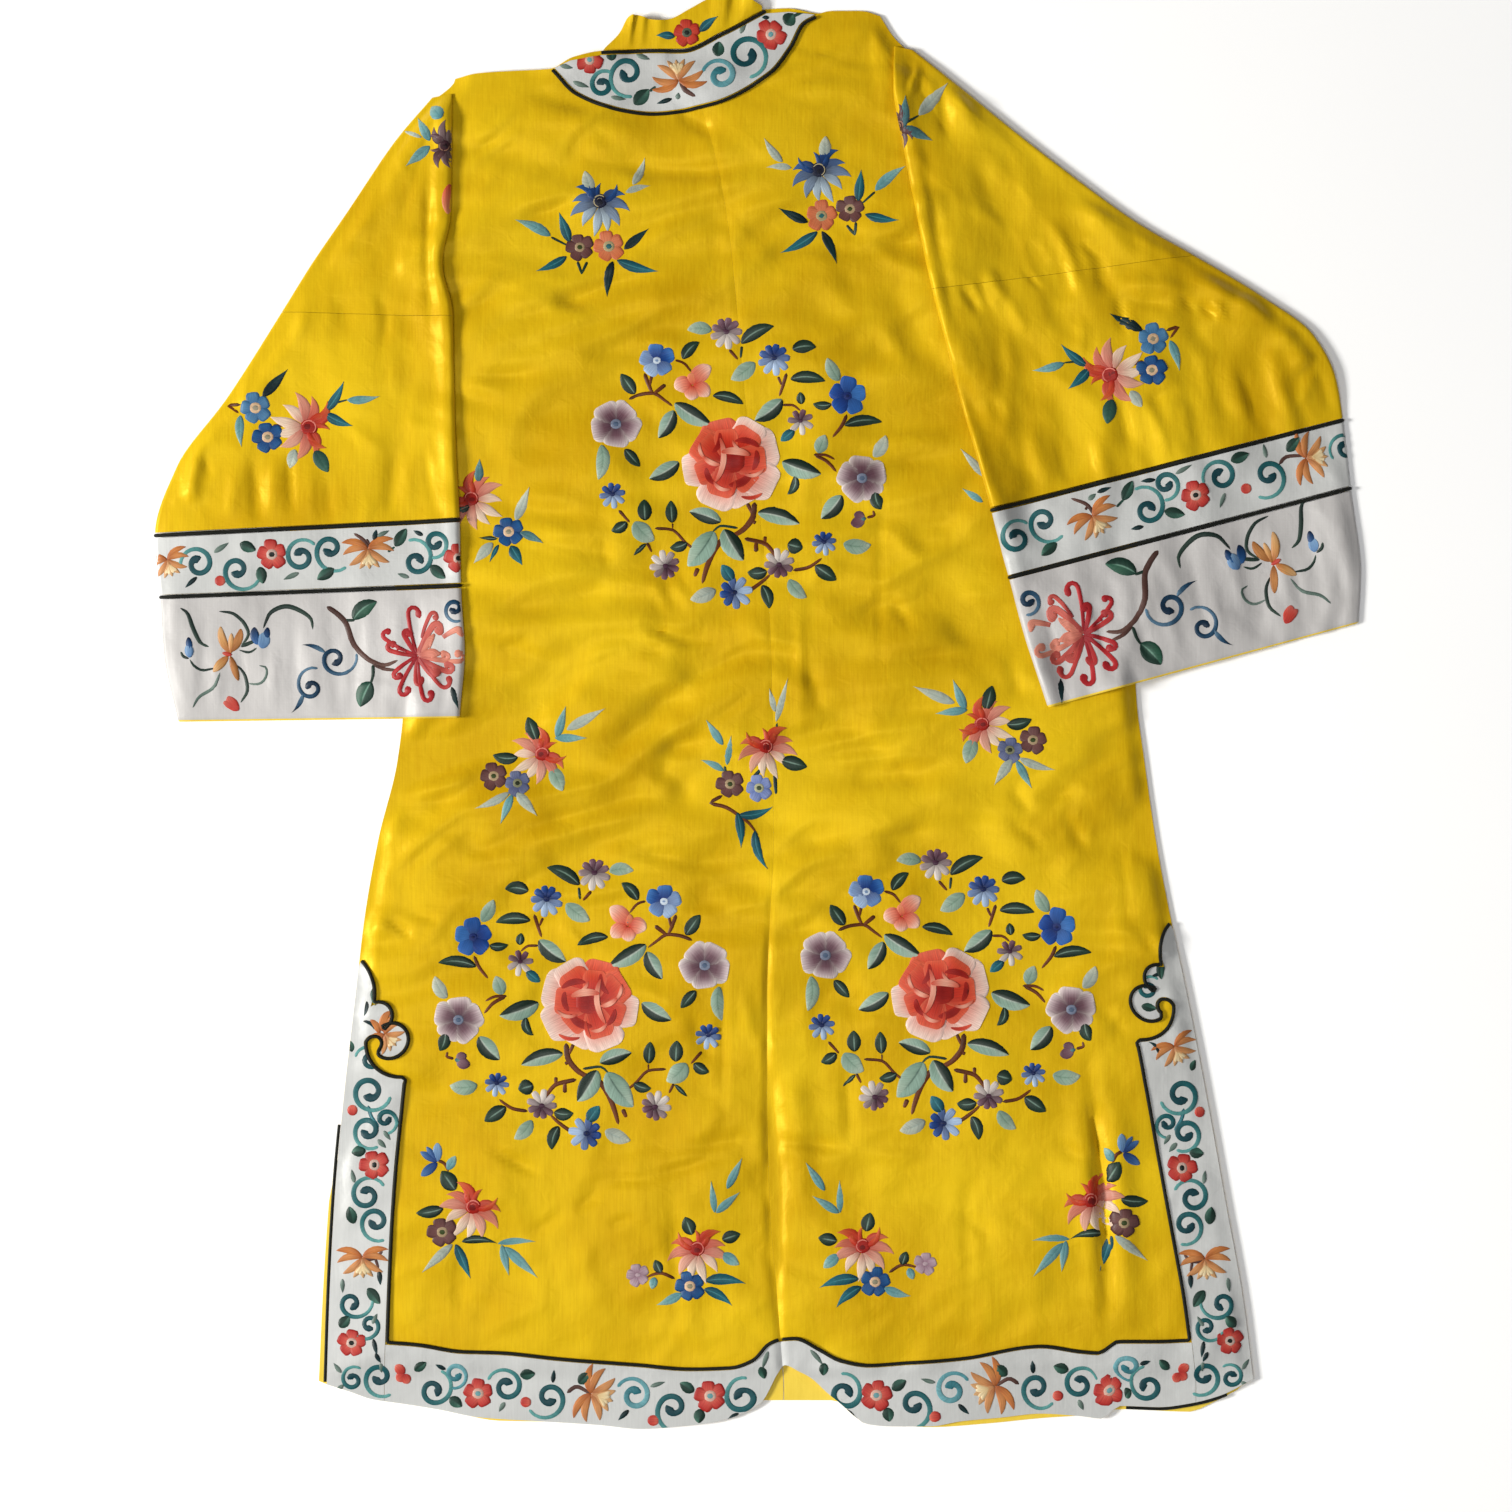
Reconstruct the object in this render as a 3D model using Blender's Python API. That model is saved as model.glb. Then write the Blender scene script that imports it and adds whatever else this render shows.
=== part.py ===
"""Embroidered Chinese silk robe, laid flat on its front with both sleeves folded in over the back.

The robe lies in the XY plane with its shoulders at +Y and its back facing +Z.
The origin is on the floor under the middle of the robe.  Tables and sizes are
in millimetres, and MM turns them into metres when a mesh is made.

Layers, from the floor up: fronts, backs, borders laid on the backs, sleeves.
"""

import math

import bmesh
import bpy
import numpy as np

MM = 0.001

# Cloth and trimming
WALL = 1.2  # satin, padding and lining, taken as one wall
BORDER_WALL = 1.0  # white satin border
COLLAR_WALL = 1.8  # stiffened standing collar
SEAM_GAP = 0.3
PIPING_RADIUS = 1.5
PIPING_CLEARANCE = 0.2
BINDING_RADIUS = 1.2
BORDER_WIDTH = 45.0  # side border, from the side edge to its piping
SLEEVE_SLACK = 0.9  # air left between the two walls of a flattened sleeve
RING_WIDTH = 3.6  # piping that runs round a sleeve
RING_RISE = 0.7  # how far it stands proud of the sleeve
RING_EDGE_RISE = 0.2

# Levels above the floor
FRONT_TOP = WALL
BACK_TOP = FRONT_TOP + SEAM_GAP + WALL
SLEEVE_FLOOR = BACK_TOP + SEAM_GAP

# Mesh fineness
BACK_ROWS = 38
BACK_COLUMNS = 13
FRONT_ROWS = 20
BORDER_COLUMNS = 2  # columns of a back that lie under its side border
BORDER_ROWS = 2  # rows of a back that lie under its hem border
STATIONS_PER_ROW = 2
ARC_STEP = 3.0
FOLD_FREE = 26.0  # width kept flat beside anything that is laid on a back
FOLD_RAMP = 30.0
OUTLINE_STEPS = 90
SIDE_BORDER_STEPS = 8
SIDE_EDGE_STEPS = 14
NECK_OUTER_STEPS = 34
NECK_SEAM_STEPS = 18
NECK_STEPS = 6
SHOULDER_STEPS = 3
SOLVE_STEPS = 6  # passes that settle a point on both its column and its edge

# Folded sleeve: it lies on the body, and beside it comes down to the floor
SLEEVE_PLATEAU = 30.0
SLEEVE_RAMP = 28.0
SLEEVE_COLUMNS = 9
SLEEVE_TIP = 2.4  # from a pressed edge to where the walls are full height
SLEEVE_MARGIN = 10.0
SLEEVE_EASE = 12.0
NARROW_SLEEVE = 40.0  # sections narrower than this have evenly spaced columns


def table(names, *rows):
    """Return rows as an array whose columns are read by name."""
    return np.array(list(rows), dtype=[(name, float) for name in names.split()])


# The body, a row for each height from the hem to the shoulders.  Above y = 100
# the side edges run out under the folded sleeves to the underarm and back up
# along each sleeve's diagonal fold.
BODY = table(
    "y left seam right",
    (-522, -336, 20, 386),
    (-459, -334, 15, 378),
    (-381, -330, 9, 364),
    (-303, -323, 7, 350),
    (-225, -314, 7, 335),
    (-163, -307, 9, 322),
    (-100, -296, 12, 310),
    (-38, -281, 12, 301),
    (9, -276, 11, 295),
    (71, -275, 9, 292),
    (106, -288, 6, 293),
    (130, -325, 4, 295),
    (165, -452, -1, 304),
    (192, -448, -5, 325),
    (243, -409, -10, 400),
    (274, -386, -13, 436),
    (297, -368, -15, 421),
    (329, -354, -18, 378),
    (376, -322, -23, 296),
    (426, -290, -32, 221),
    (473, -256, -45, 165),
    (493, -236, -51, 145),
    (524, -236, -53, 107),
    (542, -236, -53, 95),
)

TOP_EDGE = table(
    "x y",
    (-236, 493),
    (-217, 497),
    (-186, 499),
    (-162, 500),
    (-144, 509),
    (-122, 514),
    (-83, 516),
    (-60, 516),
    (-29, 529),
    (5, 547),
    (23, 548),
    (47, 544),
    (56, 546),
    (80, 546),
    (95, 542),
)

# Lower edge of the backs; it is drawn up in the middle, where it rides over a crumple.
BACK_HEM = table(
    "x y",
    (-337, -524),
    (-279, -539),
    (-217, -550),
    (-123, -556),
    (-61, -557),
    (-10, -546),
    (3, -528),
    (21, -509),
    (41, -519),
    (60, -535),
    (82, -553),
    (103, -557),
    (158, -553),
    (220, -547),
    (266, -551),
    (281, -541),
    (337, -540),
    (388, -519),
)

# Upper edge of the hem border
HEM_BORDER = table(
    "x y",
    (-290, -493),
    (-232, -500),
    (-154, -506),
    (-53, -511),
    (-10, -508),
    (9, -492),
    (29, -490),
    (64, -507),
    (87, -511),
    (158, -506),
    (220, -496),
    (266, -501),
    (280, -492),
    (338, -491),
)

# Lower edge of the fronts, seen past the backs in places
FRONT_HEM = table(
    "x y",
    (-342, -523),
    (-279, -538),
    (-201, -553),
    (-61, -554),
    (-14, -543),
    (20, -536),
    (56, -536),
    (95, -553),
    (134, -558),
    (220, -551),
    (282, -544),
    (337, -546),
    (381, -525),
)

# How far each front's side edge stands outside the back's
FRONT_PEEK = table(
    "y left right",
    (-524, 6.5, -5.0),
    (-381, 4.5, -3.0),
    (-340, -1.0, -2.0),
    (-280, -2.0, -2.0),
    (542, -2.0, -2.0),
)

# Neck border, a crescent on the backs, and the line that the collar is sewn to
NECK_OUTER = table(
    "x y",
    (-160, 499),
    (-142, 481),
    (-108, 468),
    (-83, 465),
    (-37, 472),
    (9, 496),
    (26, 518),
    (35, 535),
    (45, 541),
)
NECK_SEAM = table("x y", (-122, 514), (-83, 516), (-60, 516), (-29, 529), (5, 547))
NECK_END_LEFT = (-146.0, 506.0)
NECK_END_RIGHT = (24.0, 545.0)
NECK_MIDDLE_X = -58.5
NECK_HALF_WIDTH = 63.5
FRONT_NECK_DROP = 75.0
FRONT_COLLAR_SCALE = 0.58
FRONT_SHOULDER_SETBACK = 1.5
FRONT_LEAN_Y = (400.0, 450.0)  # over these heights the opening leans to the neck's middle

# Standing collar: its seam end is on NECK_SEAM, its free edge and height here
COLLAR = table(
    "x free_x free_y lift",
    (-121, -119, 517, 0.5),
    (-114, -108, 528, 1.5),
    (-106, -101, 540, 4.5),
    (-97, -95, 542, 6.5),
    (-86, -85, 539, 2.5),
    (-70, -69, 539, 2.0),
    (-54, -53, 547, 2.5),
    (-40, -38, 555, 3.0),
    (-28, -25, 558, 5.5),
    (-17, -14, 558, 3.0),
    (-6, -5, 554, 5.0),
    (3, 3, 549.5, 1.0),
)

# Sleeves as folded over, a row for each section from the shoulder to the opening:
# the shoulder fold is the inner end, the diagonal fold and the underarm the outer.
LEFT_SLEEVE = table(
    "inner_x inner_y outer_x outer_y",
    (-238, 481, -254, 478),
    (-238, 446, -282, 445),
    (-239, 387, -320, 389),
    (-245, 348, -348, 348),
    (-237, 307, -371, 311),
    (-236, 243, -413, 245),
    (-234, 188, -453, 190),
    (-232, 149, -470, 137),
    (-231, 98, -466, 89),
    (-228, 48, -463, 44),
    (-232, -5, -452, -8),
)
RIGHT_SLEEVE = table(
    "inner_x inner_y outer_x outer_y",
    (106, 518, 121, 515),
    (105, 485, 155, 488),
    (113, 438, 220, 436),
    (125, 376, 298, 379),
    (135, 328, 340, 355),
    (144, 294, 393, 323),
    (154, 255, 432, 294),
    (167, 208, 450, 260),
    (181, 156, 456, 227),
    (195, 104, 462, 174),
    (208, 56, 470, 110),
    (225, 3, 468, 69),
)

# Parts of a sleeve between its sections: first and last row of the table
SLEEVE_PARTS = {
    "left": (("sleeve", 0, 4), ("sleeve_extension", 4, 7), ("sleeve_band", 7, 8), ("cuff", 8, 10)),
    "right": (("sleeve", 0, 4), ("sleeve_extension", 4, 8), ("sleeve_band", 8, 9), ("cuff", 9, 11)),
}

# Largest folds of the backs: ridges from one end to the other
BACK_FOLDS = table(
    "x0 y0 x1 y1 width height",
    (-232, 338, -70, 388, 14, 4.0),
    (-238, 300, -120, 352, 13, 4.5),
    (-235, 268, -40, 320, 14, 5.0),
    (-30, 388, 100, 420, 15, 4.0),
    (-20, 352, 112, 372, 14, 3.5),
    (60, 325, 128, 215, 15, 4.0),
    (80, 214, 170, 178, 14, 3.5),
    (-232, 52, 25, 98, 17, 4.5),
    (18, 6, 216, 40, 16, 4.0),
    (25, -62, 222, -40, 17, 4.5),
    (-262, -66, -45, 18, 18, 5.0),
    (-262, -130, -150, -70, 18, 4.5),
    (-145, -375, 0, -330, 20, 3.5),
    (12, -250, 25, -470, 15, 5.0),
    (254, -256, 274, -548, 13, 4.5),
    (26, -440, 30, -560, 27, 10.0),
)

SLEEVE_FOLDS = table(
    "x0 y0 x1 y1 width height",
    (-250, 462, -251, 330, 9, 3.0),
    (-275, 296, -336, 182, 18, 3.0),
    (-396, 224, -424, 150, 16, 2.5),
    (119, 492, 136, 362, 10, 3.5),
    (222, 430, 196, 318, 20, 4.5),
    (262, 318, 340, 344, 14, 4.5),
    (306, 296, 372, 318, 14, 4.0),
    (226, 226, 270, 292, 17, 3.5),
    (352, 296, 392, 230, 17, 4.0),
)

# Cloud head that ends a side border: three-point arcs in (inward, up) from the
# point where the straight border starts
CLOUD_START = (0.0, 90.5)
CLOUD_ARCS = table(
    "through_in through_up to_in to_up",
    (10.8, 74.0, 12.1, 56.2),
    (27.0, 53.5, 23.4, 39.8),
    (43.0, 31.0, 22.5, 20.5),
    (18.5, 34.8, 9.8, 28.5),
    (18.5, 9.8, 44.7, 0.0),
)
CLOUD_FOOT_Y = {"left": -286.0, "right": -257.0}
CLOUD_SETBACK = 1.0  # the head starts this far inside the side edge
OFFSET_TOLERANCE = 0.04
SHARP_BEND = 0.5  # cosine of the bend from which an offset line is rounded or cut

# Stretches where the black edge of a border turns out into view
BINDING_TOP_Y = -322.0
HEM_BINDING_X = (283.0, 366.0)
BINDING_LIFT = 0.3

COLOURS = {
    "yellow_satin": (0.75, 0.50, 0.01),
    "white_satin": (0.72, 0.70, 0.70),
    "black_satin": (0.012, 0.012, 0.010),
}
SATIN_ROUGHNESS = 0.42


def clear_scene():
    """Remove every object that the file starts with."""
    for item in list(bpy.data.objects):
        bpy.data.objects.remove(item, do_unlink=True)


def satin(name):
    """Return the plain satin material of that name, made once."""
    found = bpy.data.materials.get(name)
    if found:
        return found
    material = bpy.data.materials.new(name)
    material.use_nodes = True
    shader = material.node_tree.nodes["Principled BSDF"]
    shader.inputs["Base Color"].default_value = (*COLOURS[name], 1.0)
    shader.inputs["Roughness"].default_value = SATIN_ROUGHNESS
    shader.inputs["Metallic"].default_value = 0.0
    return material


def robe_collection():
    """Return the collection that holds the robe's pieces."""
    found = bpy.data.collections.get("chinese_silk_robe")
    if not found:
        found = bpy.data.collections.new("chinese_silk_robe")
        bpy.context.scene.collection.children.link(found)
    return found


def add_piece(name, data, material_name):
    """Put a mesh or curve in the robe's collection as a named piece."""
    piece = bpy.data.objects.new(name, data)
    data.materials.append(satin(material_name))
    robe_collection().objects.link(piece)
    return piece


def smoothstep(value):
    """Ease from 0 to 1 as value goes from 0 to 1."""
    value = np.clip(value, 0.0, 1.0)
    return value * value * (3.0 - 2.0 * value)


def smooth(at, xs, ys):
    """Read a curve through (xs, ys) that never swings past its points."""
    xs = np.asarray(xs, float)
    ys = np.asarray(ys, float)
    step = np.diff(xs)
    slope = np.diff(ys) / step
    tangent = np.zeros_like(ys)
    turning = slope[:-1] * slope[1:] > 0
    before = slope[:-1][turning]
    after = slope[1:][turning]
    tangent[1:-1][turning] = 2.0 * before * after / (before + after)
    tangent[0], tangent[-1] = slope[0], slope[-1]
    at = np.clip(at, xs[0], xs[-1])
    index = np.clip(np.searchsorted(xs, at) - 1, 0, len(xs) - 2)
    part = (at - xs[index]) / step[index]
    return (
        ys[index] * (1 + 2 * part) * (1 - part) ** 2
        + ys[index + 1] * part**2 * (3 - 2 * part)
        + step[index] * tangent[index] * part * (1 - part) ** 2
        - step[index] * tangent[index + 1] * part**2 * (1 - part)
    )


def outside_distance(x, y, outline):
    """Return each point's distance to a closed outline, negative inside it."""
    start = np.asarray(outline, float)
    span = np.roll(start, -1, axis=0) - start
    point = np.stack([np.asarray(x, float), np.asarray(y, float)], axis=-1)[..., None, :]
    along = np.clip(((point - start) * span).sum(-1) / (span**2).sum(-1), 0.0, 1.0)
    distance = np.linalg.norm(point - start - along[..., None] * span, axis=-1).min(-1)
    above = point[..., 1] < start[:, 1]
    above_next = point[..., 1] < (start + span)[:, 1]
    rise = np.where(span[:, 1] == 0, 1e-9, span[:, 1])
    crossing = start[:, 0] + (point[..., 1] - start[:, 1]) / rise * span[:, 0]
    inside = ((above != above_next) & (point[..., 0] < crossing)).sum(-1) % 2 == 1
    return np.where(inside, -distance, distance)


def ridges(x, y, folds):
    """Return the height of the folds at each point, the highest one where they cross."""
    height = np.zeros(np.shape(x))
    for fold in folds:
        run = np.array([fold["x1"] - fold["x0"], fold["y1"] - fold["y0"]])
        length = np.hypot(*run)
        unit = run / length
        along = (x - fold["x0"]) * unit[0] + (y - fold["y0"]) * unit[1]
        aside = (y - fold["y0"]) * unit[0] - (x - fold["x0"]) * unit[1]
        fade = smoothstep(1.0 - np.abs(along / length - 0.5) * 2.0 + 2.0 * fold["width"] / length)
        shape = fold["height"] * fade * np.exp(-((aside / fold["width"]) ** 2))
        height = np.maximum(height, shape)
    return height


def edge_x(side, y):
    """Return the x of the body's side edge."""
    return smooth(y, BODY["y"], BODY["left" if side < 0 else "right"])


def sleeve_outline(sections):
    """Return a folded sleeve's outline as a closed list of plan points."""
    inner = list(zip(sections["inner_x"], sections["inner_y"]))
    outer = list(zip(sections["outer_x"], sections["outer_y"]))
    return inner + outer[::-1]


def body_outline():
    """Return the body's outline as a closed list of plan points."""
    heights = np.linspace(BODY["y"][0], BODY["y"][-1], OUTLINE_STEPS)
    left = [(edge_x(-1, y), y) for y in heights]
    right = [(edge_x(1, y), y) for y in heights]
    return left + right[::-1]


def neck_outline():
    """Return the neck border's outline as a closed list of plan points."""
    outer = list(zip(NECK_OUTER["x"], NECK_OUTER["y"]))
    seam = list(zip(NECK_SEAM["x"], NECK_SEAM["y"]))
    return outer + seam[::-1]


def back_height(x, y):
    """Return the height of the backs' upper face: folds, kept flat under what is laid on them."""
    free = np.minimum(x - edge_x(-1, y), edge_x(1, y) - x) - BORDER_WIDTH
    for outline in (sleeve_outline(LEFT_SLEEVE), sleeve_outline(RIGHT_SLEEVE), neck_outline()):
        free = np.minimum(free, outside_distance(x, y, outline))
    return BACK_TOP + ridges(x, y, BACK_FOLDS) * smoothstep((free - FOLD_FREE) / FOLD_RAMP)


def cross_x(side, share, y):
    """Return x at a share of the way from the side edge to the centre-back seam.

    Shares up to 1 cross the side border; those from 1 to 2 cross the rest.
    """
    edge = edge_x(side, y)
    seam = smooth(y, BODY["y"], BODY["seam"]) + side * SEAM_GAP / 2
    inner = edge - side * BORDER_WIDTH
    return np.where(share <= 1, edge + (inner - edge) * share, inner + (seam - inner) * (share - 1))


def back_plan(side):
    """Return the plan points of a back: rows from the hem up, columns from the side edge in."""
    under_border = np.linspace(0, 1, BORDER_COLUMNS + 1)[:-1]
    columns = np.concatenate([under_border, np.linspace(1, 2, BACK_COLUMNS - BORDER_COLUMNS + 1)])
    top_y = np.full(columns.shape, BODY["y"][-1])
    for _ in range(SOLVE_STEPS):
        top_x = cross_x(side, columns, top_y)
        top_y = smooth(top_x, TOP_EDGE["x"], TOP_EDGE["y"])
    rows = []
    for row in range(BACK_ROWS + 1):
        y = top_y.copy()
        for _ in range(SOLVE_STEPS):
            x = cross_x(side, columns, y)
            hem = smooth(x, BACK_HEM["x"], BACK_HEM["y"])
            border = smooth(x, HEM_BORDER["x"], HEM_BORDER["y"])
            if row <= BORDER_ROWS:
                y = hem + (border - hem) * row / BORDER_ROWS
            else:
                y = border + (top_y - border) * (row - BORDER_ROWS) / (BACK_ROWS - BORDER_ROWS)
        rows.append(np.stack([cross_x(side, columns, y), y], axis=-1))
    return np.array(rows)


def front_plan(side):
    """Return the plan points of a front, with its neckline scooped out."""
    neck_angles = np.radians(np.linspace(0, 90, NECK_STEPS))
    neck_x = NECK_MIDDLE_X + side * NECK_HALF_WIDTH * np.cos(neck_angles)
    shoulder_x = BODY["left" if side < 0 else "right"][-1]
    body_share = (neck_x[:-1] - shoulder_x) / (NECK_MIDDLE_X - shoulder_x)
    shoulder_share = np.linspace(0, body_share[0], SHOULDER_STEPS + 1)[:-1]
    shares = np.concatenate([shoulder_share, body_share, [1.0]])
    top_x = shoulder_x + (NECK_MIDDLE_X + side * SEAM_GAP - shoulder_x) * shares
    chord = np.interp(top_x, NECK_SEAM["x"][[0, -1]], NECK_SEAM["y"][[0, -1]])
    reach = np.clip((top_x - NECK_MIDDLE_X) / NECK_HALF_WIDTH, -1, 1)
    scoop = chord - FRONT_NECK_DROP * np.sqrt(1 - reach**2)
    shoulder = smooth(top_x, TOP_EDGE["x"], TOP_EDGE["y"]) - FRONT_SHOULDER_SETBACK
    top_y = np.where(np.abs(reach) < 1, scoop, shoulder)
    rows = []
    for row in range(FRONT_ROWS + 1):
        part = row / FRONT_ROWS
        y = top_y.copy()
        x = top_x.copy()
        for _ in range(SOLVE_STEPS):
            peek = np.interp(y, FRONT_PEEK["y"], FRONT_PEEK["left" if side < 0 else "right"])
            edge = edge_x(side, y) + side * peek
            lean = np.interp(y, FRONT_LEAN_Y, [0.0, 1.0])
            seam = smooth(y, BODY["y"], BODY["seam"])
            centre = seam + (NECK_MIDDLE_X - seam) * lean + side * SEAM_GAP
            x = edge + (centre - edge) * shares
            y = smooth(x, FRONT_HEM["x"], FRONT_HEM["y"]) * (1 - part) + top_y * part
        if row == FRONT_ROWS:
            x = top_x
        rows.append(np.stack([x, y], axis=-1))
    return np.array(rows)


def cloth_wall(name, points, thickness, material_name):
    """Make a wall whose upper face passes through a grid of points, with its thickness below."""
    rows, columns = points.shape[:2]
    shape = bmesh.new()
    bmesh.ops.create_grid(shape, x_segments=columns - 1, y_segments=rows - 1, size=1.0)
    shape.verts.ensure_lookup_table()
    for vertex, point in zip(shape.verts, points.reshape(-1, 3)):
        vertex.co = point * MM
    upper = list(shape.faces)
    made = bmesh.ops.extrude_face_region(shape, geom=upper, use_keep_orig=True)
    raised = [item for item in made["geom"] if isinstance(item, bmesh.types.BMVert)]
    bmesh.ops.translate(shape, verts=raised, vec=(0.0, 0.0, -thickness * MM))
    bmesh.ops.recalc_face_normals(shape, faces=shape.faces)
    mesh = bpy.data.meshes.new(name)
    shape.to_mesh(mesh)
    shape.free()
    return add_piece(name, mesh, material_name)


def flat_piece(name, outline, bottom, thickness, material_name):
    """Make a flat piece from a closed outline, as a filled curve."""
    data = bpy.data.curves.new(name, "CURVE")
    data.dimensions = "2D"
    data.fill_mode = "BOTH"
    data.extrude = thickness / 2 * MM
    line = data.splines.new("POLY")
    line.points.add(len(outline) - 1)
    for point, (x, y) in zip(line.points, outline):
        point.co = (x * MM, y * MM, 0.0, 1.0)
    line.use_cyclic_u = True
    piece = add_piece(name, data, material_name)
    piece.location.z = (bottom + thickness / 2) * MM
    return piece


def cord(name, points, radius, material_name="black_satin"):
    """Make a piping that follows a line of points."""
    data = bpy.data.curves.new(name, "CURVE")
    data.dimensions = "3D"
    data.bevel_depth = radius * MM
    data.bevel_resolution = 2
    data.use_fill_caps = True
    line = data.splines.new("POLY")
    line.points.add(len(points) - 1)
    for point, place in zip(line.points, points):
        point.co = (*(np.asarray(place) * MM), 1.0)
    return add_piece(name, data, material_name)


def loft_tube(name, outer_rings, inner_rings, material_name):
    """Make an open tube from matching outer and inner rings, a pair for each section."""
    outer_rings = np.asarray(outer_rings)
    inner_rings = np.asarray(inner_rings)
    sections, count = outer_rings.shape[:2]
    shape = bmesh.new()
    outer = [[shape.verts.new(point * MM) for point in ring] for ring in outer_rings]
    inner = [[shape.verts.new(point * MM) for point in ring] for ring in inner_rings]
    for spot in range(count):
        after = (spot + 1) % count
        for row in range(sections - 1):
            low, high = outer[row], outer[row + 1]
            shape.faces.new((low[spot], low[after], high[after], high[spot]))
            low, high = inner[row], inner[row + 1]
            shape.faces.new((low[after], low[spot], high[spot], high[after]))
        shape.faces.new((outer[0][after], outer[0][spot], inner[0][spot], inner[0][after]))
        shape.faces.new((outer[-1][spot], outer[-1][after], inner[-1][after], inner[-1][spot]))
    bmesh.ops.recalc_face_normals(shape, faces=shape.faces)
    mesh = bpy.data.meshes.new(name)
    shape.to_mesh(mesh)
    shape.free()
    return add_piece(name, mesh, material_name)


def sleeve_floor(x, y):
    """Return the height of a sleeve's underside: on the back, then down to the floor beside it."""
    away = outside_distance(x, y, body_outline())
    return SLEEVE_FLOOR * (1.0 - smoothstep((away - SLEEVE_PLATEAU) / SLEEVE_RAMP))


def section_ends(sections, row):
    """Return the inner and outer end of a sleeve at a place between its sections."""
    index = np.arange(len(sections))
    return [
        np.array([smooth(row, index, sections[f"{end}_{axis}"]) for axis in "xy"])
        for end in ("inner", "outer")
    ]


def ring_of(plan, tips, tip_height, top, bottom):
    """Join a section's inner tip, upper points, outer tip and lower points into one loop."""
    upper = np.column_stack([plan, top])
    lower = np.column_stack([plan, bottom])[::-1]
    tip = np.column_stack([tips, tip_height])
    return np.concatenate([tip[:1], upper, tip[1:], lower])


def sleeve_ring(sections, row, rise=0.0):
    """Return the outer and inner rings of a sleeve at a place between its sections.

    row counts sections and may be a fraction; rise makes the ring stand proud.
    """
    inner, outer = section_ends(sections, row)
    width = np.hypot(*(outer - inner))
    tip = min(SLEEVE_TIP, width / 6)
    if width < NARROW_SLEEVE:
        places = np.linspace(tip, width - tip, SLEEVE_COLUMNS + 2)
    else:
        middle = np.linspace(SLEEVE_MARGIN, width - SLEEVE_MARGIN, SLEEVE_COLUMNS)
        places = np.concatenate([[tip], middle, [width - tip]])
    shares = places / width
    plan = inner + shares[:, None] * (outer - inner)
    low = sleeve_floor(plan[:, 0], plan[:, 1])
    folds = ridges(plan[:, 0], plan[:, 1], SLEEVE_FOLDS)
    easing = smoothstep(np.minimum(shares, 1 - shares) * width / SLEEVE_EASE)
    high = low + 2 * WALL + SLEEVE_SLACK + folds * easing + rise
    tip_height = np.array([(low[0] + high[0]) / 2, (low[-1] + high[-1]) / 2])
    outer_tips = inner + np.array([[-rise], [width + rise]]) / width * (outer - inner)
    inner_tips = inner + np.array([[WALL], [width - WALL]]) / width * (outer - inner)
    return (
        ring_of(plan, outer_tips, tip_height, high, low),
        ring_of(plan, inner_tips, tip_height, high - WALL - rise, low + WALL),
    )


def shift_rows(sections, row, distance):
    """Return row moved along the sleeve by a distance in millimetres."""
    before = max(row - 0.5, 0.0)
    after = min(row + 0.5, len(sections) - 1.0)
    middle = [sum(section_ends(sections, at)) / 2 for at in (before, after)]
    return row + distance * (after - before) / np.hypot(*(middle[1] - middle[0]))


def make_sleeve(side_name, sections):
    """Make one sleeve: upper part, extension, scroll band and cuff, with pipings round it."""
    parts = SLEEVE_PARTS[side_name]
    for number, (part, first, last) in enumerate(parts):
        piped_before = part in ("sleeve_band", "cuff")
        piped_after = part in ("sleeve_extension", "sleeve_band")
        half_ring = RING_WIDTH / 2 + SEAM_GAP
        start = shift_rows(sections, first, half_ring if piped_before else SEAM_GAP / 2)
        end = shift_rows(sections, last, -half_ring if piped_after else -SEAM_GAP / 2)
        if number == 0:
            start = float(first)
        if number == len(parts) - 1:
            end = float(last)
        count = max(2, (last - first) * STATIONS_PER_ROW + 1)
        rings = [sleeve_ring(sections, row) for row in np.linspace(start, end, count)]
        white = part in ("sleeve_band", "cuff")
        outer_rings, inner_rings = zip(*rings)
        name = f"{part}_{side_name}"
        loft_tube(name, outer_rings, inner_rings, "white_satin" if white else "yellow_satin")
        if piped_before:
            make_sleeve_ring(side_name, "upper" if part == "sleeve_band" else "lower", sections, first)


def make_sleeve_ring(side_name, place, sections, row):
    """Make the piping that runs round a sleeve at a section."""
    half = RING_WIDTH / 2
    steps = (
        (-half, RING_EDGE_RISE),
        (-half / 2, RING_RISE),
        (half / 2, RING_RISE),
        (half, RING_EDGE_RISE),
    )
    rings = [sleeve_ring(sections, shift_rows(sections, row, step), rise) for step, rise in steps]
    outer_rings, inner_rings = zip(*rings)
    loft_tube(f"sleeve_piping_{place}_{side_name}", outer_rings, inner_rings, "black_satin")


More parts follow.
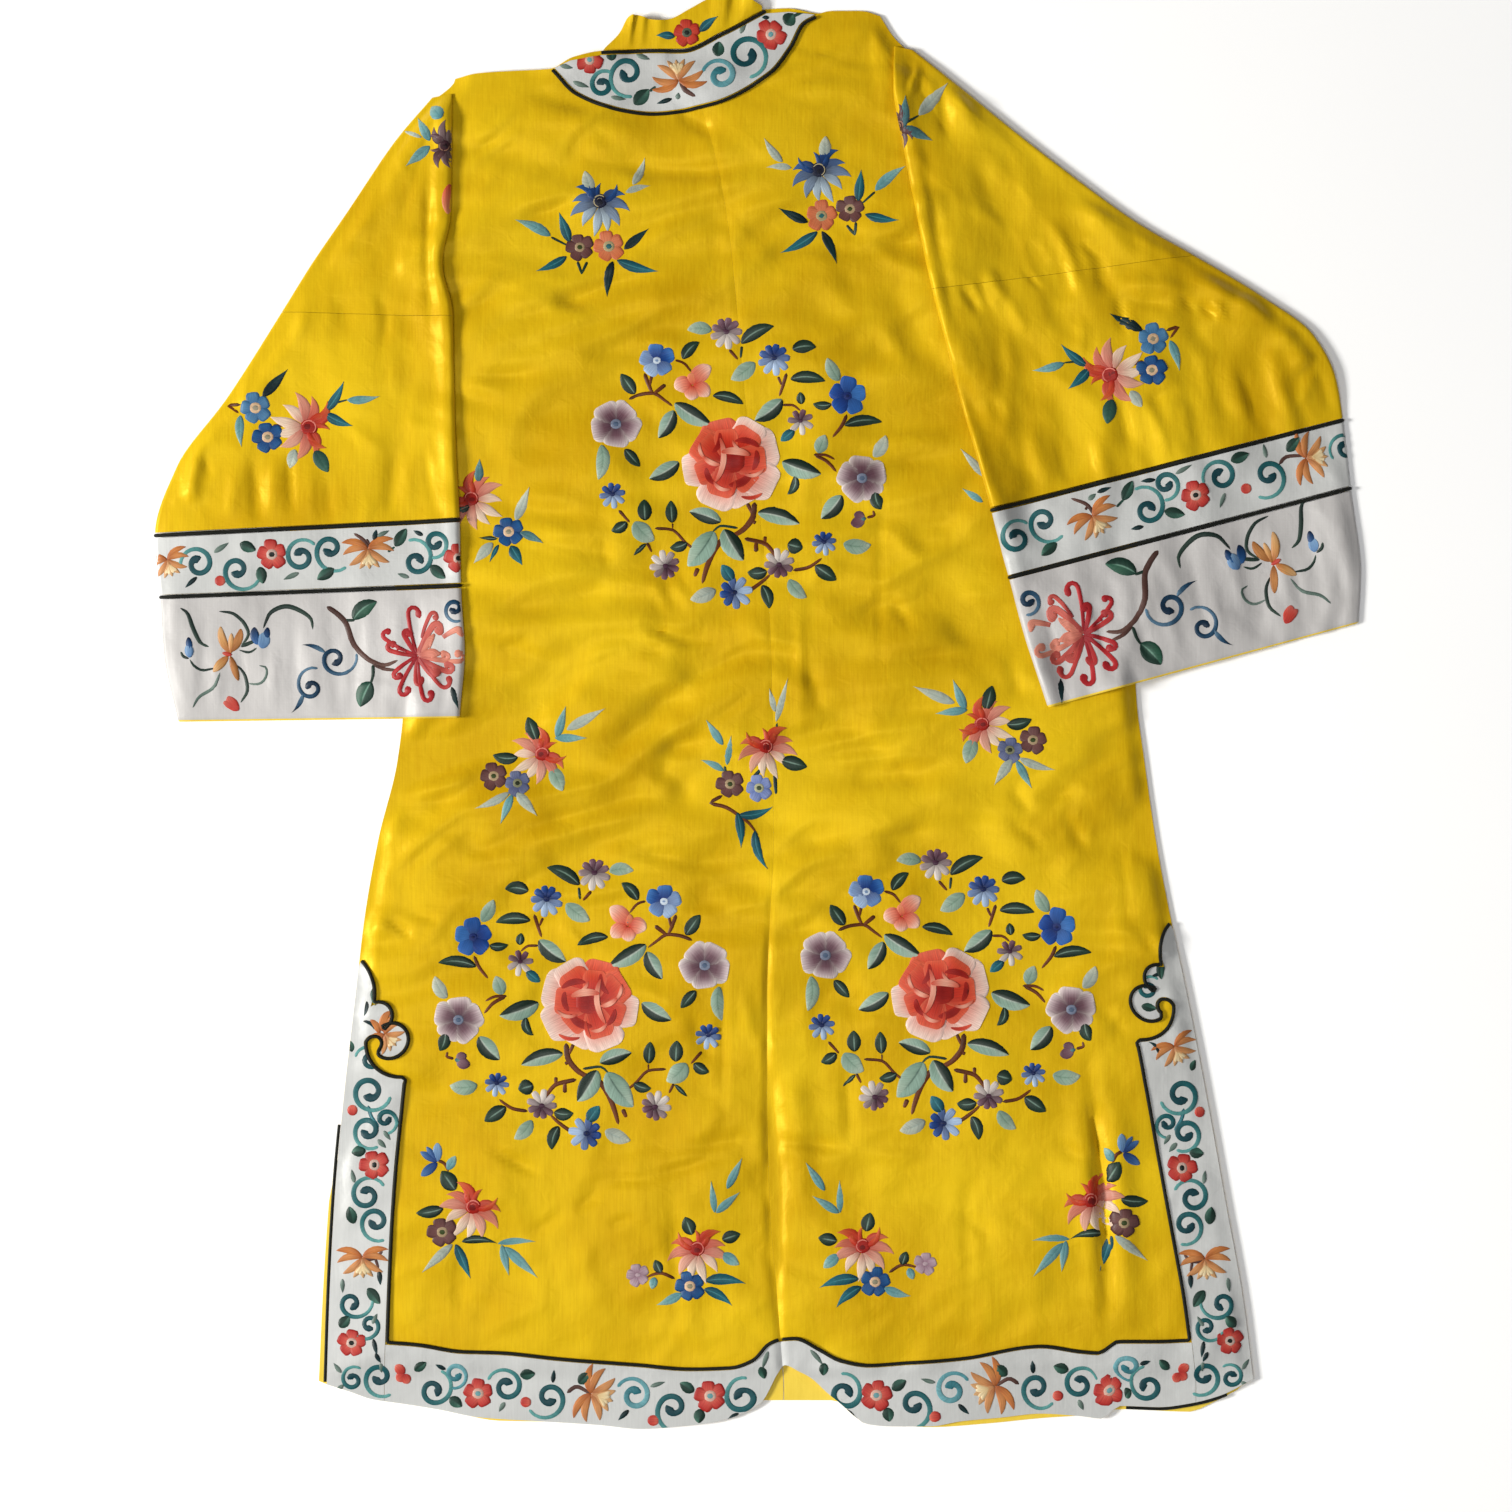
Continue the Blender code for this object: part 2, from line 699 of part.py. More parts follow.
def arc_points(start, through, end):
    """Return points along the arc from start through a middle point to end, without the start."""
    ax, ay = start
    bx, by = through
    cx, cy = end
    twice = 2 * (ax * (by - cy) + bx * (cy - ay) + cx * (ay - by))
    a2, b2, c2 = ax**2 + ay**2, bx**2 + by**2, cx**2 + cy**2
    centre_x = (a2 * (by - cy) + b2 * (cy - ay) + c2 * (ay - by)) / twice
    centre_y = (a2 * (cx - bx) + b2 * (ax - cx) + c2 * (bx - ax)) / twice
    radius = math.hypot(ax - centre_x, ay - centre_y)
    first = math.atan2(ay - centre_y, ax - centre_x)
    middle = (math.atan2(by - centre_y, bx - centre_x) - first) % math.tau
    sweep = (math.atan2(cy - centre_y, cx - centre_x) - first) % math.tau
    if middle > sweep:
        sweep -= math.tau
    count = max(3, round(abs(sweep) * radius / ARC_STEP))
    turns = first + sweep * np.arange(1, count + 1) / count
    return [(centre_x + radius * math.cos(turn), centre_y + radius * math.sin(turn)) for turn in turns]


def cloud_line():
    """Return the cloud head's edge in (inward, up) from its start to the straight border."""
    points = [CLOUD_START]
    for arc in CLOUD_ARCS:
        through = (arc["through_in"], arc["through_up"])
        points += arc_points(points[-1], through, (arc["to_in"], arc["to_up"]))
    return points


def offset_line(points, distance):
    """Return a line moved to its left by a distance, trimmed where it would come closer."""
    points = np.asarray(points, float)
    spans = np.diff(points, axis=0)
    lengths = np.linalg.norm(spans, axis=1)
    run = spans / lengths[:, None]
    normal = np.stack([-run[:, 1], run[:, 0]], axis=-1)
    moved = [points[0] + normal[0] * distance]
    for index, span in enumerate(spans):
        moved.append(points[index] + span / 2 + normal[index] * distance)
        if index + 1 == len(run):
            continue
        along = float(np.dot(run[index], run[index + 1]))
        across = run[index][0] * run[index + 1][1] - run[index][1] * run[index + 1][0]
        if along > SHARP_BEND or across >= 0:
            continue
        start = math.atan2(normal[index][1], normal[index][0])
        for part in (0.0, 0.5, 1.0):
            way = start - math.acos(max(along, -1.0)) * part
            moved.append(points[index + 1] + distance * np.array([math.cos(way), math.sin(way)]))
    kept = []
    for place in moved:
        share = np.clip(((place - points[:-1]) * spans).sum(1) / lengths**2, 0, 1)
        nearest = points[:-1] + share[:, None] * spans
        if np.linalg.norm(nearest - place, axis=1).min() > distance - OFFSET_TOLERANCE:
            kept.append(place)
    return kept


def make_side_border(side_name, side, plan):
    """Make a side border with its cloud head; return the line of its inner edge."""
    foot_y = CLOUD_FOOT_Y[side_name]
    head = []
    for inward, up in cloud_line():
        y = foot_y + up
        head.append((float(edge_x(side, y)) - side * (inward + CLOUD_SETBACK), y))
    corner_y = plan[BORDER_ROWS, BORDER_COLUMNS, 1]
    heights = np.linspace(foot_y, corner_y, SIDE_BORDER_STEPS + 1)[1:]
    width = BORDER_WIDTH - SEAM_GAP
    inner = head + [(float(edge_x(side, y)) - side * width, y) for y in heights]
    joint = [(x + side * SEAM_GAP, y) for x, y in plan[BORDER_ROWS - 1 :: -1, BORDER_COLUMNS]]
    hem = [tuple(point) for point in plan[0, :BORDER_COLUMNS]]
    heights = np.linspace(hem[0][1], head[0][1], SIDE_EDGE_STEPS + 2)[1:-1]
    outer = [(float(edge_x(side, y)), y) for y in heights]
    outline = inner + joint + hem[::-1] + outer
    flat_piece(f"side_border_{side_name}", outline, BACK_TOP + SEAM_GAP, BORDER_WALL, "white_satin")
    return inner


def make_border_piping(side_name, side, inner, points):
    """Make the piping along the inner edge of a side border and the hem border."""
    away = PIPING_RADIUS + SEAM_GAP
    turned = inner if side < 0 else [(-x, y) for x, y in inner]
    corner_y = inner[-1][1] + 2 * away
    line = []
    for x, y in offset_line(turned, away):
        if y > corner_y:
            line.append((x if side < 0 else -x, y, BACK_TOP + away))
    hem = []
    for column in range(BORDER_COLUMNS, BACK_COLUMNS + 1):
        low = points[BORDER_ROWS, column]
        step = points[BORDER_ROWS + 1, column] - low
        place = low + step * (away + PIPING_CLEARANCE) / np.hypot(step[0], step[1])
        hem.append(place + np.array([0.0, 0.0, away + SEAM_GAP]))
    hem[0] = hem[0] + np.array([-side * away, 0.0, 0.0])
    last_run = hem[-2] - hem[-1]
    hem[-1] = hem[-1] + last_run / np.linalg.norm(last_run)
    cord(f"border_piping_{side_name}", line + [tuple(point) for point in hem], PIPING_RADIUS)


def make_back(side_name, side):
    """Make a back with its borders and piping."""
    plan = back_plan(side)
    points = np.dstack([plan, back_height(plan[..., 0], plan[..., 1])])
    cloth_wall(f"back_{side_name}", points, WALL, "yellow_satin")
    hem = points[: BORDER_ROWS + 1, BORDER_COLUMNS:] + np.array([0.0, 0.0, SEAM_GAP + BORDER_WALL])
    cloth_wall(f"hem_border_{side_name}", hem, BORDER_WALL, "white_satin")
    inner = make_side_border(side_name, side, plan)
    make_border_piping(side_name, side, inner, points)
    return points


def make_front(side_name, side):
    """Make a front, flat on the floor."""
    plan = front_plan(side)
    points = np.dstack([plan, np.full(plan.shape[:2], FRONT_TOP)])
    cloth_wall(f"front_{side_name}", points, WALL, "yellow_satin")


def make_front_collar(side_name, side):
    """Make the half of the collar that stands from a front's neckline, pressed flat."""
    angles = np.radians(np.linspace(0, 90, NECK_STEPS))
    rows = []
    for scale in np.linspace(0.99, FRONT_COLLAR_SCALE, 3):
        x = NECK_MIDDLE_X + side * (NECK_HALF_WIDTH * scale * np.cos(angles) + SEAM_GAP)
        chord = np.interp(x, NECK_SEAM["x"][[0, -1]], NECK_SEAM["y"][[0, -1]])
        y = chord - FRONT_NECK_DROP * scale * np.sin(angles) + 2 * SEAM_GAP
        rows.append(np.column_stack([x, y, np.full(x.shape, FRONT_TOP)]))
    cloth_wall(f"collar_front_{side_name}", np.array(rows), WALL, "yellow_satin")


def make_neck():
    """Make the neck border, its two pipings and the back of the standing collar."""
    away = PIPING_RADIUS + SEAM_GAP
    level = BACK_TOP + away
    span = np.linspace(NECK_OUTER["x"][0], NECK_OUTER["x"][-1], NECK_OUTER_STEPS)
    outer = list(zip(span, smooth(span, NECK_OUTER["x"], NECK_OUTER["y"])))
    cord("neck_piping_outer", [(x, y, level) for x, y in outer], PIPING_RADIUS)

    span = np.linspace(NECK_SEAM["x"][-1], NECK_SEAM["x"][0], NECK_SEAM_STEPS)
    seam = list(zip(span, smooth(span, NECK_SEAM["x"], NECK_SEAM["y"])))
    inner = offset_line(seam, away)
    cord("neck_piping_inner", [(x, y, level) for x, y in inner], PIPING_RADIUS)

    lower = offset_line(outer, away + 2 * SEAM_GAP)
    upper = offset_line(seam, 2 * away + SEAM_GAP)
    outline = lower + [NECK_END_RIGHT] + upper + [NECK_END_LEFT]
    flat_piece("neck_border", outline, BACK_TOP + SEAM_GAP, BORDER_WALL, "white_satin")

    foot_x = COLLAR["x"]
    foot_y = smooth(foot_x, NECK_SEAM["x"], NECK_SEAM["y"]) + SEAM_GAP
    rows = []
    for part in (0.0, 0.5, 1.0):
        x = foot_x + (COLLAR["free_x"] - foot_x) * part
        y = foot_y + (COLLAR["free_y"] - foot_y) * part
        z = BACK_TOP + SEAM_GAP + COLLAR_WALL + COLLAR["lift"] * part
        rows.append(np.column_stack([x, y, z]))
    cloth_wall("collar_back", np.array(rows), COLLAR_WALL, "yellow_satin")


def make_turned_edges(left_back, right_back):
    """Make the black edge where it turns out beside the left border and under the right hem."""
    away = BINDING_RADIUS + SEAM_GAP
    rise = BINDING_RADIUS + BINDING_LIFT - WALL
    heights = np.linspace(BINDING_TOP_Y, left_back[0, 0, 1] + away, SIDE_EDGE_STEPS)
    line = [(float(edge_x(-1, y)) - away, y, BACK_TOP + rise) for y in heights]
    cord("edge_piping_left", line, BINDING_RADIUS)
    hem = right_back[0]
    first, last = HEM_BINDING_X
    places = [point for point in hem[::-1] if first < point[0] < last]
    line = [(x, y - away, z + rise) for x, y, z in places]
    cord("edge_piping_right", line, BINDING_RADIUS)


def build():
    """Make the whole robe."""
    clear_scene()
    for side_name, side in (("left", -1), ("right", 1)):
        make_front(side_name, side)
        make_front_collar(side_name, side)
    left_back = make_back("left", -1)
    right_back = make_back("right", 1)
    make_turned_edges(left_back, right_back)
    make_neck()
    make_sleeve("left", LEFT_SLEEVE)
    make_sleeve("right", RIGHT_SLEEVE)


build()
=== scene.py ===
"""Looks of the embroidered silk robe: cloth, trimmings, embroidery, floor, lights and camera.

The robe lies on its front with its back facing up and its shoulders at +Y.  Plan
places are complex numbers, x + y j, and every size is in millimetres until a
mesh is made.
"""

import logging
import math
from collections import namedtuple
from collections.abc import Callable, Sequence
from dataclasses import dataclass, field
from enum import Enum
from functools import cache

import bpy
import numpy as np
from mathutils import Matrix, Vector
from mathutils.geometry import delaunay_2d_cdt


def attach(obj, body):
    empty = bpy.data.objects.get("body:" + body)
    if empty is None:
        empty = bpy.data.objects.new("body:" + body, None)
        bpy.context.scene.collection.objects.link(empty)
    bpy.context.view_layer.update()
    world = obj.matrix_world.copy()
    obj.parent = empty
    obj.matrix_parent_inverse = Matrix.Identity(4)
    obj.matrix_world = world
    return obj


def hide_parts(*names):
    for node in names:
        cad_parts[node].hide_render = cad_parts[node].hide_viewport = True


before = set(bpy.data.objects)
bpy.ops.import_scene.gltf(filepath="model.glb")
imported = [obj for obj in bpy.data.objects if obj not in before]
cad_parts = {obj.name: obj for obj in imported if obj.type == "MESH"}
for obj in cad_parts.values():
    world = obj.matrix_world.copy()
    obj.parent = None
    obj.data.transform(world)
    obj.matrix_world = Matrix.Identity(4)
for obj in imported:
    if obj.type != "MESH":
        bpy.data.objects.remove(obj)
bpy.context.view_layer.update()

MM = 0.001
BODY_NAME = "root"
LOG = logging.getLogger("robe")


class Table:
    """Rows of numbers and words under the names in the first line."""

    def __init__(self, text: str, rest: Sequence = ()) -> None:
        """Read the rows.

        Args:
            text: A line of column names, then a line for each row.
            rest: What the last columns hold in a row that leaves them out.
        """
        head, *lines = text.strip().splitlines()
        self.row_type = namedtuple("Row", head.split(), defaults=rest)
        self.rows = [self.row_type(*map(self.read, line.split())) for line in lines]

    @staticmethod
    def read(word: str) -> float | str:
        """Return a word as a number where it is one."""
        return float(word) if word.lstrip("-").replace(".", "", 1).isdigit() else word

    def column(self, name: str) -> np.ndarray:
        """Return a column of numbers."""
        return np.array([getattr(row, name) for row in self.rows])

    def line(self, x: str = "x", y: str = "y") -> np.ndarray:
        """Return two columns as plan places."""
        return self.column(x) + 1j * self.column(y)

    def at(self, value: np.ndarray, of: str = "y", by: str = "x") -> np.ndarray:
        """Return one column, read smoothly by another."""
        return smooth(value, self.column(by), self.column(of))

    def between(self, value: np.ndarray, of: str = "y", by: str = "x") -> np.ndarray:
        """Return one column, read by another along straight lines between the rows."""
        return np.interp(value, self.column(by), self.column(of))


class Chart(Table):
    """Stitched motifs, in a motif's own millimetres and in degrees.

    A vine is a line with its width, its look and the places on its way.  A plum's or daisy's
    angle is where it is palest, and a daisy's bend is its number of petals.  A scroll's bend is
    the side it curls to and the length of its tail.
    """

    HEAD = "kind x y size look angle wide bend\n"

    def __init__(self, text: str, vines: str = "") -> None:
        """Read the motifs and vines.

        Args:
            text: A line for each motif, which may leave out zeros at its end.
            vines: A line for each vine, which is worked before the motifs.
        """
        super().__init__(self.HEAD + text, (0.0, 0.0, 0.0))
        words = [line.split() for line in vines.splitlines()]
        self.vines = [(float(width), look, places) for width, look, *places in words]


# The body's side edges and centre-back seam, from the hem to the shoulders
BODY = Table("""y left seam right
-522 -336 20 386
-459 -334 15 378
-381 -330 9 364
-303 -323 7 350
-225 -314 7 335
-163 -307 9 322
-100 -296 12 310
-38 -281 12 301
9 -276 11 295
71 -275 9 292
106 -288 6 293
130 -325 4 295
165 -452 -1 304
192 -448 -5 325
243 -409 -10 400
274 -386 -13 436
297 -368 -15 421
329 -354 -18 378
376 -322 -23 296
426 -290 -32 221
473 -256 -45 165
493 -236 -51 145
524 -236 -53 107
542 -236 -53 95""")
TOP_EDGE = Table("""x y
-236 493
-217 497
-186 499
-162 500
-144 509
-122 514
-83 516
-60 516
-29 529
5 547
23 548
47 544
56 546
80 546
95 542""")
BACK_HEM = Table("""x y
-337 -524
-318 -530
-300 -536
-279 -539
-248 -544
-217 -550
-170 -553
-123 -556
-92 -559
-61 -557
-35 -554
-10 -546
3 -538
9 -528
15 -516
21 -509
32 -514
41 -519
54 -531
64 -539
74 -548
84 -555
103 -557
134 -557
158 -553
190 -550
220 -547
251 -549
268 -551
274 -547
281 -541
313 -542
337 -539
360 -533
388 -519""")
HEM_BORDER = Table("""x y
-290 -493
-264 -495
-232 -500
-201 -501
-154 -506
-92 -511
-53 -514
-22 -513
-4 -507
9 -494
17 -491
29 -490
48 -499
64 -507
87 -511
120 -509
158 -506
220 -496
251 -500
265 -501
271 -498
280 -492
313 -492
338 -491""")
FRONT_HEM = Table("""x y
-342 -523
-310 -532
-279 -538
-240 -546
-201 -553
-123 -554
-61 -554
-14 -543
4 -537
20 -537
36 -537
56 -537
80 -545
95 -553
134 -558
180 -555
220 -551
262 -548
282 -544
337 -546
350 -541
381 -525""")
# How far each front's side edge shows past the back's
FRONT_PEEK = Table("""y left right
-524 6.5 -5
-381 4.5 -3
-340 -1 -2
-280 -2 -2
542 -2 -2""")
NECK_OUTER = Table("""x y
-160 499
-142 481
-108 468
-83 465
-37 472
9 496
26 518
35 535
45 541""")
NECK_SEAM = Table("""x y
-122 514
-83 516
-60 516
-29 529
5 547""")
# The standing collar along its seam: where its free edge lies, and how far that rises
COLLAR = Table("""x free_x free_y lift
-121 -119 517 0.5
-114 -108 528 1.5
-106 -101 540 4.5
-101 -97 542 6.5
-97 -95 542 3.5
-92 -89 540.5 4.5
-86 -85 539 2.5
-78 -77 538 4
-70 -69 539 2
-54 -53 547 2.5
-40 -38 555 3
-34 -31 557.5 5
-28 -25 558 5.5
-22 -19 557 2
-17 -14 558 3
-11 -8 557 5.5
-6 -5 554 5
3 3 549.5 1""")
# Cross lines of the folded sleeves, from the shoulder to the cuff's opening
LEFT_SLEEVE = Table("""inner_x inner_y outer_x outer_y
-238 481 -254 478
-238 446 -282 445
-239 387 -320 389
-245 348 -348 348
-237 307 -371 311
-236 243 -413 245
-234 188 -453 190
-232 149 -470 137
-231 98 -466 89
-228 48 -463 44
-232 -5 -452 -8""")
RIGHT_SLEEVE = Table("""inner_x inner_y outer_x outer_y
106 518 121 515
105 485 155 488
113 438 220 436
125 376 298 379
135 328 340 355
144 294 393 323
154 255 432 294
167 208 450 260
181 156 456 227
195 104 462 174
208 56 470 110
225 3 468 69""")
# A sleeve's parts: name, first and last row of its table
SLEEVE_PARTS = {
    "left": (("sleeve", 0, 4), ("sleeve_extension", 4, 7), ("sleeve_band", 7, 8), ("cuff", 8, 10)),
    "right": (("sleeve", 0, 4), ("sleeve_extension", 4, 8), ("sleeve_band", 8, 9), ("cuff", 9, 11)),
}
# The cloud head's arcs, in from the side edge and up from its foot: each through one place to another
CLOUD_START = 90.5j
CLOUD_ARCS = Table("""through_in through_up to_in to_up
10.8 74 12.1 56.2
27 53.5 23.4 39.8
43 31 22.5 20.5
18.5 34.8 9.8 28.5
18.5 9.8 44.7 0""")
CLOUD_FOOT_Y = {"left": -286.0, "right": -257.0}
NECK_END_LEFT = -146 + 506j
NECK_END_RIGHT = 24 + 545j
NECK_MIDDLE_X = -58.5
NECK_HALF_WIDTH = 63.5
FRONT_NECK_DROP = 75.0
# Where the black edge turns out into view
BINDING_TOP_Y = -322.0
HEM_BINDING_X = (283.0, 366.0)

# Folds: ridges (height above 0) and troughs (below 0) along bowed lines
BACK_CREASES = Table("""x0 y0 x1 y1 width height bow
-226 304 -92 351 7 2.2 3
-226 291 -80 343 6 -2.2
-225 280 -23 355 5 2.5 -7
-166 290 -53 340 3 -1
-231 269 -23 346 7 2.5 -16
-232 259 -166 263 5 -1.5
-231 317 -201 343 4 1.2
-209 321 -131 356 5 1.5
-223 312 -186 333 4 -1.2
-239 351 -201 358 4 -1
-201 390 -139 408 5 1.2
-193 380 -135 399 5 -2.2
-164 442 48 441 7 -2.4 -21
-186 471 -76 446 8 1.6
-61 468 -36 450 5 -1.5
-108 386 33 419 8 1.9 3
-92 367 -28 390 5 1.6
-18 389 37 402 5 1.6
-229 436 -186 469 4 0.8
-226 425 -182 455 4 0.8
-217 438 -190 451 3 -0.8
-226 395 -197 426 5 0.6
-186 483 -129 469 5 -0.9
-26 477 72 497 3 -1.3 3
17 493 97 530 5 1.7 -2
13 479 80 489 5 1
33 460 64 475 4 1
94 541 98 469 4 2
103 524 105 473 3 1.4
81 377 122 388 9 2
91 365 125 365 5 -1.9
95 355 133 340 6 1.7
99 333 130 286 12 -1.7
29 282 95 307 5 1.9
95 304 122 260 6 1.7
72 266 154 252 11 1.5
130 252 154 234 3 -0.9
95 214 154 212 7 1.7
99 190 161 195 9 -1.5
91 159 167 179 7 2.4
115 138 158 149 7 -1.5
99 142 130 117 5 1.3
78 87 177 138 5 1.6 4
80 78 107 87 5 -1.5
105 85 120 65 4 -1.3
83 48 161 56 9 1.6 3
103 34 161 44 5 -1.4 4
72 17 161 32 5 1.9 -2
33 -3 158 5 11 -2.6
21 -33 169 -0 5 2.1
33 -41 161 -32 5 1.6
72 -53 138 -50 7 -1.9
17 -69 189 -63 11 2.1
39 31 48 7 7 -2
32 95 34 -21 4 1
95 223 95 -26 2 -0.8
195 40 204 13 6 -1.5
-225 96 -119 109 11 2.8
-121 161 -118 109 5 -1.5
-143 142 -125 122 9 -1.2
-218 81 -123 79 7 -1.7 -2
-201 62 -154 75 5 1
-203 50 -174 56 3 -1.2
-131 79 -45 62 5 1.2
-108 71 -57 58 3 -1.3
-100 60 -45 46 5 1.1
-88 46 -65 53 3 -1
-84 106 -67 73 3 0.8
-70 110 -51 78 3 0.9
-119 -38 5 56 11 -2.2 9
-131 -63 8 31 9 3.2 4
-80 -32 -30 -18 8 -2.2
-45 -22 3 13 4 1.2
-76 -47 -53 -61 9 -1.6
-201 -20 -166 5 6 -2
-260 -47 -201 -20 7 -2.5 3
-279 -67 -211 -42 7 2.6 -3
-217 -73 -84 -44 5 1.9 -3
-207 -91 -76 -64 8 -3 -5
-186 -108 -61 -74 9 2.4 6
-283 -78 -240 -74 11 -1.5
-292 -130 -207 -61 6 2.1 4
-275 -135 -215 -81 5 1.2 2
-236 -117 -182 -92 7 -1.8
-292 -161 -268 -178 3 -1.8 2
-270 -156 -248 -163 3 -1.4
-268 -191 -246 -181 3 -0.8
-215 -336 -168 -362 3 -1.5
-145 -391 -122 -373 3 -0.9
-115 -365 -86 -364 3 -1
-88 -364 -26 -344 4 -1.1
-84 -356 3 -333 5 1.2
-53 -342 -5 -333 7 -1.5
-117 -401 -98 -393 3 -0.9
-178 -409 -153 -390 3 -0.8
-28 -159 -27 -328 3 -1.1
8 -256 14 -494 5 -2.8 2
27 -264 35 -412 11 2.2
-67 -358 -64 -490 5 -0.8
-232 -401 -232 -498 4 -0.7
13 -78 189 -75 9 1.9 -4
33 -108 87 -106 11 -2.3
91 -99 136 -92 6 -1.2
25 -136 103 -122 6 1.6
8 -164 56 -151 6 1.6
11 -177 53 -167 7 -1.9
239 -78 256 -110 5 -1.5
197 -85 225 -108 4 -1.1
212 -67 253 -62 4 -1.3
198 -60 212 -78 5 -1.5
294 -169 314 -191 4 -1.2
263 -225 287 -253 5 -1.1
255 -256 272 -500 4 -3.4 5
270 -264 287 -500 9 2.4 5
243 -272 261 -500 7 1.6 5
232 -326 261 -351 5 -0.8 -5
158 -391 183 -409 4 -0.9
195 -392 214 -401 4 -0.8
69 -272 72 -344 4 -1
162 -348 164 -494 3 -0.6
8 -333 73 -340 5 -1.8
80 -344 130 -347 5 1
282 -92 289 -170 5 -0.9
298 -38 310 -116 6 -1.2
306 118 325 9 6 0
-115 -131 -45 -122 7 1.1
-53 -233 -36 -272 6 -1.2
-14 -213 -2 -261 6 1
-92 -213 -64 -233 6 1.2
-154 -167 -131 -186 5 1.4
-18 -38 -18 -42 4 0
4 -250 4 -540 30 -1.5""", (0.0,))
LEFT_CREASES = Table("""x0 y0 x1 y1 width height bow
-254 438 -253 286 4 -2.4 -3
-243 387 -243 321 3 1.6 5
-296 327 -295 280 5 -1.4 6
-285 286 -282 243 6 0.9
-365 208 -363 148 4 -1.9
-392 200 -390 146 5 -1.9
-377 200 -378 148 4 1.3
-282 206 -288 148 5 -1.6
-270 204 -273 149 5 1
-261 213 -251 149 3 -1.1
-334 184 -334 148 4 -0.9
-348 196 -349 149 4 0.8
-443 156 -434 215 5 2.2
-395 278 -402 241 4 1.6
-413 239 -402 234 3 -1
-432 200 -426 182 3 -0.9
-407 188 -412 146 5 1.1
-322 226 -292 202 5 0.8
-275 224 -243 220 6 1
-303 165 -306 146 4 0.7
-283 438 -264 407 5 1.2
-273 422 -265 411 4 -1
-326 321 -318 298 6 -0.7
-349 329 -345 282 8 0.7
-396 118 -392 87 5 0.5
-446 84 -441 0 4 0.9 2
-430 86 -433 10 3 -0.8
-418 60 -421 -4 4 1 -2
-404 84 -401 2 3 -0.7
-390 90 -388 22 4 0.8
-376 58 -379 -4 3 1
-362 88 -364 -3 4 -0.9 2
-349 50 -346 -4 4 0.9
-334 92 -330 -3 5 -0.8
-319 60 -322 -4 3 0.8
-305 93 -302 28 4 0.7
-292 52 -296 -5 4 -1
-279 94 -276 -4 4 0.9 -2
-264 96 -266 30 3 -0.8
-252 60 -249 -5 4 0.8
-330 20 -262 14 4 0.9 3""", (0.0,))
RIGHT_CREASES = Table("""x0 y0 x1 y1 width height bow
156 493 164 463 6 2.6
142 493 147 446 5 -2
127 508 116 475 3 2.2
129 446 158 266 6 -3 -3
158 266 186 161 5 -2.4
178 344 192 319 5 2.2
195 321 209 294 5 1.4
158 332 172 310 4 -1.6
169 340 181 313 3 -1.2
224 385 249 319 5 2.3 6
212 365 225 338 5 -1.9
232 346 240 326 8 -2
204 346 222 327 2 -1
255 397 292 354 9 2.8
262 365 271 326 6 -2.8
254 365 261 355 3 -1.4
281 331 331 329 6 3.4 2
290 319 320 316 5 -1.8
281 323 284 294 4 -2.2
290 315 289 291 3 1.4
347 315 354 308 3 -2
356 318 361 305 3 2
332 323 337 312 3 -1.2
373 330 364 308 4 -1.2
306 241 323 251 5 -2.1
398 286 417 223 8 4.2 -2
374 268 398 215 6 -3.2
356 286 365 218 11 -1.9
382 332 396 296 7 1.6
436 268 448 230 4 -1.4
431 262 423 240 5 1.2
300 241 318 195 5 3.2 3
281 245 292 202 6 -2.2
239 221 243 176 6 -2.4
211 221 222 179 7 2.1
262 213 268 184 5 1.3
181 243 190 227 4 -1.3
192 213 197 191 4 -1
329 243 337 204 5 1.4
181 438 197 383 9 1.2
236 422 255 395 7 1
220 298 225 265 6 -1
253 304 250 280 5 1.5
193 298 198 259 5 0.9
341 298 349 282 6 -1.2
321 118 332 71 5 1
282 118 292 71 5 0.8
219 98 240 12 4 -0.9
232 104 249 40 3 0.8
248 108 268 18 4 1 2
262 78 277 21 3 -0.8
275 116 290 50 4 0.8
291 100 306 30 4 -1
303 122 318 60 3 0.8
318 96 330 40 4 0.9 -2
334 130 352 48 4 -1
352 112 362 52 3 0.8
364 140 382 64 4 0.9
384 120 396 62 4 -0.9
398 148 414 70 4 1 2
416 122 426 70 3 -0.8
432 160 446 84 4 0.9
450 130 457 80 3 -0.7
301 292 331 196 20 2
388 306 402 205 20 -3.2
140 440 160 318 17 1.1
176 436 204 318 19 -2.6
226 240 262 172 15 -1.6""", (0.0,))

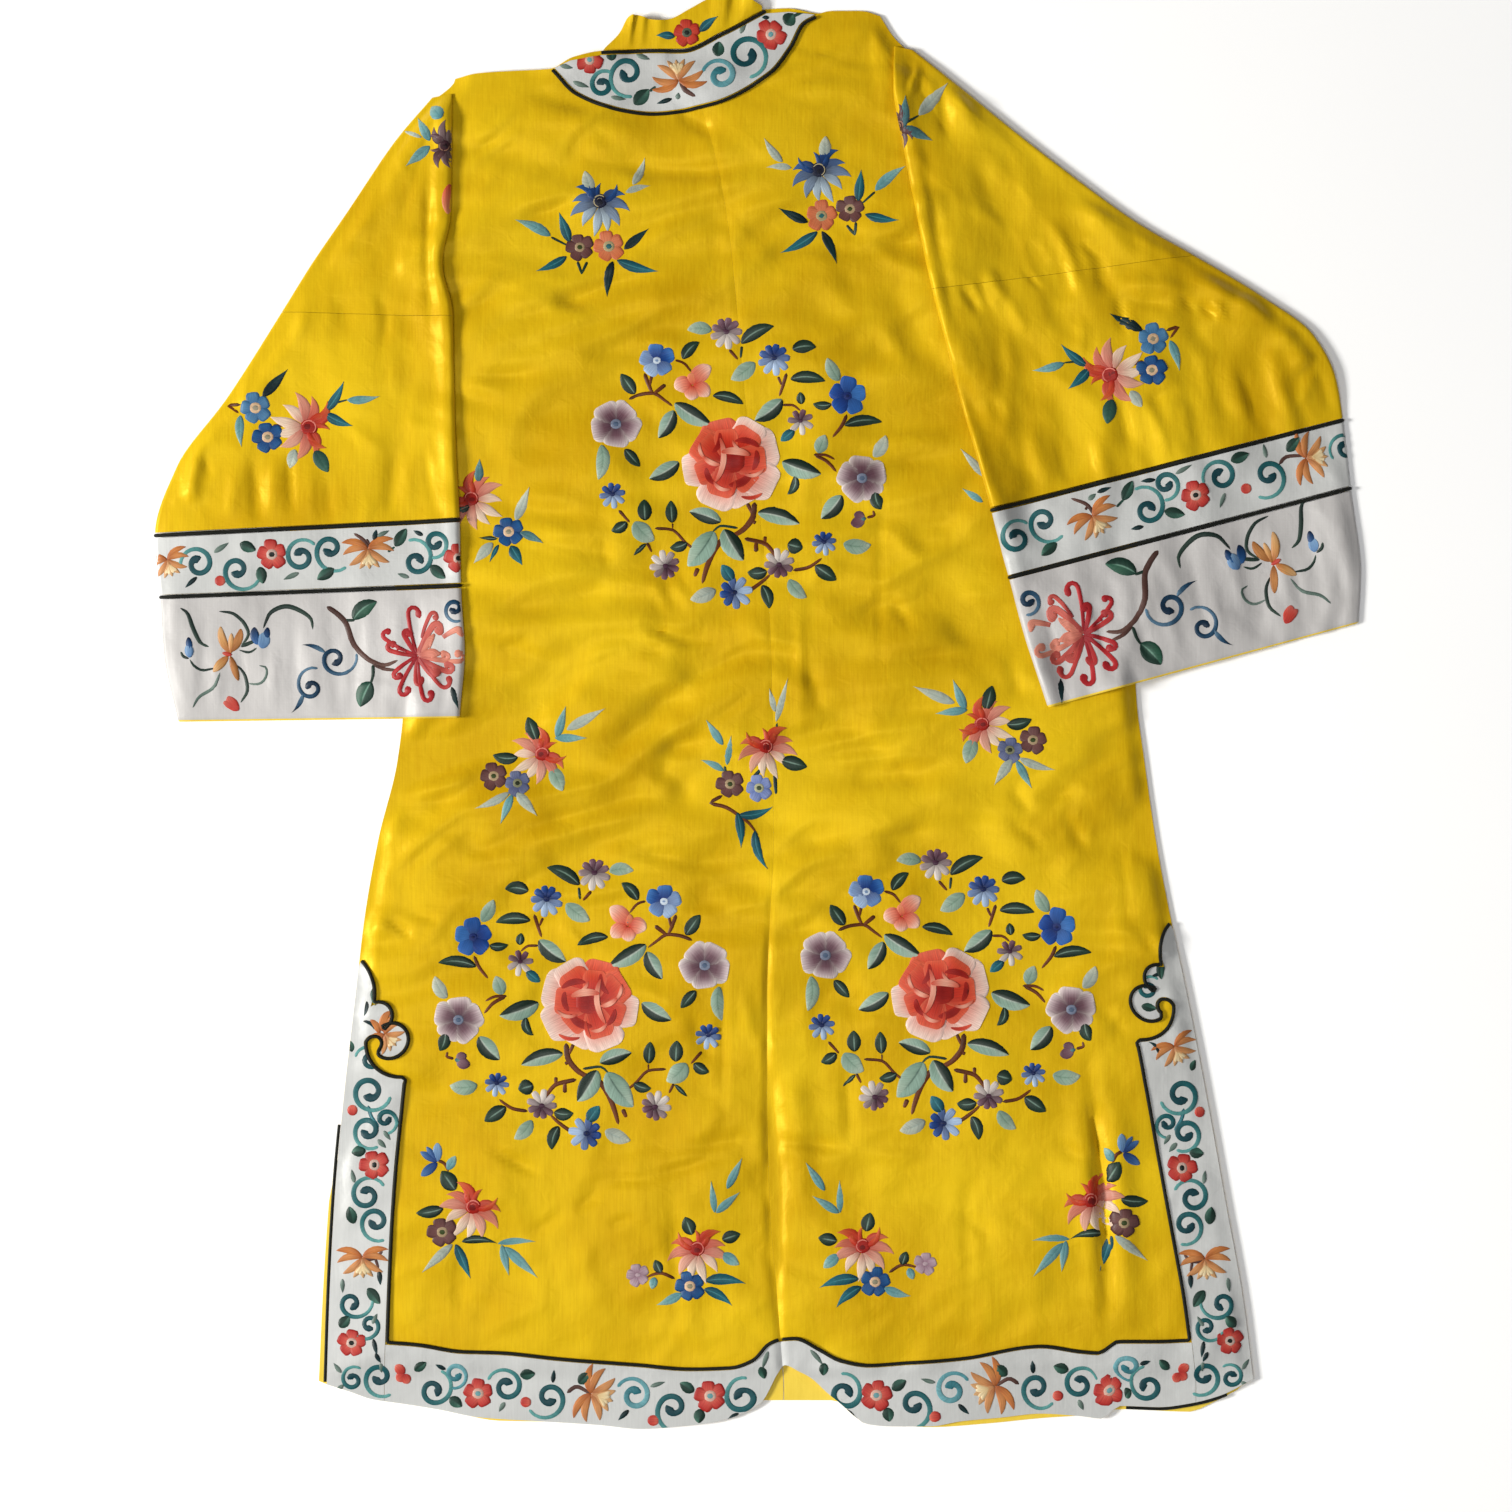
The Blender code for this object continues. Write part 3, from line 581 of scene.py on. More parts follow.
# Stitched motifs, chart by chart
ROUNDEL_CHART = Chart("""peony -5.4 3 38 peony
plum -95 33 18.8 mauve 40
plum 96.5 -9.4 18.3 mauve 150
plum -63.2 82.6 13.5 blue 225
plum 85.3 54.8 14.6 deepblue
daisy 28 84.2 13.5 bluedaisy 270 0 9
daisy -9.1 104.9 13.5 mauvedaisy 270 0 9
daisy 48.7 35.7 11.1 mauvedaisy 270 0 7
daisy -97.7 -21.7 11.1 bluedaisy 270 0 8
daisy 67 -59.1 10.3 bluedaisy 270 0 8
daisy -56.4 -77.4 12.7 mauvedaisy 135 0 9
daisy 32 -76.6 12.7 mauvedaisy 90 0 9
daisy -3 -98.1 14 bluedaisy 0 0 8
petal -35.7 64.3 20 coral 42 7 0.08
petal -35.7 64.3 14 coral 196 7 -0.1
petal -34.9 63.5 15 coral -38 6.4 0.1
petal -35.2 63.2 12 coral -95 6.4
petal -35.2 63.2 10 coralpetal 96 4.4
petal -35.2 63.2 8.6 steel 93 2.2
petal 98.1 -40.8 11.1 mauvebud -163 4.8 0.1
petal 98.1 -40.8 8.6 mauvebud 158 4.1 -0.1
petal 99.7 -40.3 5.4 steel -166 2.2
leaf -20.5 105.7 19.1 pale 178 5.3 -0.1
leaf -42.8 83.4 18.6 dark 47 5.1 0.1
leaf 2.5 95.4 28.8 dark 28 5.7 0.1
leaf 42.3 90.6 18.4 dark 5 5.7 0.1
leaf 12.9 81 22.8 pale -144 6.7 0.05
leaf 40.8 67.5 27.1 dark -3 5.1 0.1
leaf 79 66.7 19.9 pale 119 5.4 0.05
leaf 49.5 48.4 9.6 dark 98 3.8
leaf 72.6 48.4 14.3 dark 178 3.8 0.1
leaf -80.2 56.4 19.4 dark 125 5.7
leaf -50 43.6 24.6 half -119 6.7 0.05
leaf -49.2 49.2 33.2 half -30 7.2 -0.05
leaf -19.7 54.8 24.7 dark -15 4.5 0.1
leaf 34.4 52.4 27.2 half -142 7.2 0.05
leaf -46 3.8 26.8 half -150 6.7 0.05
leaf 34.4 3.8 31.7 half -18 7.6 -0.05
leaf 43.9 -7.3 15.4 dark -111 3.8 0.2
leaf -88.2 13.4 18 dark -49 4.8
leaf -106.5 16.6 27.2 pale -95 5.7 0.1
leaf 43.9 28.5 13.8 teal -141 4.3
leaf 62.2 10.2 15.4 pale 69 5.7
leaf 82.9 31.7 29.6 dark 6 4.8 0.1
leaf 105.2 7.8 19.3 ash 60 5.4 -0.1
leaf 80.6 -22.4 24.3 half -131 7.3 0.05
leaf 106.8 -19.3 15.1 dark -72 5.4 -0.1
leaf -13.4 -43.1 25.9 half 162 6.4 -0.05
leaf 15.3 -36 33.8 half -15 6.7 0.05
leaf -18.9 -50.3 34.1 broad -127 9.6 0.05
leaf -11 -48.7 28.9 half -58 8.3 -0.05
leaf -72.3 -42.3 16.7 dark 93 6
leaf -51.3 -43.9 17.5 dark 94 5.1
leaf -86.6 -43.1 13.9 dark -149 4.8 0.1
leaf -80.2 -43.1 20.8 pale -43 7.6 -0.1
leaf -71.5 -59.9 13.7 dark -136 2.2
leaf -39.6 -59.1 14.1 dark -164 4.5 0.1
leaf 38.4 -60.7 12.4 dark -15 6.7
leaf 82.1 -59.9 21.5 pale -2 6.4 -0.1
leaf 59.9 -77.4 20.1 dark -34 6
leaf 22.4 -81.4 15.1 dark -177 5.4 0.1
leaf -3.8 -89.3 15.5 teal 125 5.4
leaf 40 -87.7 19.7 pale -47 5.7 -0.1
leaf 18.5 -92.5 19.1 dark -73 5.1 0.1
leaf -17.4 -95.7 21.4 ash -158 6 0.05""", """1.4 brown -73,73 -69,62 -66,56
1.1 brown -67,71 -69,62
1.3 brown -86,52 -76,56 -66,57 -58,52 -50,46
1.5 brown -56,64 -61,60 -66,56
1 brown -50,83 -43,81 -36,73
1.1 brown -7,91 0,83
1 brown 31,70 34,63
1.3 brown 38,73 35,63 32,54
1 brown 34,48 42,48 49,43
1.3 brown 85,41 81,32 73,22
1.1 brown 58,9 67,9 76,5
1.3 brown 59,9 69,4 77,-5
1.1 brown 100,-40 106,-38 105,-34
2.1 brown 13,-27 12,-38 3,-50 -11,-57
1.3 brown 7,-28 11,-37
1.3 brown 14,-44 10,-42
1.6 brown 4,-56 14,-58 21,-60 28,-68 33,-75
1.5 brown 14,-67 14,-58
1.3 brown 21,-54 21,-60
2.1 brown -3,-53 -13,-58 -20,-68 -25,-81 -28,-92
1.6 brown -31,-79 -34,-86
1.1 brown -93,-34 -84,-44
1.1 brown -66,-48 -52,-49 -40,-60 -27,-69
1 brown -71,-59 -67,-67
0.6 brown -51,-44 -51,-49
1.3 brown 42,-81 54,-79 66,-71
1.4 brown 5,-99 13,-94 22,-87 26,-83
1.3 brown -33,33 -43,43 -50,46
1 green 3,94 2,84
1 green 1,-48 -13,-46 -21,-52""")
SHOULDER_SPRIG_CHART = Chart("""leaf -4.7 31.2 18.8 ash 107 5.1
reed 21.8 32 20.2 ash 16 3.1 0.05
reed 27.3 38.2 23.8 ash 67 3.5 -0.05
lotus 0.8 20.3 22.6 bluelotus 80 0 1
reed -36.7 -1.6 30.7 sky 156 4.3 -0.05
reed -21.8 -6.2 24.9 teal 110 4.3
reed -24.2 -17.2 26.9 teal -154 3.9 0.05
reed 20.3 -11.7 25.5 night 40 3.9
reed 14.8 -20.3 33.9 teal -15 4.3 -0.05
reed 11.7 -21.1 28.5 night -99 3.9 -0.05
plum -14 -10.1 10.9 mauveplum 90
plum 8.6 -9.4 12.1 coralplum 90""", """0.9 green -37,-2 -23,-9
1.1 green -16,-21 -12,-32
1.1 green -8,-21 -13,-32""")
WAIST_SPRIG_CHART = Chart("""leaf 14.8 32 20 dark 111 5.9
leaf 0 19.5 19.6 dark 175 5.1 0.1
reed 30.4 34.3 25.9 sky 74 3.9
reed 28.9 34.3 25.7 sky 0 3.5
reed 38.2 40.6 34.9 ash 29 4.3
lotus 14.8 19.5 22.6 corallotus 30 0 1
leaf 26.5 11.7 20.6 pale -65 6.2
reed -6.2 -7.8 30 ash -155 3.5 0.05
reed -3.9 -9.4 25.2 sky -112 3.5
reed -0.8 -7.8 24.9 ash -49 4.3
plum -18.7 4.7 10.9 mauveplum 90
plum 0 -0.8 10.1 violetplum 90""")
CENTRE_SPRIG_CHART = Chart("""reed 14 17.9 35.6 ash 75 3.1
reed 13.3 25.7 19.3 ash 104 2.7
reed -27.3 0 23.6 sky 124 3.5
reed -24.2 -15.6 23.6 sky 82 3.1
reed -26.5 -20.3 20.6 sky 155 3.1 -0.05
lotus 7.8 -5.5 22.6 corallotus 110 0 -1
leaf 17.9 -11.7 21 dark -15 6.2
reed -15.6 -54.6 28.2 teal 14 3.9 -0.1
reed -16.4 -52.3 28.3 teal -84 3.9 0.05
reed -2.3 -66.3 32.1 teal -72 3.9 -0.1
plum -21.8 -30.4 10.9 mauveplum 90
plum 0.8 -33.5 10.5 paleplum 90""", """1.1 green 12,-2 15,18
1.2 green -25,-27 -26,-16
1.4 brown -27,-39 -37,-45 -26,-48 -16,-54 -7,-61 -1,-69
1.4 night 13,-22 14,-39
1.4 night -5,-27 3,-18""")
SLEEVE_SPRIG_CHART = Chart("""reed -30.4 21.1 29.3 night 48 4.3
reed -47.6 7 25 sky -88 3.9 -0.05
reed 18.7 10.1 27.3 teal 59 3.9 -0.05
reed 17.2 8.6 24.8 teal -24 4.3 -0.05
reed 35.1 18.7 25.9 sky 7 3.5 -0.05
leaf -5.5 -19.5 15.3 ash -105 4.7
leaf 10.1 -20.3 19.9 mid -59 5.9
lotus 0 -0.8 25.7 corallotus -15 0 1
plum -35.9 12.5 12.1 paleblueplum 90
plum -26.5 -10.1 12.1 blueplum 90""", """1.2 brown -47,15 -58,15 -48,8
1 brown -23,-1 -10,-1
0.8 green 24,16 36,19""")
LOWER_SPRIG_CHART = Chart("""leaf -2.3 12.5 15.1 dark 111 5.9
leaf 21.1 8.6 14.8 dark 18 5.5
reed 15.6 29.6 25.9 sky 97 3.1
reed 16.4 29.6 24.9 sky 41 3.5
reed 25 48.4 26.9 sky 64 3.5
leaf 21.1 -2.3 15.8 sky -33 4.7
lotus 3.1 -3.1 23.4 corallotus 105 0 -1
reed 7.8 -23.4 32.1 teal -4 4.7 0.08
reed 7 -29.6 25.6 teal -31 4.3 0.08
reed -10.1 -32.8 22.3 sky -155 3.9 0.05
leaf -26.5 -17.2 11.2 dark 115 4.3
leaf -31.2 -20.3 9.6 sky -104 3.5
plum -44.5 -18.7 9 lilacplum 90
plum -3.9 -27.3 11.7 blueplum 90""", """1.2 brown -15,-22 -27,-17 -39,-21""")
CORNER_SPRIG_CHART = Chart("""petal -25 35.9 15.4 bluepetal 150 3.1
petal -25 35.9 14.8 skypetal 90 3.9
petal -25 35.1 16.1 bluepetal -141 3.9
petal -25 35.9 14.5 bluepetal 126 2.7
leaf -17.2 29.6 12.6 sky 60 3.9
leaf -10.9 14 18.4 dark 126 7
leaf -20.3 0 21.4 dark -170 5.1 0.05
reed -6.2 -26.5 28.1 dark -3 3.5 0.1
reed -10.9 -28.1 29.7 teal -67 4.3
reed -13.3 -28.1 33.1 ash -137 3.9
reed 21.8 -28.1 30.5 sky 3 3.1 0.05
reed 25 -28.9 24.8 sky -77 3.5
reed 27.3 -30.4 35.3 sky -43 4.3
lotus 0 -3.1 24.2 corallotus 55 0 1
plum -21.1 -18.7 11.7 mauveplum 90""", """1.2 brown -25,37 -20,35 -16,28""")
LEFT_FOLD_SPRIG_CHART = Chart("""leaf -7 19.5 13.3 sky 130 6.2
reed -16.4 2.3 21.3 sky 118 3.9
reed -16.4 -1.6 24.4 sky -140 4.3
reed -22.6 4.7 17.8 ash 157 2
lotus -0.8 -1.6 18.7 brownlotus 185 0 1
petal -0.8 -31.2 23.5 coralpetal -94 5.5""")
RIGHT_FOLD_SPRIG_CHART = Chart("""reed 7.8 -2.3 25.8 steel 87 4.3
reed 7.8 -1.6 24.8 steel -24 4.3
reed 19.5 7.8 35.4 ash 49 5.1
reed 0 -29.6 20.5 steel -130 5.1
lotus 0 -1.6 17.2 brownlotus 20 0 1
petal 6.2 -40.6 25.6 coralpetal -78 4.7""")
RIGHT_FOLD_VINES = Chart("", """0.9 green 9,1 20,8
0.9 green -13,-45 -20,-54""")
EDGE_SPRIG_CHART = Chart("""reed -0.8 17.2 18.7 steel 88 3.9
reed 28.1 -12.5 28.7 ash 68 4.3
leaf -7.8 -0.8 11.9 dark -157 4.7
lotus -2.3 2.3 23.4 corallotus 150 0 -1
reed 31.2 -21.8 20.6 steel -25 3.5 0.05
reed 14 -26.5 15.6 dark 177 2.3
reed 10.1 -29.6 22.1 ash -132 4.7
reed 14.8 -31.2 15.7 teal -117 2.3
reed 24.2 -32 18.2 teal -59 4.7
plum 22.6 -21.1 11.7 blueplum 90""")
HIDDEN_SPRIG_CHART = Chart("""reed 5.5 -17.9 19.7 sky 146 3.1
reed 7.8 1.6 29.9 ash 131 3.5""")
CUFF_CHART = Chart("""mum -0.8 -4.7 37.4 mum
leaf -51.5 23.4 23.4 cuffleaf 37 6.6 0.1
leaf -37.4 -25 21.3 cuffleaf -114 7.4 -0.05
scroll -66.3 -7 10.1 navy 15 1.6 -1.6
reed -73.3 -2.3 19.7 navy 162 2.2 -0.1
scroll -84.2 -29.6 8.6 navy 70 1.5 1.7
reed -90.5 -33.5 18.2 navy -121 2.2 0.1
petal -147.4 -2.3 22 orange 110 3.4 0.1
petal -147.4 -1.6 20 orangedark 66 3.6 -0.1
petal -147 -3 16 orange 88 2.6
petal -149 -4.7 17.1 orange -133 3.5
petal -147.4 -4.7 20.5 orangedark -72 3.1
petal -145.9 -3.9 8 redbud 169 2
petal -123 1 13 skypetal 82 5.4 -0.06
petal -126 4 14 bluebud 100 3.6 0.08
petal -121 6 12 bluebud 78 3 -0.05
petal -178.6 -6.2 11 skypetal 97 3.8
petal -178.6 -1 11 bluebud 97 2.8
petal -140.5 -47 14 redbud 128 4.6 0.08
petal -142.5 -46.5 12 redbud 152 3.4 -0.08
scroll 28.1 32 6.6 navy -60 1.6 -1.5
reed 25.7 -28.9 18.8 night -73 2.7""", """2 bark -73,34 -68,31 -58,22 -51,4 -37,-9 -27,-12 -16,-8
1.4 bark -37,-10 -27,-15 -17,-16
1.1 cuffstem -58,23 -50,23
1.2 cuffstem -36,-11 -36,-19 -38,-27
1.6 tendril -187,33 -181,29 -176,16 -170,5 -163,2
1.3 tendril -157,30 -147,29 -136,20 -133,12 -140,2
1.4 tendril -140,2 -133,5 -126,8
0.9 tendril -141,0 -133,-2 -126,2
1.7 tendril -122,16 -116,29 -104,34 -92,30 -84,23 -83,15
1 tendril -158,-14 -169,-16 -176,-12 -179,-7
1.1 tendril -179,-7 -184,-5 -186,-1
1.2 mist -155,-17 -160,-29 -172,-37 -177,-46
1.3 tendril -143,-11 -136,-20 -134,-31 -140,-42
1 mist -135,-26 -126,-27 -119,-20 -119,-14 -126,-12""")
LEFT_BAND_CHART = Chart("""lily 8 4.8 17.2 lily -75
scroll 32 0.6 11.7 teal 195 1.8 -1.1
tick 44.9 8.6 14.1 mist 31 2.3
tick 30.8 -9.5 12.7 night -140 2
scroll 62.2 -5.4 10.1 teal -25 1.8 -1.7
berry 48.6 -13.4 4.3 berry
leaf 65.5 14.8 13.6 bandleaf -26 4.7
leaf 80.2 -3.9 13.5 bandleaf -83 4.7
plum 90 5.1 11.7 redplum 80
scroll 112.5 2.5 11.3 teal 35 1.8 1.15
scroll 135.4 7.8 9.8 teal -50 1.8 -1.8
tick 110.4 -9.9 13.6 mist -159 2.3
leaf 137.8 -8 15.8 bandleaf -150 4.7
lily 165 6.4 20.3 lily -88
tick 170 12.5 8.7 night 77 2.3
tick 172.5 15.5 10.5 mist 24 2
leaf 186.1 7.1 16.5 bandleaf 56 4.7
scroll 202 -5.4 10.1 teal 110 1.8 -1.6
scroll 217.4 8.8 8.6 teal -110 1.8 1.3
tick 208.3 14.7 8.7 night 151 2
tick 196 -17.6 9.9 mist 159 2
leaf 212.8 -9 15.5 bandleaf -43 4.7
plum 235.6 -4.5 11.7 redplum 80""", """1.4 bark 167,6 161,14 154,19
1 bark 164,14 167,8
1 bandleaf 180,3 186,7""")
RIGHT_BAND_CHART = Chart("""scroll 13.5 1.2 11.7 teal 35 1.8 1.15
scroll 37.5 9 10.1 teal -50 1.8 -1.7
leaf 43.1 -9.9 15.6 bandleaf -154 4.7
lily 75.3 2.7 20.3 lily -70
tick 75.2 15.9 7.8 mist 26 2.3
tick 83.2 19.9 11.8 night 6 2
leaf 101.4 9 17.1 bandleaf 49 4.7
scroll 118.4 -3.2 10.9 teal 110 1.8 -1.6
scroll 136.6 13 9 teal -110 1.8 1.3
tick 130.1 18.2 11.9 night 172 2
tick 145.9 18.5 14.7 mist 15 2
tick 111.9 -14.7 10.4 night 178 2
leaf 130.5 -7.3 16.3 bandleaf -24 4.7
plum 157.1 -1.4 11.7 redplum 80
scroll 180 7.9 11.7 teal 190 1.8 -1.15
leaf 190.3 17.5 15.6 bandleaf 8 4.7
tick 180.1 -5.3 12.6 mist -124 2
berry 197 -6.2 4.3 berry
tick 218.1 12.9 11.3 mist 88 2
scroll 216.5 0.1 10.9 teal -130 1.8 1.6
leaf 234.9 13.7 14.4 bandleaf 35 4.7
lily 248.4 5 21.1 lily -10
scroll 280 5.1 10.9 teal -150 1.6 -1.1""", """1.4 bark 77,3 74,12 62,21
1 bark 71,9 74,12
1.4 bark 226,5 234,10 248,7
1 bandleaf 95,5 103,10""")
HEM_BAND_CHART = Chart("""plum 10.4 19.7 10.9 redplum 80
scroll 15.7 -8.7 7.8 teal 60 1.6 1.3
scroll 35.8 -3.4 10.1 teal -50 1.8 -1.5
tick 6.3 -4.7 10 mist 138 2
tick 9.3 -13.7 8.3 mist -130 2
tick 30.7 15 9 night -55 2
tick 35.8 7.5 7.8 mist -80 2
petal 55.1 0.9 9.9 berry 141 4.3
petal 55.1 0.9 8.3 berry -132 4.3
petal 54.3 0.8 8.7 berry -57 4.3
leaf 62.5 4.1 11.5 bandleaf 46 3.9
scroll 79.2 -9 10.9 teal 80 1.8 -1.4
scroll 94.1 6.5 8.6 tealpale -100 1.7 1.2
tick 86.1 8.9 9 night 163 2
leaf 92.8 -12 11.5 bandleaf -31 4.7
plum 113.5 -6.2 11.7 redteal 80
scroll 135.1 0.4 11.7 teal 165 1.8 -1.2
tick 134.7 -11.7 8.8 mist -117 2.2
leaf 144.8 10.2 12.1 bandleaf 12 4.7
berry 151.1 -10.3 4.3 berry
tick 170.8 6.4 10.6 night 89 2
scroll 169.2 -5 11.3 teal 215 1.8 1.5
leaf 191.1 7.2 12.2 bandleaf 52 4.7
lily 201.4 0.4 22.6 lily -15
scroll 235.1 1.8 11.7 tealpale 160 1.9 -1.15
tick 247.2 9 12.6 mist 18 2
tick 231.6 -9.8 11.7 night -130 2.2
berry 250.1 -17.3 4.5 berry
scroll 265.3 -6.7 10.9 teal -60 1.9 -1.7
leaf 282.1 5 13.5 bandleaf 148 4.7
leaf 285.6 -8.8 11.3 bandleaf -98 4.7
plum 294.3 0.6 12.5 redteal 80
scroll 318.1 -5.8 12.1 teal 50 1.9 1.2
tick 312.3 -16.5 9.1 night -156 2.2
leaf 343.8 6.3 10.2 bandleaf -119 3.9
tick 357.5 8.9 14.8 mist -161 2""", """1.5 bark 182,-1 190,5 201,0""")
SIDE_BAND_CHART = Chart("""scroll 45.6 -9.5 7.8 teal 110 1.6 1.6
tick 46.4 -11.7 9.1 mist -23 2
leaf 42.6 13.7 11.7 bandleaf -38 4.7
tick 35.1 -12.8 13.1 night -165 2
scroll 61.6 5.3 9.4 teal -60 1.7 -1.7
leaf 74.1 -6.9 15.6 bandleaf -139 4.7
tick 80.6 13 11.2 mist -177 2
tick 88.8 -15.4 12 night -173 2.3
lily 97.9 -1.9 20.3 lily 185
leaf 123.8 6.2 14 bandleaf 18 4.7
scroll 126.9 -10.9 10.5 teal 210 1.8 -1.4
scroll 146.9 -2.6 11.7 teal -60 1.8 1.2
tick 155.7 7.6 10.7 mist 17 2
plum 171 -6.8 11.7 redplum 80
leaf 181.9 1 11.5 bandleaf 106 4.7
tick 190.9 -7.3 9.5 mist -130 2.3
tick 198.1 -11.2 9.3 mist -138 2
scroll 197 0.8 10.5 teal 220 1.8 -1.3
berry 211.3 14.6 4.3 berry
scroll 207.2 -11.8 7 teal 190 1.7 1.5
scroll 226.9 2.6 13.3 teal -95 1.9 -1.15""", """1.4 bark 96,-2 98,-12 105,-18
1.1 bark 98,-12 90,-15
1.4 teal 217,3 209,0 200,-8""")
LEFT_HEAD_CHART = Chart("""petal 275 -2 17 lily -14 3.4 0.12
petal 273 0 13 lily 40 3 -0.1
lily 273 -4 16.5 lily -128
scroll 252 5 8.4 teal 90 1.7 -1.3
leaf 308 9 14 bandleaf -168 3.6 0.04
tick 297 13 12 night 176 1.7 0.08
tick 281 14 11 night -120 1.6 0.2
leaf 256 20 9 bandleaf 15 3.2""")
RIGHT_HEAD_CHART = Chart("""scroll 313 -7 7.4 teal 60 1.6 -1.3
leaf 301 -15 12 bandleaf 112 3.6
leaf 333 7 15 bandleaf -170 3.6 0.05
tick 322 -3 11 night 70 1.6 0.1
tick 341 4 12 mist 170 1.6 0.1
lily 265 4.5 18 lily 165
tick 262 -9 12 night -30 1.6 0.2
leaf 244 14 9 bandleaf 30 3.2""")
YOKE_CHART = Chart("""tick -4.4 -0.6 10.7 mist 15 2
plum 17.6 11.7 10.9 redteal -90
leaf 35.4 14.6 9.5 bandleaf 104 4.7
tick 9 -7.1 12.7 mist -7 2.2
scroll 31.2 -5.2 8.6 teal 50 1.8 1.3
scroll 49.7 7 11.7 teal -75 1.9 -1.5
tick 55.9 21.5 12.4 mist -16 2.2
tick 38.6 -13 11.2 mist -5 2
leaf 55.9 -17.5 16.3 bandleaf 49 5.5
lily 89.8 0.1 21.1 lily 88
tick 83.4 -13.7 11.9 night -166 2
tick 87.1 -14.8 5.3 mist 77 2
leaf 125.7 8.8 12.2 bandleaf 55 5.5
scroll 121.7 -6 10.9 tealpale 150 2 -1.2
tick 150.1 16.4 10.4 mist 41 2.2
scroll 146.4 -0.3 14.8 teal -110 2 1.15
plum 171.2 5.2 12.1 redteal 80
leaf 185.5 5.5 11.3 bandleaf 10 6.2
tick 177.9 17 6.8 night 152 1.9
tick 203.6 2.8 9.8 mist -40 1.9""", """1.6 bark 91,0 93,-8 100,-16
1 bandleaf 67,-7 72,-3
1.2 bandleaf 195,6 204,3""")
COLLAR_CHART = Chart("""reed -9.4 -3.1 14.8 teal 177 3.1 -0.05
reed 10.1 0.8 18.3 teal 40 3.5 0.05
plum 0 0 10.5 collarplum 80""")


def linear(colour: str) -> tuple[float, float, float, float]:
    """Turn an sRGB hex colour to a linear one.

    Args:
        colour: Six hex digits after a hash.

    Returns:
        Red, green, blue and alpha.
    """
    parts = [int(colour[start : start + 2], 16) / 255 for start in (1, 3, 5)]
    red, green, blue = (p / 12.92 if p <= 0.04045 else ((p + 0.055) / 1.055) ** 2.4 for p in parts)
    return red, green, blue, 1.0


def smoothstep(value: np.ndarray) -> np.ndarray:
    """Ease from 0 to 1 as value goes from 0 to 1."""
    value = np.clip(value, 0.0, 1.0)
    return value * value * (3.0 - 2.0 * value)


def smooth(at: np.ndarray, xs: np.ndarray, ys: np.ndarray) -> np.ndarray:
    """Read a curve that never swings past its points.

    Args:
        at: Where it is read.
        xs: The points' places, rising.
        ys: The points' values, which may be complex.

    Returns:
        The values at those places.
    """
    if np.iscomplexobj(ys):
        return smooth(at, xs, ys.real) + 1j * smooth(at, xs, ys.imag)
    step = np.diff(xs)
    slope = np.diff(ys) / step
    tangent = np.zeros(len(ys))
    turning = slope[:-1] * slope[1:] > 0
    before, after = slope[:-1][turning], slope[1:][turning]
    tangent[1:-1][turning] = 2.0 * before * after / (before + after)
    tangent[0], tangent[-1] = slope[0], slope[-1]
    at = np.clip(at, xs[0], xs[-1])
    index = np.clip(np.searchsorted(xs, at) - 1, 0, len(xs) - 2)
    part = (at - xs[index]) / step[index]
    rest = 1 - part
    return (
        ys[index] * (1 + 2 * part) * rest**2
        + ys[index + 1] * part**2 * (3 - 2 * part)
        + step[index] * (tangent[index] * part * rest**2 - tangent[index + 1] * part**2 * rest)
    )


def even(line: np.ndarray, spacing: float) -> np.ndarray:
    """Lay points along a line at an even spacing.

    Args:
        line: Plan places.
        spacing: The distance wanted between two points.

    Returns:
        The new places, with both ends kept.
    """
    run = np.concatenate([[0.0], np.cumsum(np.abs(np.diff(line)))])
    at = np.linspace(0.0, run[-1], max(2, round(run[-1] / spacing) + 1))
    return np.interp(at, run, line.real) + 1j * np.interp(at, run, line.imag)


def line_distance(place: np.ndarray, line: np.ndarray) -> np.ndarray:
    """Measure how far places are from a line.

    Args:
        place: Plan places.
        line: The line's points.

    Returns:
        The distance of each place.
    """
    flat = place.ravel()
    nearest = np.full(flat.shape, np.inf)
    for start, end in zip(line[:-1], line[1:]):
        span = end - start
        if not span:
            continue
        local = (flat - start) / span
        along = np.clip(local.real, 0.0, 1.0)
        nearest = np.minimum(nearest, np.abs((local - along) * span))
    return nearest.reshape(place.shape)


def outside(place: np.ndarray, outline: np.ndarray) -> np.ndarray:
    """Measure how far places are outside a closed outline.

    Args:
        place: Plan places.
        outline: The outline's points, without the first one again at the end.

    Returns:
        The distances, negative inside.
    """
    closed = np.append(outline, outline[0])
    inside = np.zeros(place.shape, bool)
    for start, end in zip(closed[:-1], closed[1:]):
        crosses = (place.imag < start.imag) != (place.imag < end.imag)
        rise = end.imag - start.imag or 1.0
        reach = start.real + (place.imag - start.imag) / rise * (end.real - start.real)
        inside ^= crosses & (place.real < reach)
    distance = line_distance(place, closed)
    return np.where(inside, -distance, distance)


def crease_height(place: np.ndarray, creases: Table) -> np.ndarray:
    """Add up folds.

    Args:
        place: Plan places.
        creases: The folds' table.

    Returns:
        The height at each place.
    """
    total = np.zeros(place.shape)
    for fold in creases.rows:
        start = complex(fold.x0, fold.y0)
        run = complex(fold.x1, fold.y1) - start
        length = abs(run)
        local = (place - start) / (run / length)
        share = local.real / length
        aside = local.imag - fold.bow * 4 * share * (1 - share)
        fade = smoothstep(1.0 - np.abs(share - 0.5) * 2.0 + 2.0 * fold.width / length)
        total += fold.height * fade * np.exp(-((aside / fold.width) ** 2))
    return total


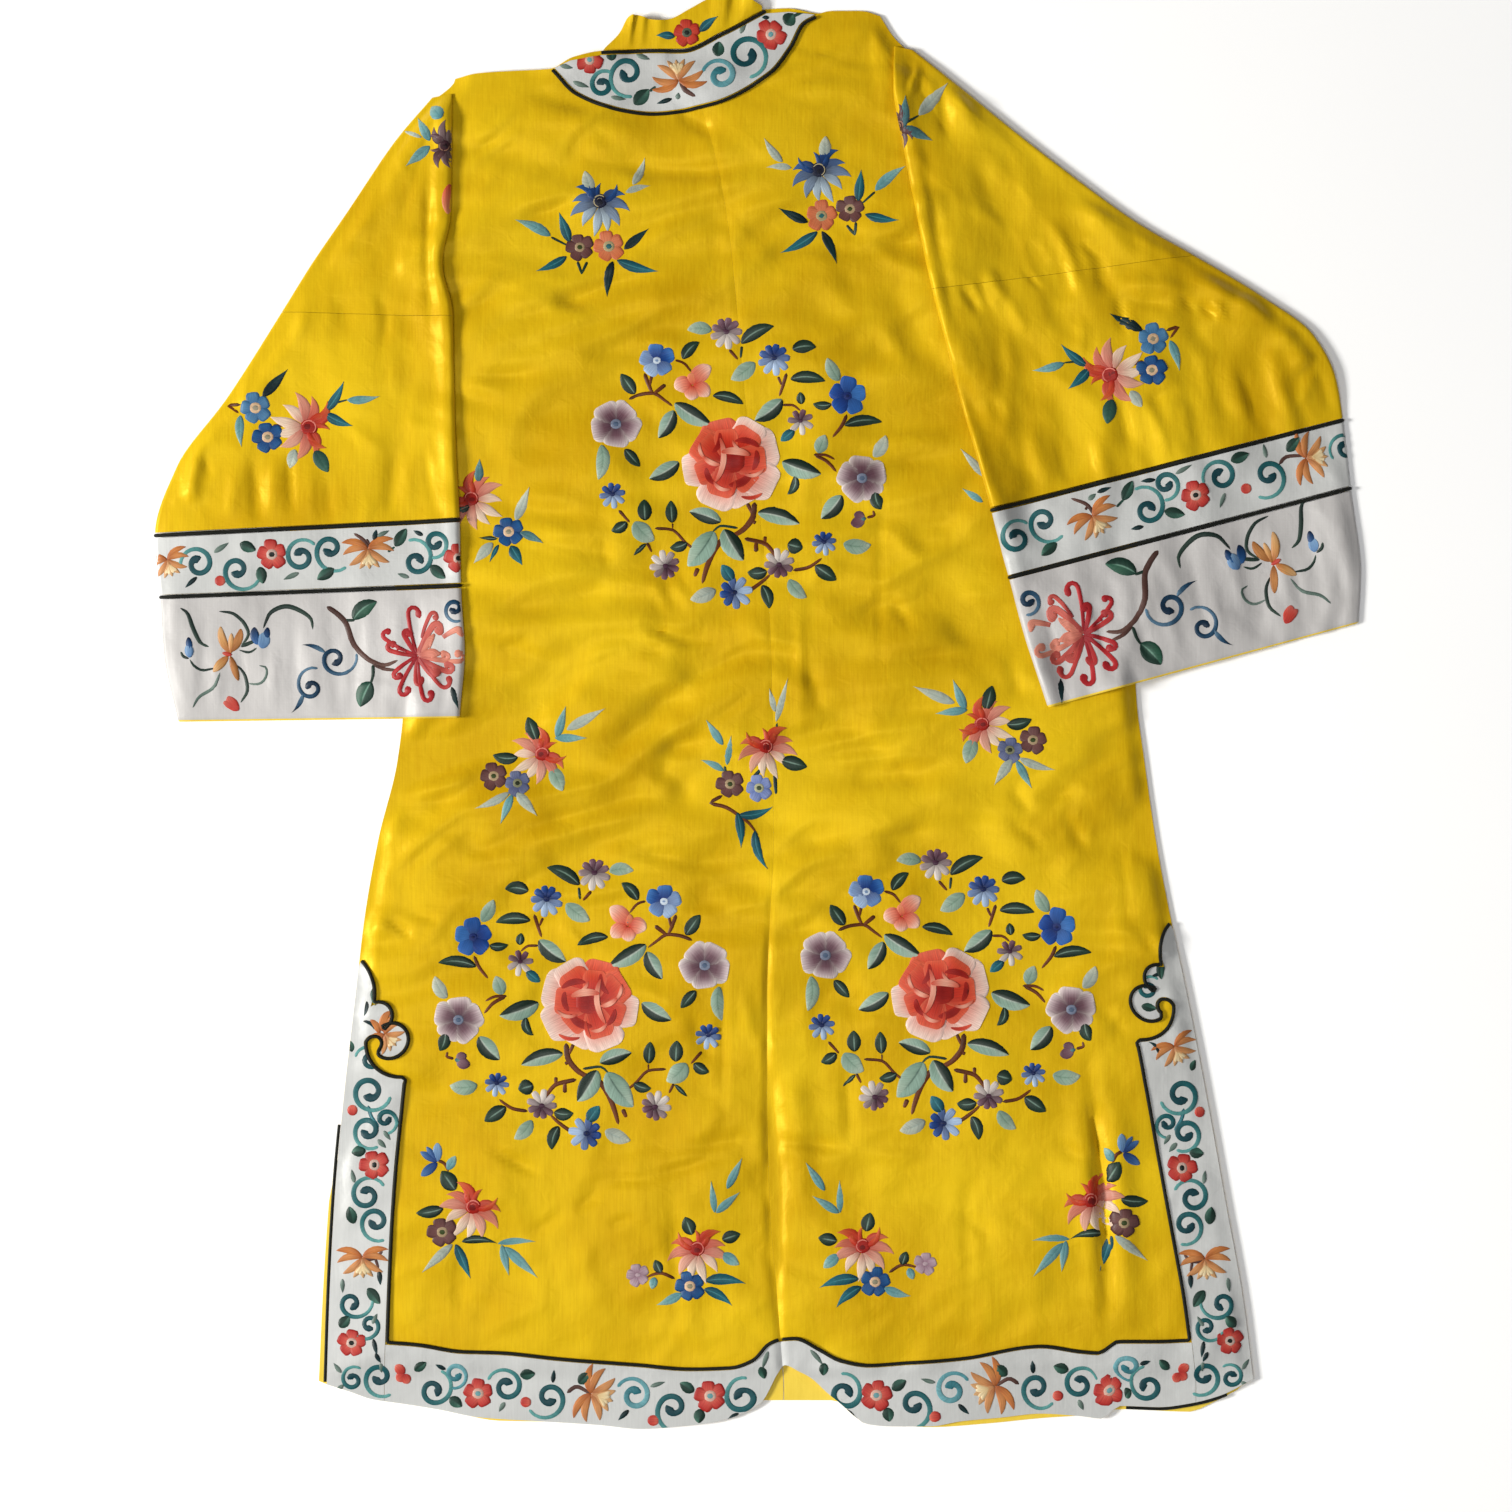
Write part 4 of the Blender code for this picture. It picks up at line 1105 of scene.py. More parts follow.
class Ripple:
    """Uneven waves of limp silk, the same on every run."""

    COUNT = 34

    def __init__(
        self, seed: int, shortest: float, longest: float, steepness: float,
        heading: float = 0, spread: float = 90,
    ) -> None:
        """Choose the waves.

        Args:
            seed: What makes one field of waves differ from another.
            shortest: The shortest wave's length.
            longest: The longest wave's length.
            steepness: A wave's height as a share of its length.
            heading: The way the crests run, in degrees.
            spread: How far they may turn from it, in degrees.
        """
        draw = np.random.default_rng(seed)
        length = shortest * (longest / shortest) ** draw.random(self.COUNT)
        way = np.radians(heading + spread * (2 * draw.random(self.COUNT) - 1))
        self.wave = math.tau / length * 1j * np.exp(1j * way)
        self.start = math.tau * draw.random(self.COUNT)
        self.size = steepness * length

    def height(self, place: np.ndarray) -> np.ndarray:
        """Add up the waves.

        Args:
            place: Plan places.

        Returns:
            The waves' height at each.
        """
        total = np.zeros(place.shape)
        for wave, start, size in zip(self.wave, self.start, self.size):
            total += size * np.sin((place * wave.conjugate()).real + start)
        return total


class Crumple:
    """Pinched creases of limp silk: thin crooked ridges that come and go, mostly along one heading."""

    COUNT = 14
    SHORTEST = 34.0
    LONGEST = 115.0
    FADES = 4

    def __init__(self, seed: int, heading: float, spread: float, steepness: float) -> None:
        """Choose the ridges.

        Args:
            seed: What makes one field of ridges differ from another.
            heading: The way most ridges run, in degrees.
            spread: How far others turn from it, in degrees.
            steepness: How steep their sides are.
        """
        draw = np.random.default_rng(seed)
        way = np.radians(heading + spread * draw.normal(size=self.COUNT))
        length = self.SHORTEST * (self.LONGEST / self.SHORTEST) ** draw.random(self.COUNT)
        self.wave = math.tau / length * 1j * np.exp(1j * way)
        self.start = math.tau * draw.random(self.COUNT)
        self.size = steepness * length / math.tau
        self.aside = [Ripple(seed + number, 70.0, 260.0, 0.018) for number in (1, 2)]
        self.fade = [Ripple(seed + 10 + number, 90.0, 260.0, 0.004) for number in range(self.FADES)]

    def height(self, place: np.ndarray) -> np.ndarray:
        """Add up the ridges.

        Args:
            place: Plan places.

        Returns:
            The ridges' height at each.
        """
        # Moved aside by broad waves, the ridges run crooked
        moved = place + self.aside[0].height(place) + 1j * self.aside[1].height(place)
        fades = [smoothstep(0.35 + 0.42 * fade.height(place)) for fade in self.fade]
        total = np.zeros(place.shape)
        for number, (wave, start, size) in enumerate(zip(self.wave, self.start, self.size)):
            phase = (moved * wave.conjugate()).real + start
            ridge = (1.05 - np.sqrt(np.sin(phase / 2) ** 2 + 0.006)) ** 2
            total += size * ridge * fades[number % self.FADES]
        return total


class Slot(Enum):
    """Material slot names of the robe's cloths."""

    YELLOW = "yellow_satin"
    WHITE = "white_satin"
    BLACK = "black_satin"


def add_node(
    tree: bpy.types.NodeTree, kind: str, inputs: dict | None = None, **settings: object
) -> bpy.types.Node:
    """Add a node to a material.

    Args:
        tree: The material's node tree.
        kind: The node's type.
        inputs: Values, or the sockets that are linked to them, by the input's name or number.
        settings: The node's own settings.

    Returns:
        The node.
    """
    node = tree.nodes.new(kind)
    for name, value in settings.items():
        setattr(node, name, value)
    fill_inputs(tree, node, inputs or {})
    return node


def fill_inputs(tree: bpy.types.NodeTree, node: bpy.types.Node, inputs: dict) -> None:
    """Set or link a node's inputs.

    Args:
        tree: The material's node tree.
        node: The node.
        inputs: Values, or the sockets that are linked to them, by the input's name or number.
    """
    for name, value in inputs.items():
        if isinstance(value, bpy.types.NodeSocket):
            tree.links.new(value, node.inputs[name])
        else:
            node.inputs[name].default_value = value


def new_material(name: str) -> tuple[bpy.types.Material, bpy.types.NodeTree, bpy.types.Node]:
    """Start a material.

    Args:
        name: Its name.

    Returns:
        The material, its tree and its shader.
    """
    material = bpy.data.materials.new(name)
    material.use_nodes = True
    tree = material.node_tree
    return material, tree, tree.nodes["Principled BSDF"]


def noise(
    tree: bpy.types.NodeTree, vector: bpy.types.NodeSocket, scale: float, detail: float, **inputs: float
) -> bpy.types.NodeSocket:
    """Add uneven cloudiness.

    Args:
        tree: The material's node tree.
        vector: The places it is read at.
        scale: Its scale.
        detail: Its detail.
        inputs: Its other inputs.

    Returns:
        Its value.
    """
    given = {"Vector": vector, "Scale": scale, "Detail": detail, **inputs}
    return add_node(tree, "ShaderNodeTexNoise", given).outputs["Fac"]


SILK_IOR = 1.54


@dataclass(frozen=True)
class SilkSatin:
    """Silk satin, woven: long warp floats give it a broad soft gloss along the threads.

    The real warp has about eight threads to the millimetre, too fine to show, so the
    streaks are drawn a thread apart, in millimetres, and the weft as fainter cross lines.
    """

    name: str
    colour: str
    deep: str
    gloss: str
    roughness: float = 0.4
    thread: float = 1.1

    def material(self) -> bpy.types.Material:
        """Make the satin's material.

        Returns:
            The material.
        """
        material, tree, shader = new_material(self.name)
        place = add_node(tree, "ShaderNodeTexCoord").outputs["Object"]
        along = add_node(
            tree, "ShaderNodeMapping", {"Vector": place, "Scale": (1 / MM / self.thread, 40.0, 200.0)}
        ).outputs["Vector"]
        streak = noise(tree, along, 1.0, 2.0, Roughness=0.6)
        cloud = noise(tree, place, 7.0, 3.0, Roughness=0.55)
        blend = add_node(tree, "ShaderNodeMath", {0: streak, 1: 0.35, 2: cloud}, operation="MULTIPLY_ADD")
        share = add_node(
            tree, "ShaderNodeMapRange", {"Value": blend.outputs[0], "From Min": 0.5, "From Max": 0.85}
        )
        mixed = add_node(
            tree, "ShaderNodeMix",
            {"Factor": share.outputs[0], 6: linear(self.deep), 7: linear(self.colour)}, data_type="RGBA",
        )
        # Limp silk puckers a little between its folds, about every 12 mm
        pucker = noise(tree, place, 75.0, 2.0, Distortion=0.6)
        soft = add_node(tree, "ShaderNodeBump", {"Strength": 0.5, "Distance": 0.0009, "Height": pucker})
        weft = add_node(
            tree, "ShaderNodeTexWave",
            {"Vector": place, "Scale": 1 / MM / self.thread / math.tau, "Distortion": 1.5, "Detail": 1.0},
            bands_direction="Y",
        ).outputs["Fac"]
        relief = add_node(tree, "ShaderNodeMath", {0: weft, 1: 0.25, 2: streak}, operation="MULTIPLY_ADD")
        bump = add_node(
            tree, "ShaderNodeBump",
            {"Strength": 0.1, "Distance": 0.0004, "Height": relief.outputs[0], "Normal": soft.outputs[0]},
        )
        fill_inputs(tree, shader, {
            "Base Color": mixed.outputs[2], "Normal": bump.outputs["Normal"], "Roughness": self.roughness,
            "IOR": SILK_IOR, "Specular Tint": linear(self.gloss), "Sheen Weight": 0.04,
            "Sheen Roughness": 0.4, "Sheen Tint": linear(self.gloss),
        })
        return material


class Cloths(Enum):
    """The robe's cloths."""

    YELLOW = SilkSatin("yellow_silk_satin", "#d2ae15", "#b88f08", "#ffd84a", 0.4)
    LINING = SilkSatin("pale_yellow_silk_lining", "#e4c64a", "#d8b83c", "#ffe78c", 0.46)
    WHITE = SilkSatin("white_silk_satin", "#bebfbd", "#adaeac", "#ffffff", 0.46)
    # The cuffs are the same white satin as the borders, drawn greyer and warmer: painted shade
    CUFF = SilkSatin("white_silk_satin_cuff_painted_shade", "#b9b6b4", "#a9a6a4", "#ffffff", 0.48)
    BLACK = SilkSatin("black_silk_satin", "#1c1d1a", "#141512", "#6c706c", 0.5)

    def material(self) -> bpy.types.Material:
        """Return this cloth's material, made once."""
        return bpy.data.materials.get(self.value.name) or self.value.material()


class Shop:
    """Turns plan points and heights into the robe's pieces, each riding on the robe's body."""

    SHARP = math.radians(50)
    CORD_SIDES = 10

    @staticmethod
    def mesh(name: str, points: np.ndarray, faces: Sequence, cloths: Sequence) -> bpy.types.Object:
        """Make an object from points in millimetres.

        Args:
            name: The piece's name.
            points: An array of x, y and z.
            faces: Each face's point numbers.
            cloths: What it is made of, in the order of the faces' material numbers.

        Returns:
            The object, riding on the robe's body.
        """
        data = bpy.data.meshes.new(name)
        data.from_pydata((np.asarray(points) * MM).tolist(), [], faces)
        data.polygons.foreach_set("use_smooth", np.ones(len(data.polygons), bool))
        data.set_sharp_from_angle(angle=Shop.SHARP)
        for cloth in cloths:
            data.materials.append(cloth.material())
        piece = bpy.data.objects.new(name, data)
        bpy.context.scene.collection.objects.link(piece)
        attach(piece, BODY_NAME)
        LOG.info("%s: %d faces", name, len(data.polygons))
        return piece

    @staticmethod
    def rim(faces: np.ndarray) -> list[tuple[int, int]]:
        """Find the directed edges that only one face has.

        Args:
            faces: Point numbers, as many a face.

        Returns:
            Each such edge's two point numbers.
        """
        count = faces.max() + 1
        start = faces.ravel()
        end = np.roll(faces, -1, axis=1).ravel()
        keep = ~np.isin(start * count + end, end * count + start)
        return list(zip(start[keep].tolist(), end[keep].tolist()))

    @classmethod
    def shell(
        cls, name: str, plan: np.ndarray, faces: np.ndarray, top: np.ndarray, bottom: np.ndarray,
        cloth: Cloths, under: Cloths | None = None,
    ) -> bpy.types.Object:
        """Make a closed shell of cloth over a plan.

        Args:
            name: The piece's name.
            plan: The plan places.
            faces: Faces over them, each turning left.
            top: The upper face's heights.
            bottom: The lower face's heights.
            cloth: What the upper face shows.
            under: What the lower face shows, where it differs.

        Returns:
            The object.
        """
        count = len(plan)
        points = np.concatenate([cls.lift(plan, top), cls.lift(plan, bottom)])
        lower = faces[:, ::-1] + count
        walls = [(b, a, a + count, b + count) for a, b in cls.rim(faces)]
        every = faces.tolist() + lower.tolist() + walls
        piece = cls.mesh(name, points, every, [cloth, under] if under else [cloth])
        if under:
            number = np.zeros(len(every), int)
            number[len(faces) : len(faces) * 2] = 1
            piece.data.polygons.foreach_set("material_index", number)
        return piece

    @staticmethod
    def lift(plan: np.ndarray, height: np.ndarray) -> np.ndarray:
        """Return plan places and heights as points, none below the floor."""
        return np.column_stack([plan.real.ravel(), plan.imag.ravel(), np.maximum(np.ravel(height), 0.0)])

    @staticmethod
    def grid_faces(rows: int, columns: int, around: bool = False) -> np.ndarray:
        """Number the faces of a grid of points.

        Args:
            rows: Rows of points.
            columns: Points in a row.
            around: Whether each row closes on itself.

        Returns:
            Four point numbers a face.
        """
        first = np.arange(columns if around else columns - 1)
        after = (first + 1) % columns
        base = np.arange(rows - 1)[:, None] * columns
        faces = np.stack([base + first, base + after, base + columns + after, base + columns + first], -1)
        return faces.reshape(-1, 4)

    @staticmethod
    def fill(outline: np.ndarray, spacing: float) -> tuple[np.ndarray, np.ndarray]:
        """Cover the inside of an outline with triangles.

        Args:
            outline: The outline's points, turning left.
            spacing: The distance between points inside.

        Returns:
            Plan places and three place numbers a face.
        """
        # A grid of even triangles, kept off the outline
        xs = np.arange(outline.real.min(), outline.real.max(), spacing)
        ys = np.arange(outline.imag.min(), outline.imag.max(), spacing * 0.866)
        grid = xs[None, :] + 1j * ys[:, None]
        grid[1::2] += spacing / 2
        inner = grid[outside(grid, outline) < -0.45 * spacing]
        places = np.concatenate([outline, inner])
        result = delaunay_2d_cdt(
            [Vector((p.real, p.imag)) for p in places], [], [list(range(len(outline)))], 1, 1e-5
        )
        plan = np.array([complex(*p) for p in result[0]])
        faces = np.array(result[2])
        corner = plan[faces]
        area = ((corner[:, 1] - corner[:, 0]).conj() * (corner[:, 2] - corner[:, 0])).imag
        faces[area < 0] = faces[area < 0][:, ::-1]
        return plan, faces[np.abs(area) > 1e-6]

    @classmethod
    def cord(
        cls, name: str, line: np.ndarray, height: np.ndarray, radius: float, closed: bool = False
    ) -> bpy.types.Object:
        """Make a piping: bias satin sewn over a cord.

        Args:
            name: The piece's name.
            line: The plan places it follows.
            height: The height of its middle at each.
            radius: Its radius.
            closed: Whether it comes back to its start.

        Returns:
            The object.
        """
        path = cls.lift(line, height)
        sides = cls.CORD_SIDES
        if closed:
            ahead = np.roll(path, -1, axis=0) - np.roll(path, 1, axis=0)
            ahead /= np.linalg.norm(ahead, axis=1)[:, None]
            arm = path - path.mean(axis=0)
            up = np.cross(ahead, np.cross(arm, np.roll(arm, -1, axis=0)).sum(axis=0))
        else:
            ahead = np.gradient(path, axis=0)
            ahead /= np.linalg.norm(ahead, axis=1)[:, None]
            up = np.tile([0.0, 0.0, 1.0], (len(path), 1))
        aside = np.cross(ahead, up)
        aside /= np.linalg.norm(aside, axis=1)[:, None]
        up = np.cross(aside, ahead)
        turns = np.arange(sides) * math.tau / sides
        ring = np.cos(turns)[:, None] * aside[:, None, :] + np.sin(turns)[:, None] * up[:, None, :]
        points = (path[:, None, :] + radius * ring).reshape(-1, 3)
        faces = (cls.grid_faces(len(path) + int(closed), sides, around=True) % len(points)).tolist()
        if not closed:
            faces.append(list(range(sides))[::-1])
            faces.append(list(range(len(points) - sides, len(points))))
        return cls.mesh(name, points, faces, [Cloths.BLACK])


def deliver(piece: bpy.types.Object, node: str) -> None:
    """Hide the CAD node that a piece stands for.

    Args:
        piece: The piece; not used.
        node: The node that it stands for.
    """
    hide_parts(node)


def neckline(side: int, turns: np.ndarray, scale: np.ndarray, apart: np.ndarray) -> np.ndarray:
    """Draw the front neckline's scoop, or a line within it.

    Args:
        side: -1 for the left front, 1 for the right.
        turns: How far round, from the shoulder to the opening, in radians.
        scale: The share of the neckline's size.
        apart: How far the line stays from the middle.

    Returns:
        Plan places.
    """
    x = NECK_MIDDLE_X + side * (NECK_HALF_WIDTH * scale * np.cos(turns) + apart)
    seam = NECK_SEAM.line()
    chord = np.interp(x, seam.real[[0, -1]], seam.imag[[0, -1]])
    return x + 1j * (chord - FRONT_NECK_DROP * scale * np.sin(turns))


@dataclass
class Body:
    """The robe's body: two backs and two fronts, and the height of everything on them."""

    wall: float = 1.2
    gap: float = 0.3
    seam_gap: float = 0.06
    rise: float = 2.4
    seam_dip: float = 0.7
    highest: float = 11.0
    fold_gain: float = 2.15
    rows: int = 300
    border_rows: int = 14
    border_columns: int = 13
    columns: int = 86
    border_width: float = 45.0
    rounds: int = 6
    flat_size: tuple[float, float] = (460, 1110)
    ripple: Ripple = field(default_factory=lambda: Ripple(11, 20, 170, 0.0046, 14, 32))
    slanting: Crumple = field(default_factory=lambda: Crumple(41, 17, 14, 0.17))
    upright: Crumple = field(default_factory=lambda: Crumple(67, 82, 12, 0.08))

    def __post_init__(self) -> None:
        """Work out the levels and outlines."""
        self.front_top = self.wall
        self.back_top = 2 * self.wall + self.gap
        heights = np.linspace(BODY.column("y")[0], BODY.column("y")[-1], 120)
        left = self.edge(-1, heights) + 1j * heights
        right = self.edge(1, heights) + 1j * heights
        self.outline = np.concatenate([left, right[::-1]])
        self.covers = [self.sleeve_outline(LEFT_SLEEVE), self.sleeve_outline(RIGHT_SLEEVE)]

    @staticmethod
    def sleeve_outline(sections: Table) -> np.ndarray:
        """Return a folded sleeve's outline."""
        inner, outer = sections.line("inner_x", "inner_y"), sections.line("outer_x", "outer_y")
        return np.concatenate([inner, outer[::-1]])

    @staticmethod
    def edge(side: int, y: np.ndarray) -> np.ndarray:
        """Return the x of a side edge."""
        return BODY.at(y, "left" if side < 0 else "right", "y")

    @staticmethod
    def seam(y: np.ndarray) -> np.ndarray:
        """Return the x of the centre-back seam."""
        return BODY.at(y, "seam", "y")

    def relief(self, place: np.ndarray) -> np.ndarray:
        """Find how far the backs rise above lying flat.

        Args:
            place: Plan places.

        Returns:
            The rise at each, little at the edges and under the sleeves.
        """
        folds = self.fold_gain * crease_height(place, BACK_CREASES)
        # Slanting crumples fill the upper back; towards the hem the cloth is calmer and they stand upright
        low = smoothstep((-120 - place.imag) / 200)
        slanting = self.ripple.height(place) + self.slanting.height(place)
        folds += slanting * (1 - 0.6 * low) + 0.6 * self.upright.height(place) * low
        inside = -outside(place, self.outline)
        cover = np.zeros(place.shape)
        for outline in self.covers:
            cover = np.maximum(cover, smoothstep(-outside(place, outline) / 45.0))
        bare = 1 - cover
        raw = bare * (folds * smoothstep(inside / 14.0) + self.rise * smoothstep(inside / 60.0))
        # Troughs stop softly at the cloth below, and crossing folds stand no higher than the limit
        soft = 0.5 * (raw + np.sqrt(raw**2 + 0.25)) - 0.25
        soft = self.highest * np.tanh(soft / self.highest)
        seam = np.exp(-((np.abs(place.real - self.seam(place.imag)) / 2.6) ** 2))
        return soft * (1 - self.seam_dip * (0.1 + 0.9 * low) * seam)

    def height(self, place: np.ndarray) -> np.ndarray:
        """Return the height of the backs' upper face."""
        return self.back_top + self.relief(place)

    def cross(self, side: int, share: np.ndarray, y: np.ndarray) -> np.ndarray:
        """Find x across a back.

        Args:
            side: -1 for the left back, 1 for the right.
            share: 0 at the side edge, 1 at the side border's inner edge, 2 at the seam.
            y: The height at which it is wanted.

        Returns:
            The x.
        """
        edge = self.edge(side, y)
        seam = self.seam(y) + side * self.seam_gap / 2
        inner = edge - side * self.border_width
        return np.where(share <= 1, edge + (inner - edge) * share, inner + (seam - inner) * (share - 1))

    def plan(self, side: int) -> np.ndarray:
        """Lay out a back's grid.

        Args:
            side: -1 for the left back, 1 for the right.

        Returns:
            Plan places, rows from the hem up, columns from the side edge in.
        """
        border = np.linspace(0, 1, self.border_columns + 1)[:-1]
        inner = np.linspace(0, 1, self.columns - self.border_columns + 1)
        # The columns come closer together towards the seam
        shares = np.minimum(np.concatenate([border, 1 + 1.12 * inner - 0.12 * inner**6]), 2.0)
        top = np.full(shares.shape, BODY.column("y")[-1])
        for _ in range(self.rounds):
            top = TOP_EDGE.at(self.cross(side, shares, top))
        part = np.arange(self.rows + 1)[:, None]
        low = np.minimum(part / self.border_rows, 1.0)
        high = np.maximum(part - self.border_rows, 0) / (self.rows - self.border_rows)
        y = np.tile(top, (self.rows + 1, 1))
        shares = np.tile(shares, (self.rows + 1, 1))
        for _ in range(self.rounds):
            x = self.cross(side, shares, y)
            hem, border = BACK_HEM.at(x), HEM_BORDER.at(x)
            y = hem + (border - hem) * low + (top - border) * high
        return self.cross(side, shares, y) + 1j * y

    def make_back(self, side_name: str, side: int) -> np.ndarray:
        """Make a back.

        Args:
            side_name: left or right.
            side: -1 or 1.

        Returns:
            Its grid of plan places.
        """
        plan = self.plan(side)
        faces = Shop.grid_faces(*plan.shape)
        flat = plan.ravel()
        top = self.height(flat)
        piece = Shop.shell(
            f"back_{side_name}_satin", flat, faces[:, ::-1] if side > 0 else faces, top, top - self.wall,
            Cloths.YELLOW, Cloths.LINING,
        )
        deliver(piece, f"back_{side_name}")
        return plan

    def front_outline(self, side: int) -> np.ndarray:
        """Draw a front's outline, with the neckline scooped out.

        Args:
            side: -1 for the left front, 1 for the right.

        Returns:
            Its points.
        """
        heights = np.linspace(BODY.column("y")[0], BODY.column("y")[-1], 130)
        peek = FRONT_PEEK.between(heights, "left" if side < 0 else "right", "y")
        edge = self.edge(side, heights) + side * peek + 1j * heights
        turns = np.radians(np.linspace(0, 90, 12))
        neck = neckline(side, turns, 1.0, self.gap * np.sin(turns))
        shoulder_x = np.linspace(edge[-1].real, neck[0].real, 26)[:-1]
        shoulder = shoulder_x + 1j * (TOP_EDGE.at(shoulder_x) - 1.5)
        centre_y = np.linspace(neck[-1].imag, float(FRONT_HEM.at(self.seam(-530.0))), 120)[1:]
        # The opening follows the centre-back seam, and leans to the middle of the neck above it
        lean = np.interp(centre_y, [400.0, 450.0], [0.0, 1.0])
        seam_x = self.seam(centre_y)
        centre = seam_x + (NECK_MIDDLE_X - seam_x) * lean + side * self.gap + 1j * centre_y
        hem_x = np.linspace(centre[-1].real, edge[0].real, 50)[1:-1]
        hem = hem_x + 1j * FRONT_HEM.at(hem_x)
        edge = edge[(edge.imag > hem[-1].imag + 2) & (edge.imag < shoulder[0].imag - 1)]
        return np.concatenate([edge, shoulder, neck, centre, hem])[::-1]

    def make_front(self, side_name: str, side: int) -> None:
        """Make a front, which lies on the floor and rides up under the backs' folds.

        Args:
            side_name: left or right.
            side: -1 or 1.
        """
        plan, faces = Shop.fill(self.front_outline(side), 9.0)
        rise = 0.45 * self.relief(plan)
        top = self.front_top + rise
        piece = Shop.shell(f"front_{side_name}_satin", plan, faces, top, rise, Cloths.LINING, Cloths.YELLOW)
        deliver(piece, f"front_{side_name}")


def cloud_line() -> np.ndarray:
    """Draw the cloud head's edge.

    Returns:
        Places inward and up, from its start to the straight border.
    """
    points = [CLOUD_START]
    for arc in CLOUD_ARCS.rows:
        start, end = points[-1], complex(arc.to_in, arc.to_up)
        through = complex(arc.through_in, arc.through_up)
        w = (through - start) / (end - start)
        centre = start + (end - start) * (w - abs(w) ** 2) / (w - w.conjugate())
        first = start - centre
        sweep = np.angle((end - centre) / first) % math.tau
        if np.angle((through - centre) / first) % math.tau > sweep:
            sweep -= math.tau
        count = max(6, round(abs(sweep) * abs(first) / 1.5))
        points += list(centre + first * np.exp(1j * sweep * np.arange(1, count + 1) / count))
    return np.array(points)


def beside(line: np.ndarray, distance: float) -> np.ndarray:
    """Move a line to its left, and leave out what would come closer to it.

    Args:
        line: Plan places.
        distance: How far.

    Returns:
        The new places.
    """
    ahead = np.gradient(even(line, 1.0))
    moved = even(line, 1.0) + 1j * ahead / np.abs(ahead) * distance
    return moved[line_distance(moved, line) > distance - 0.05]


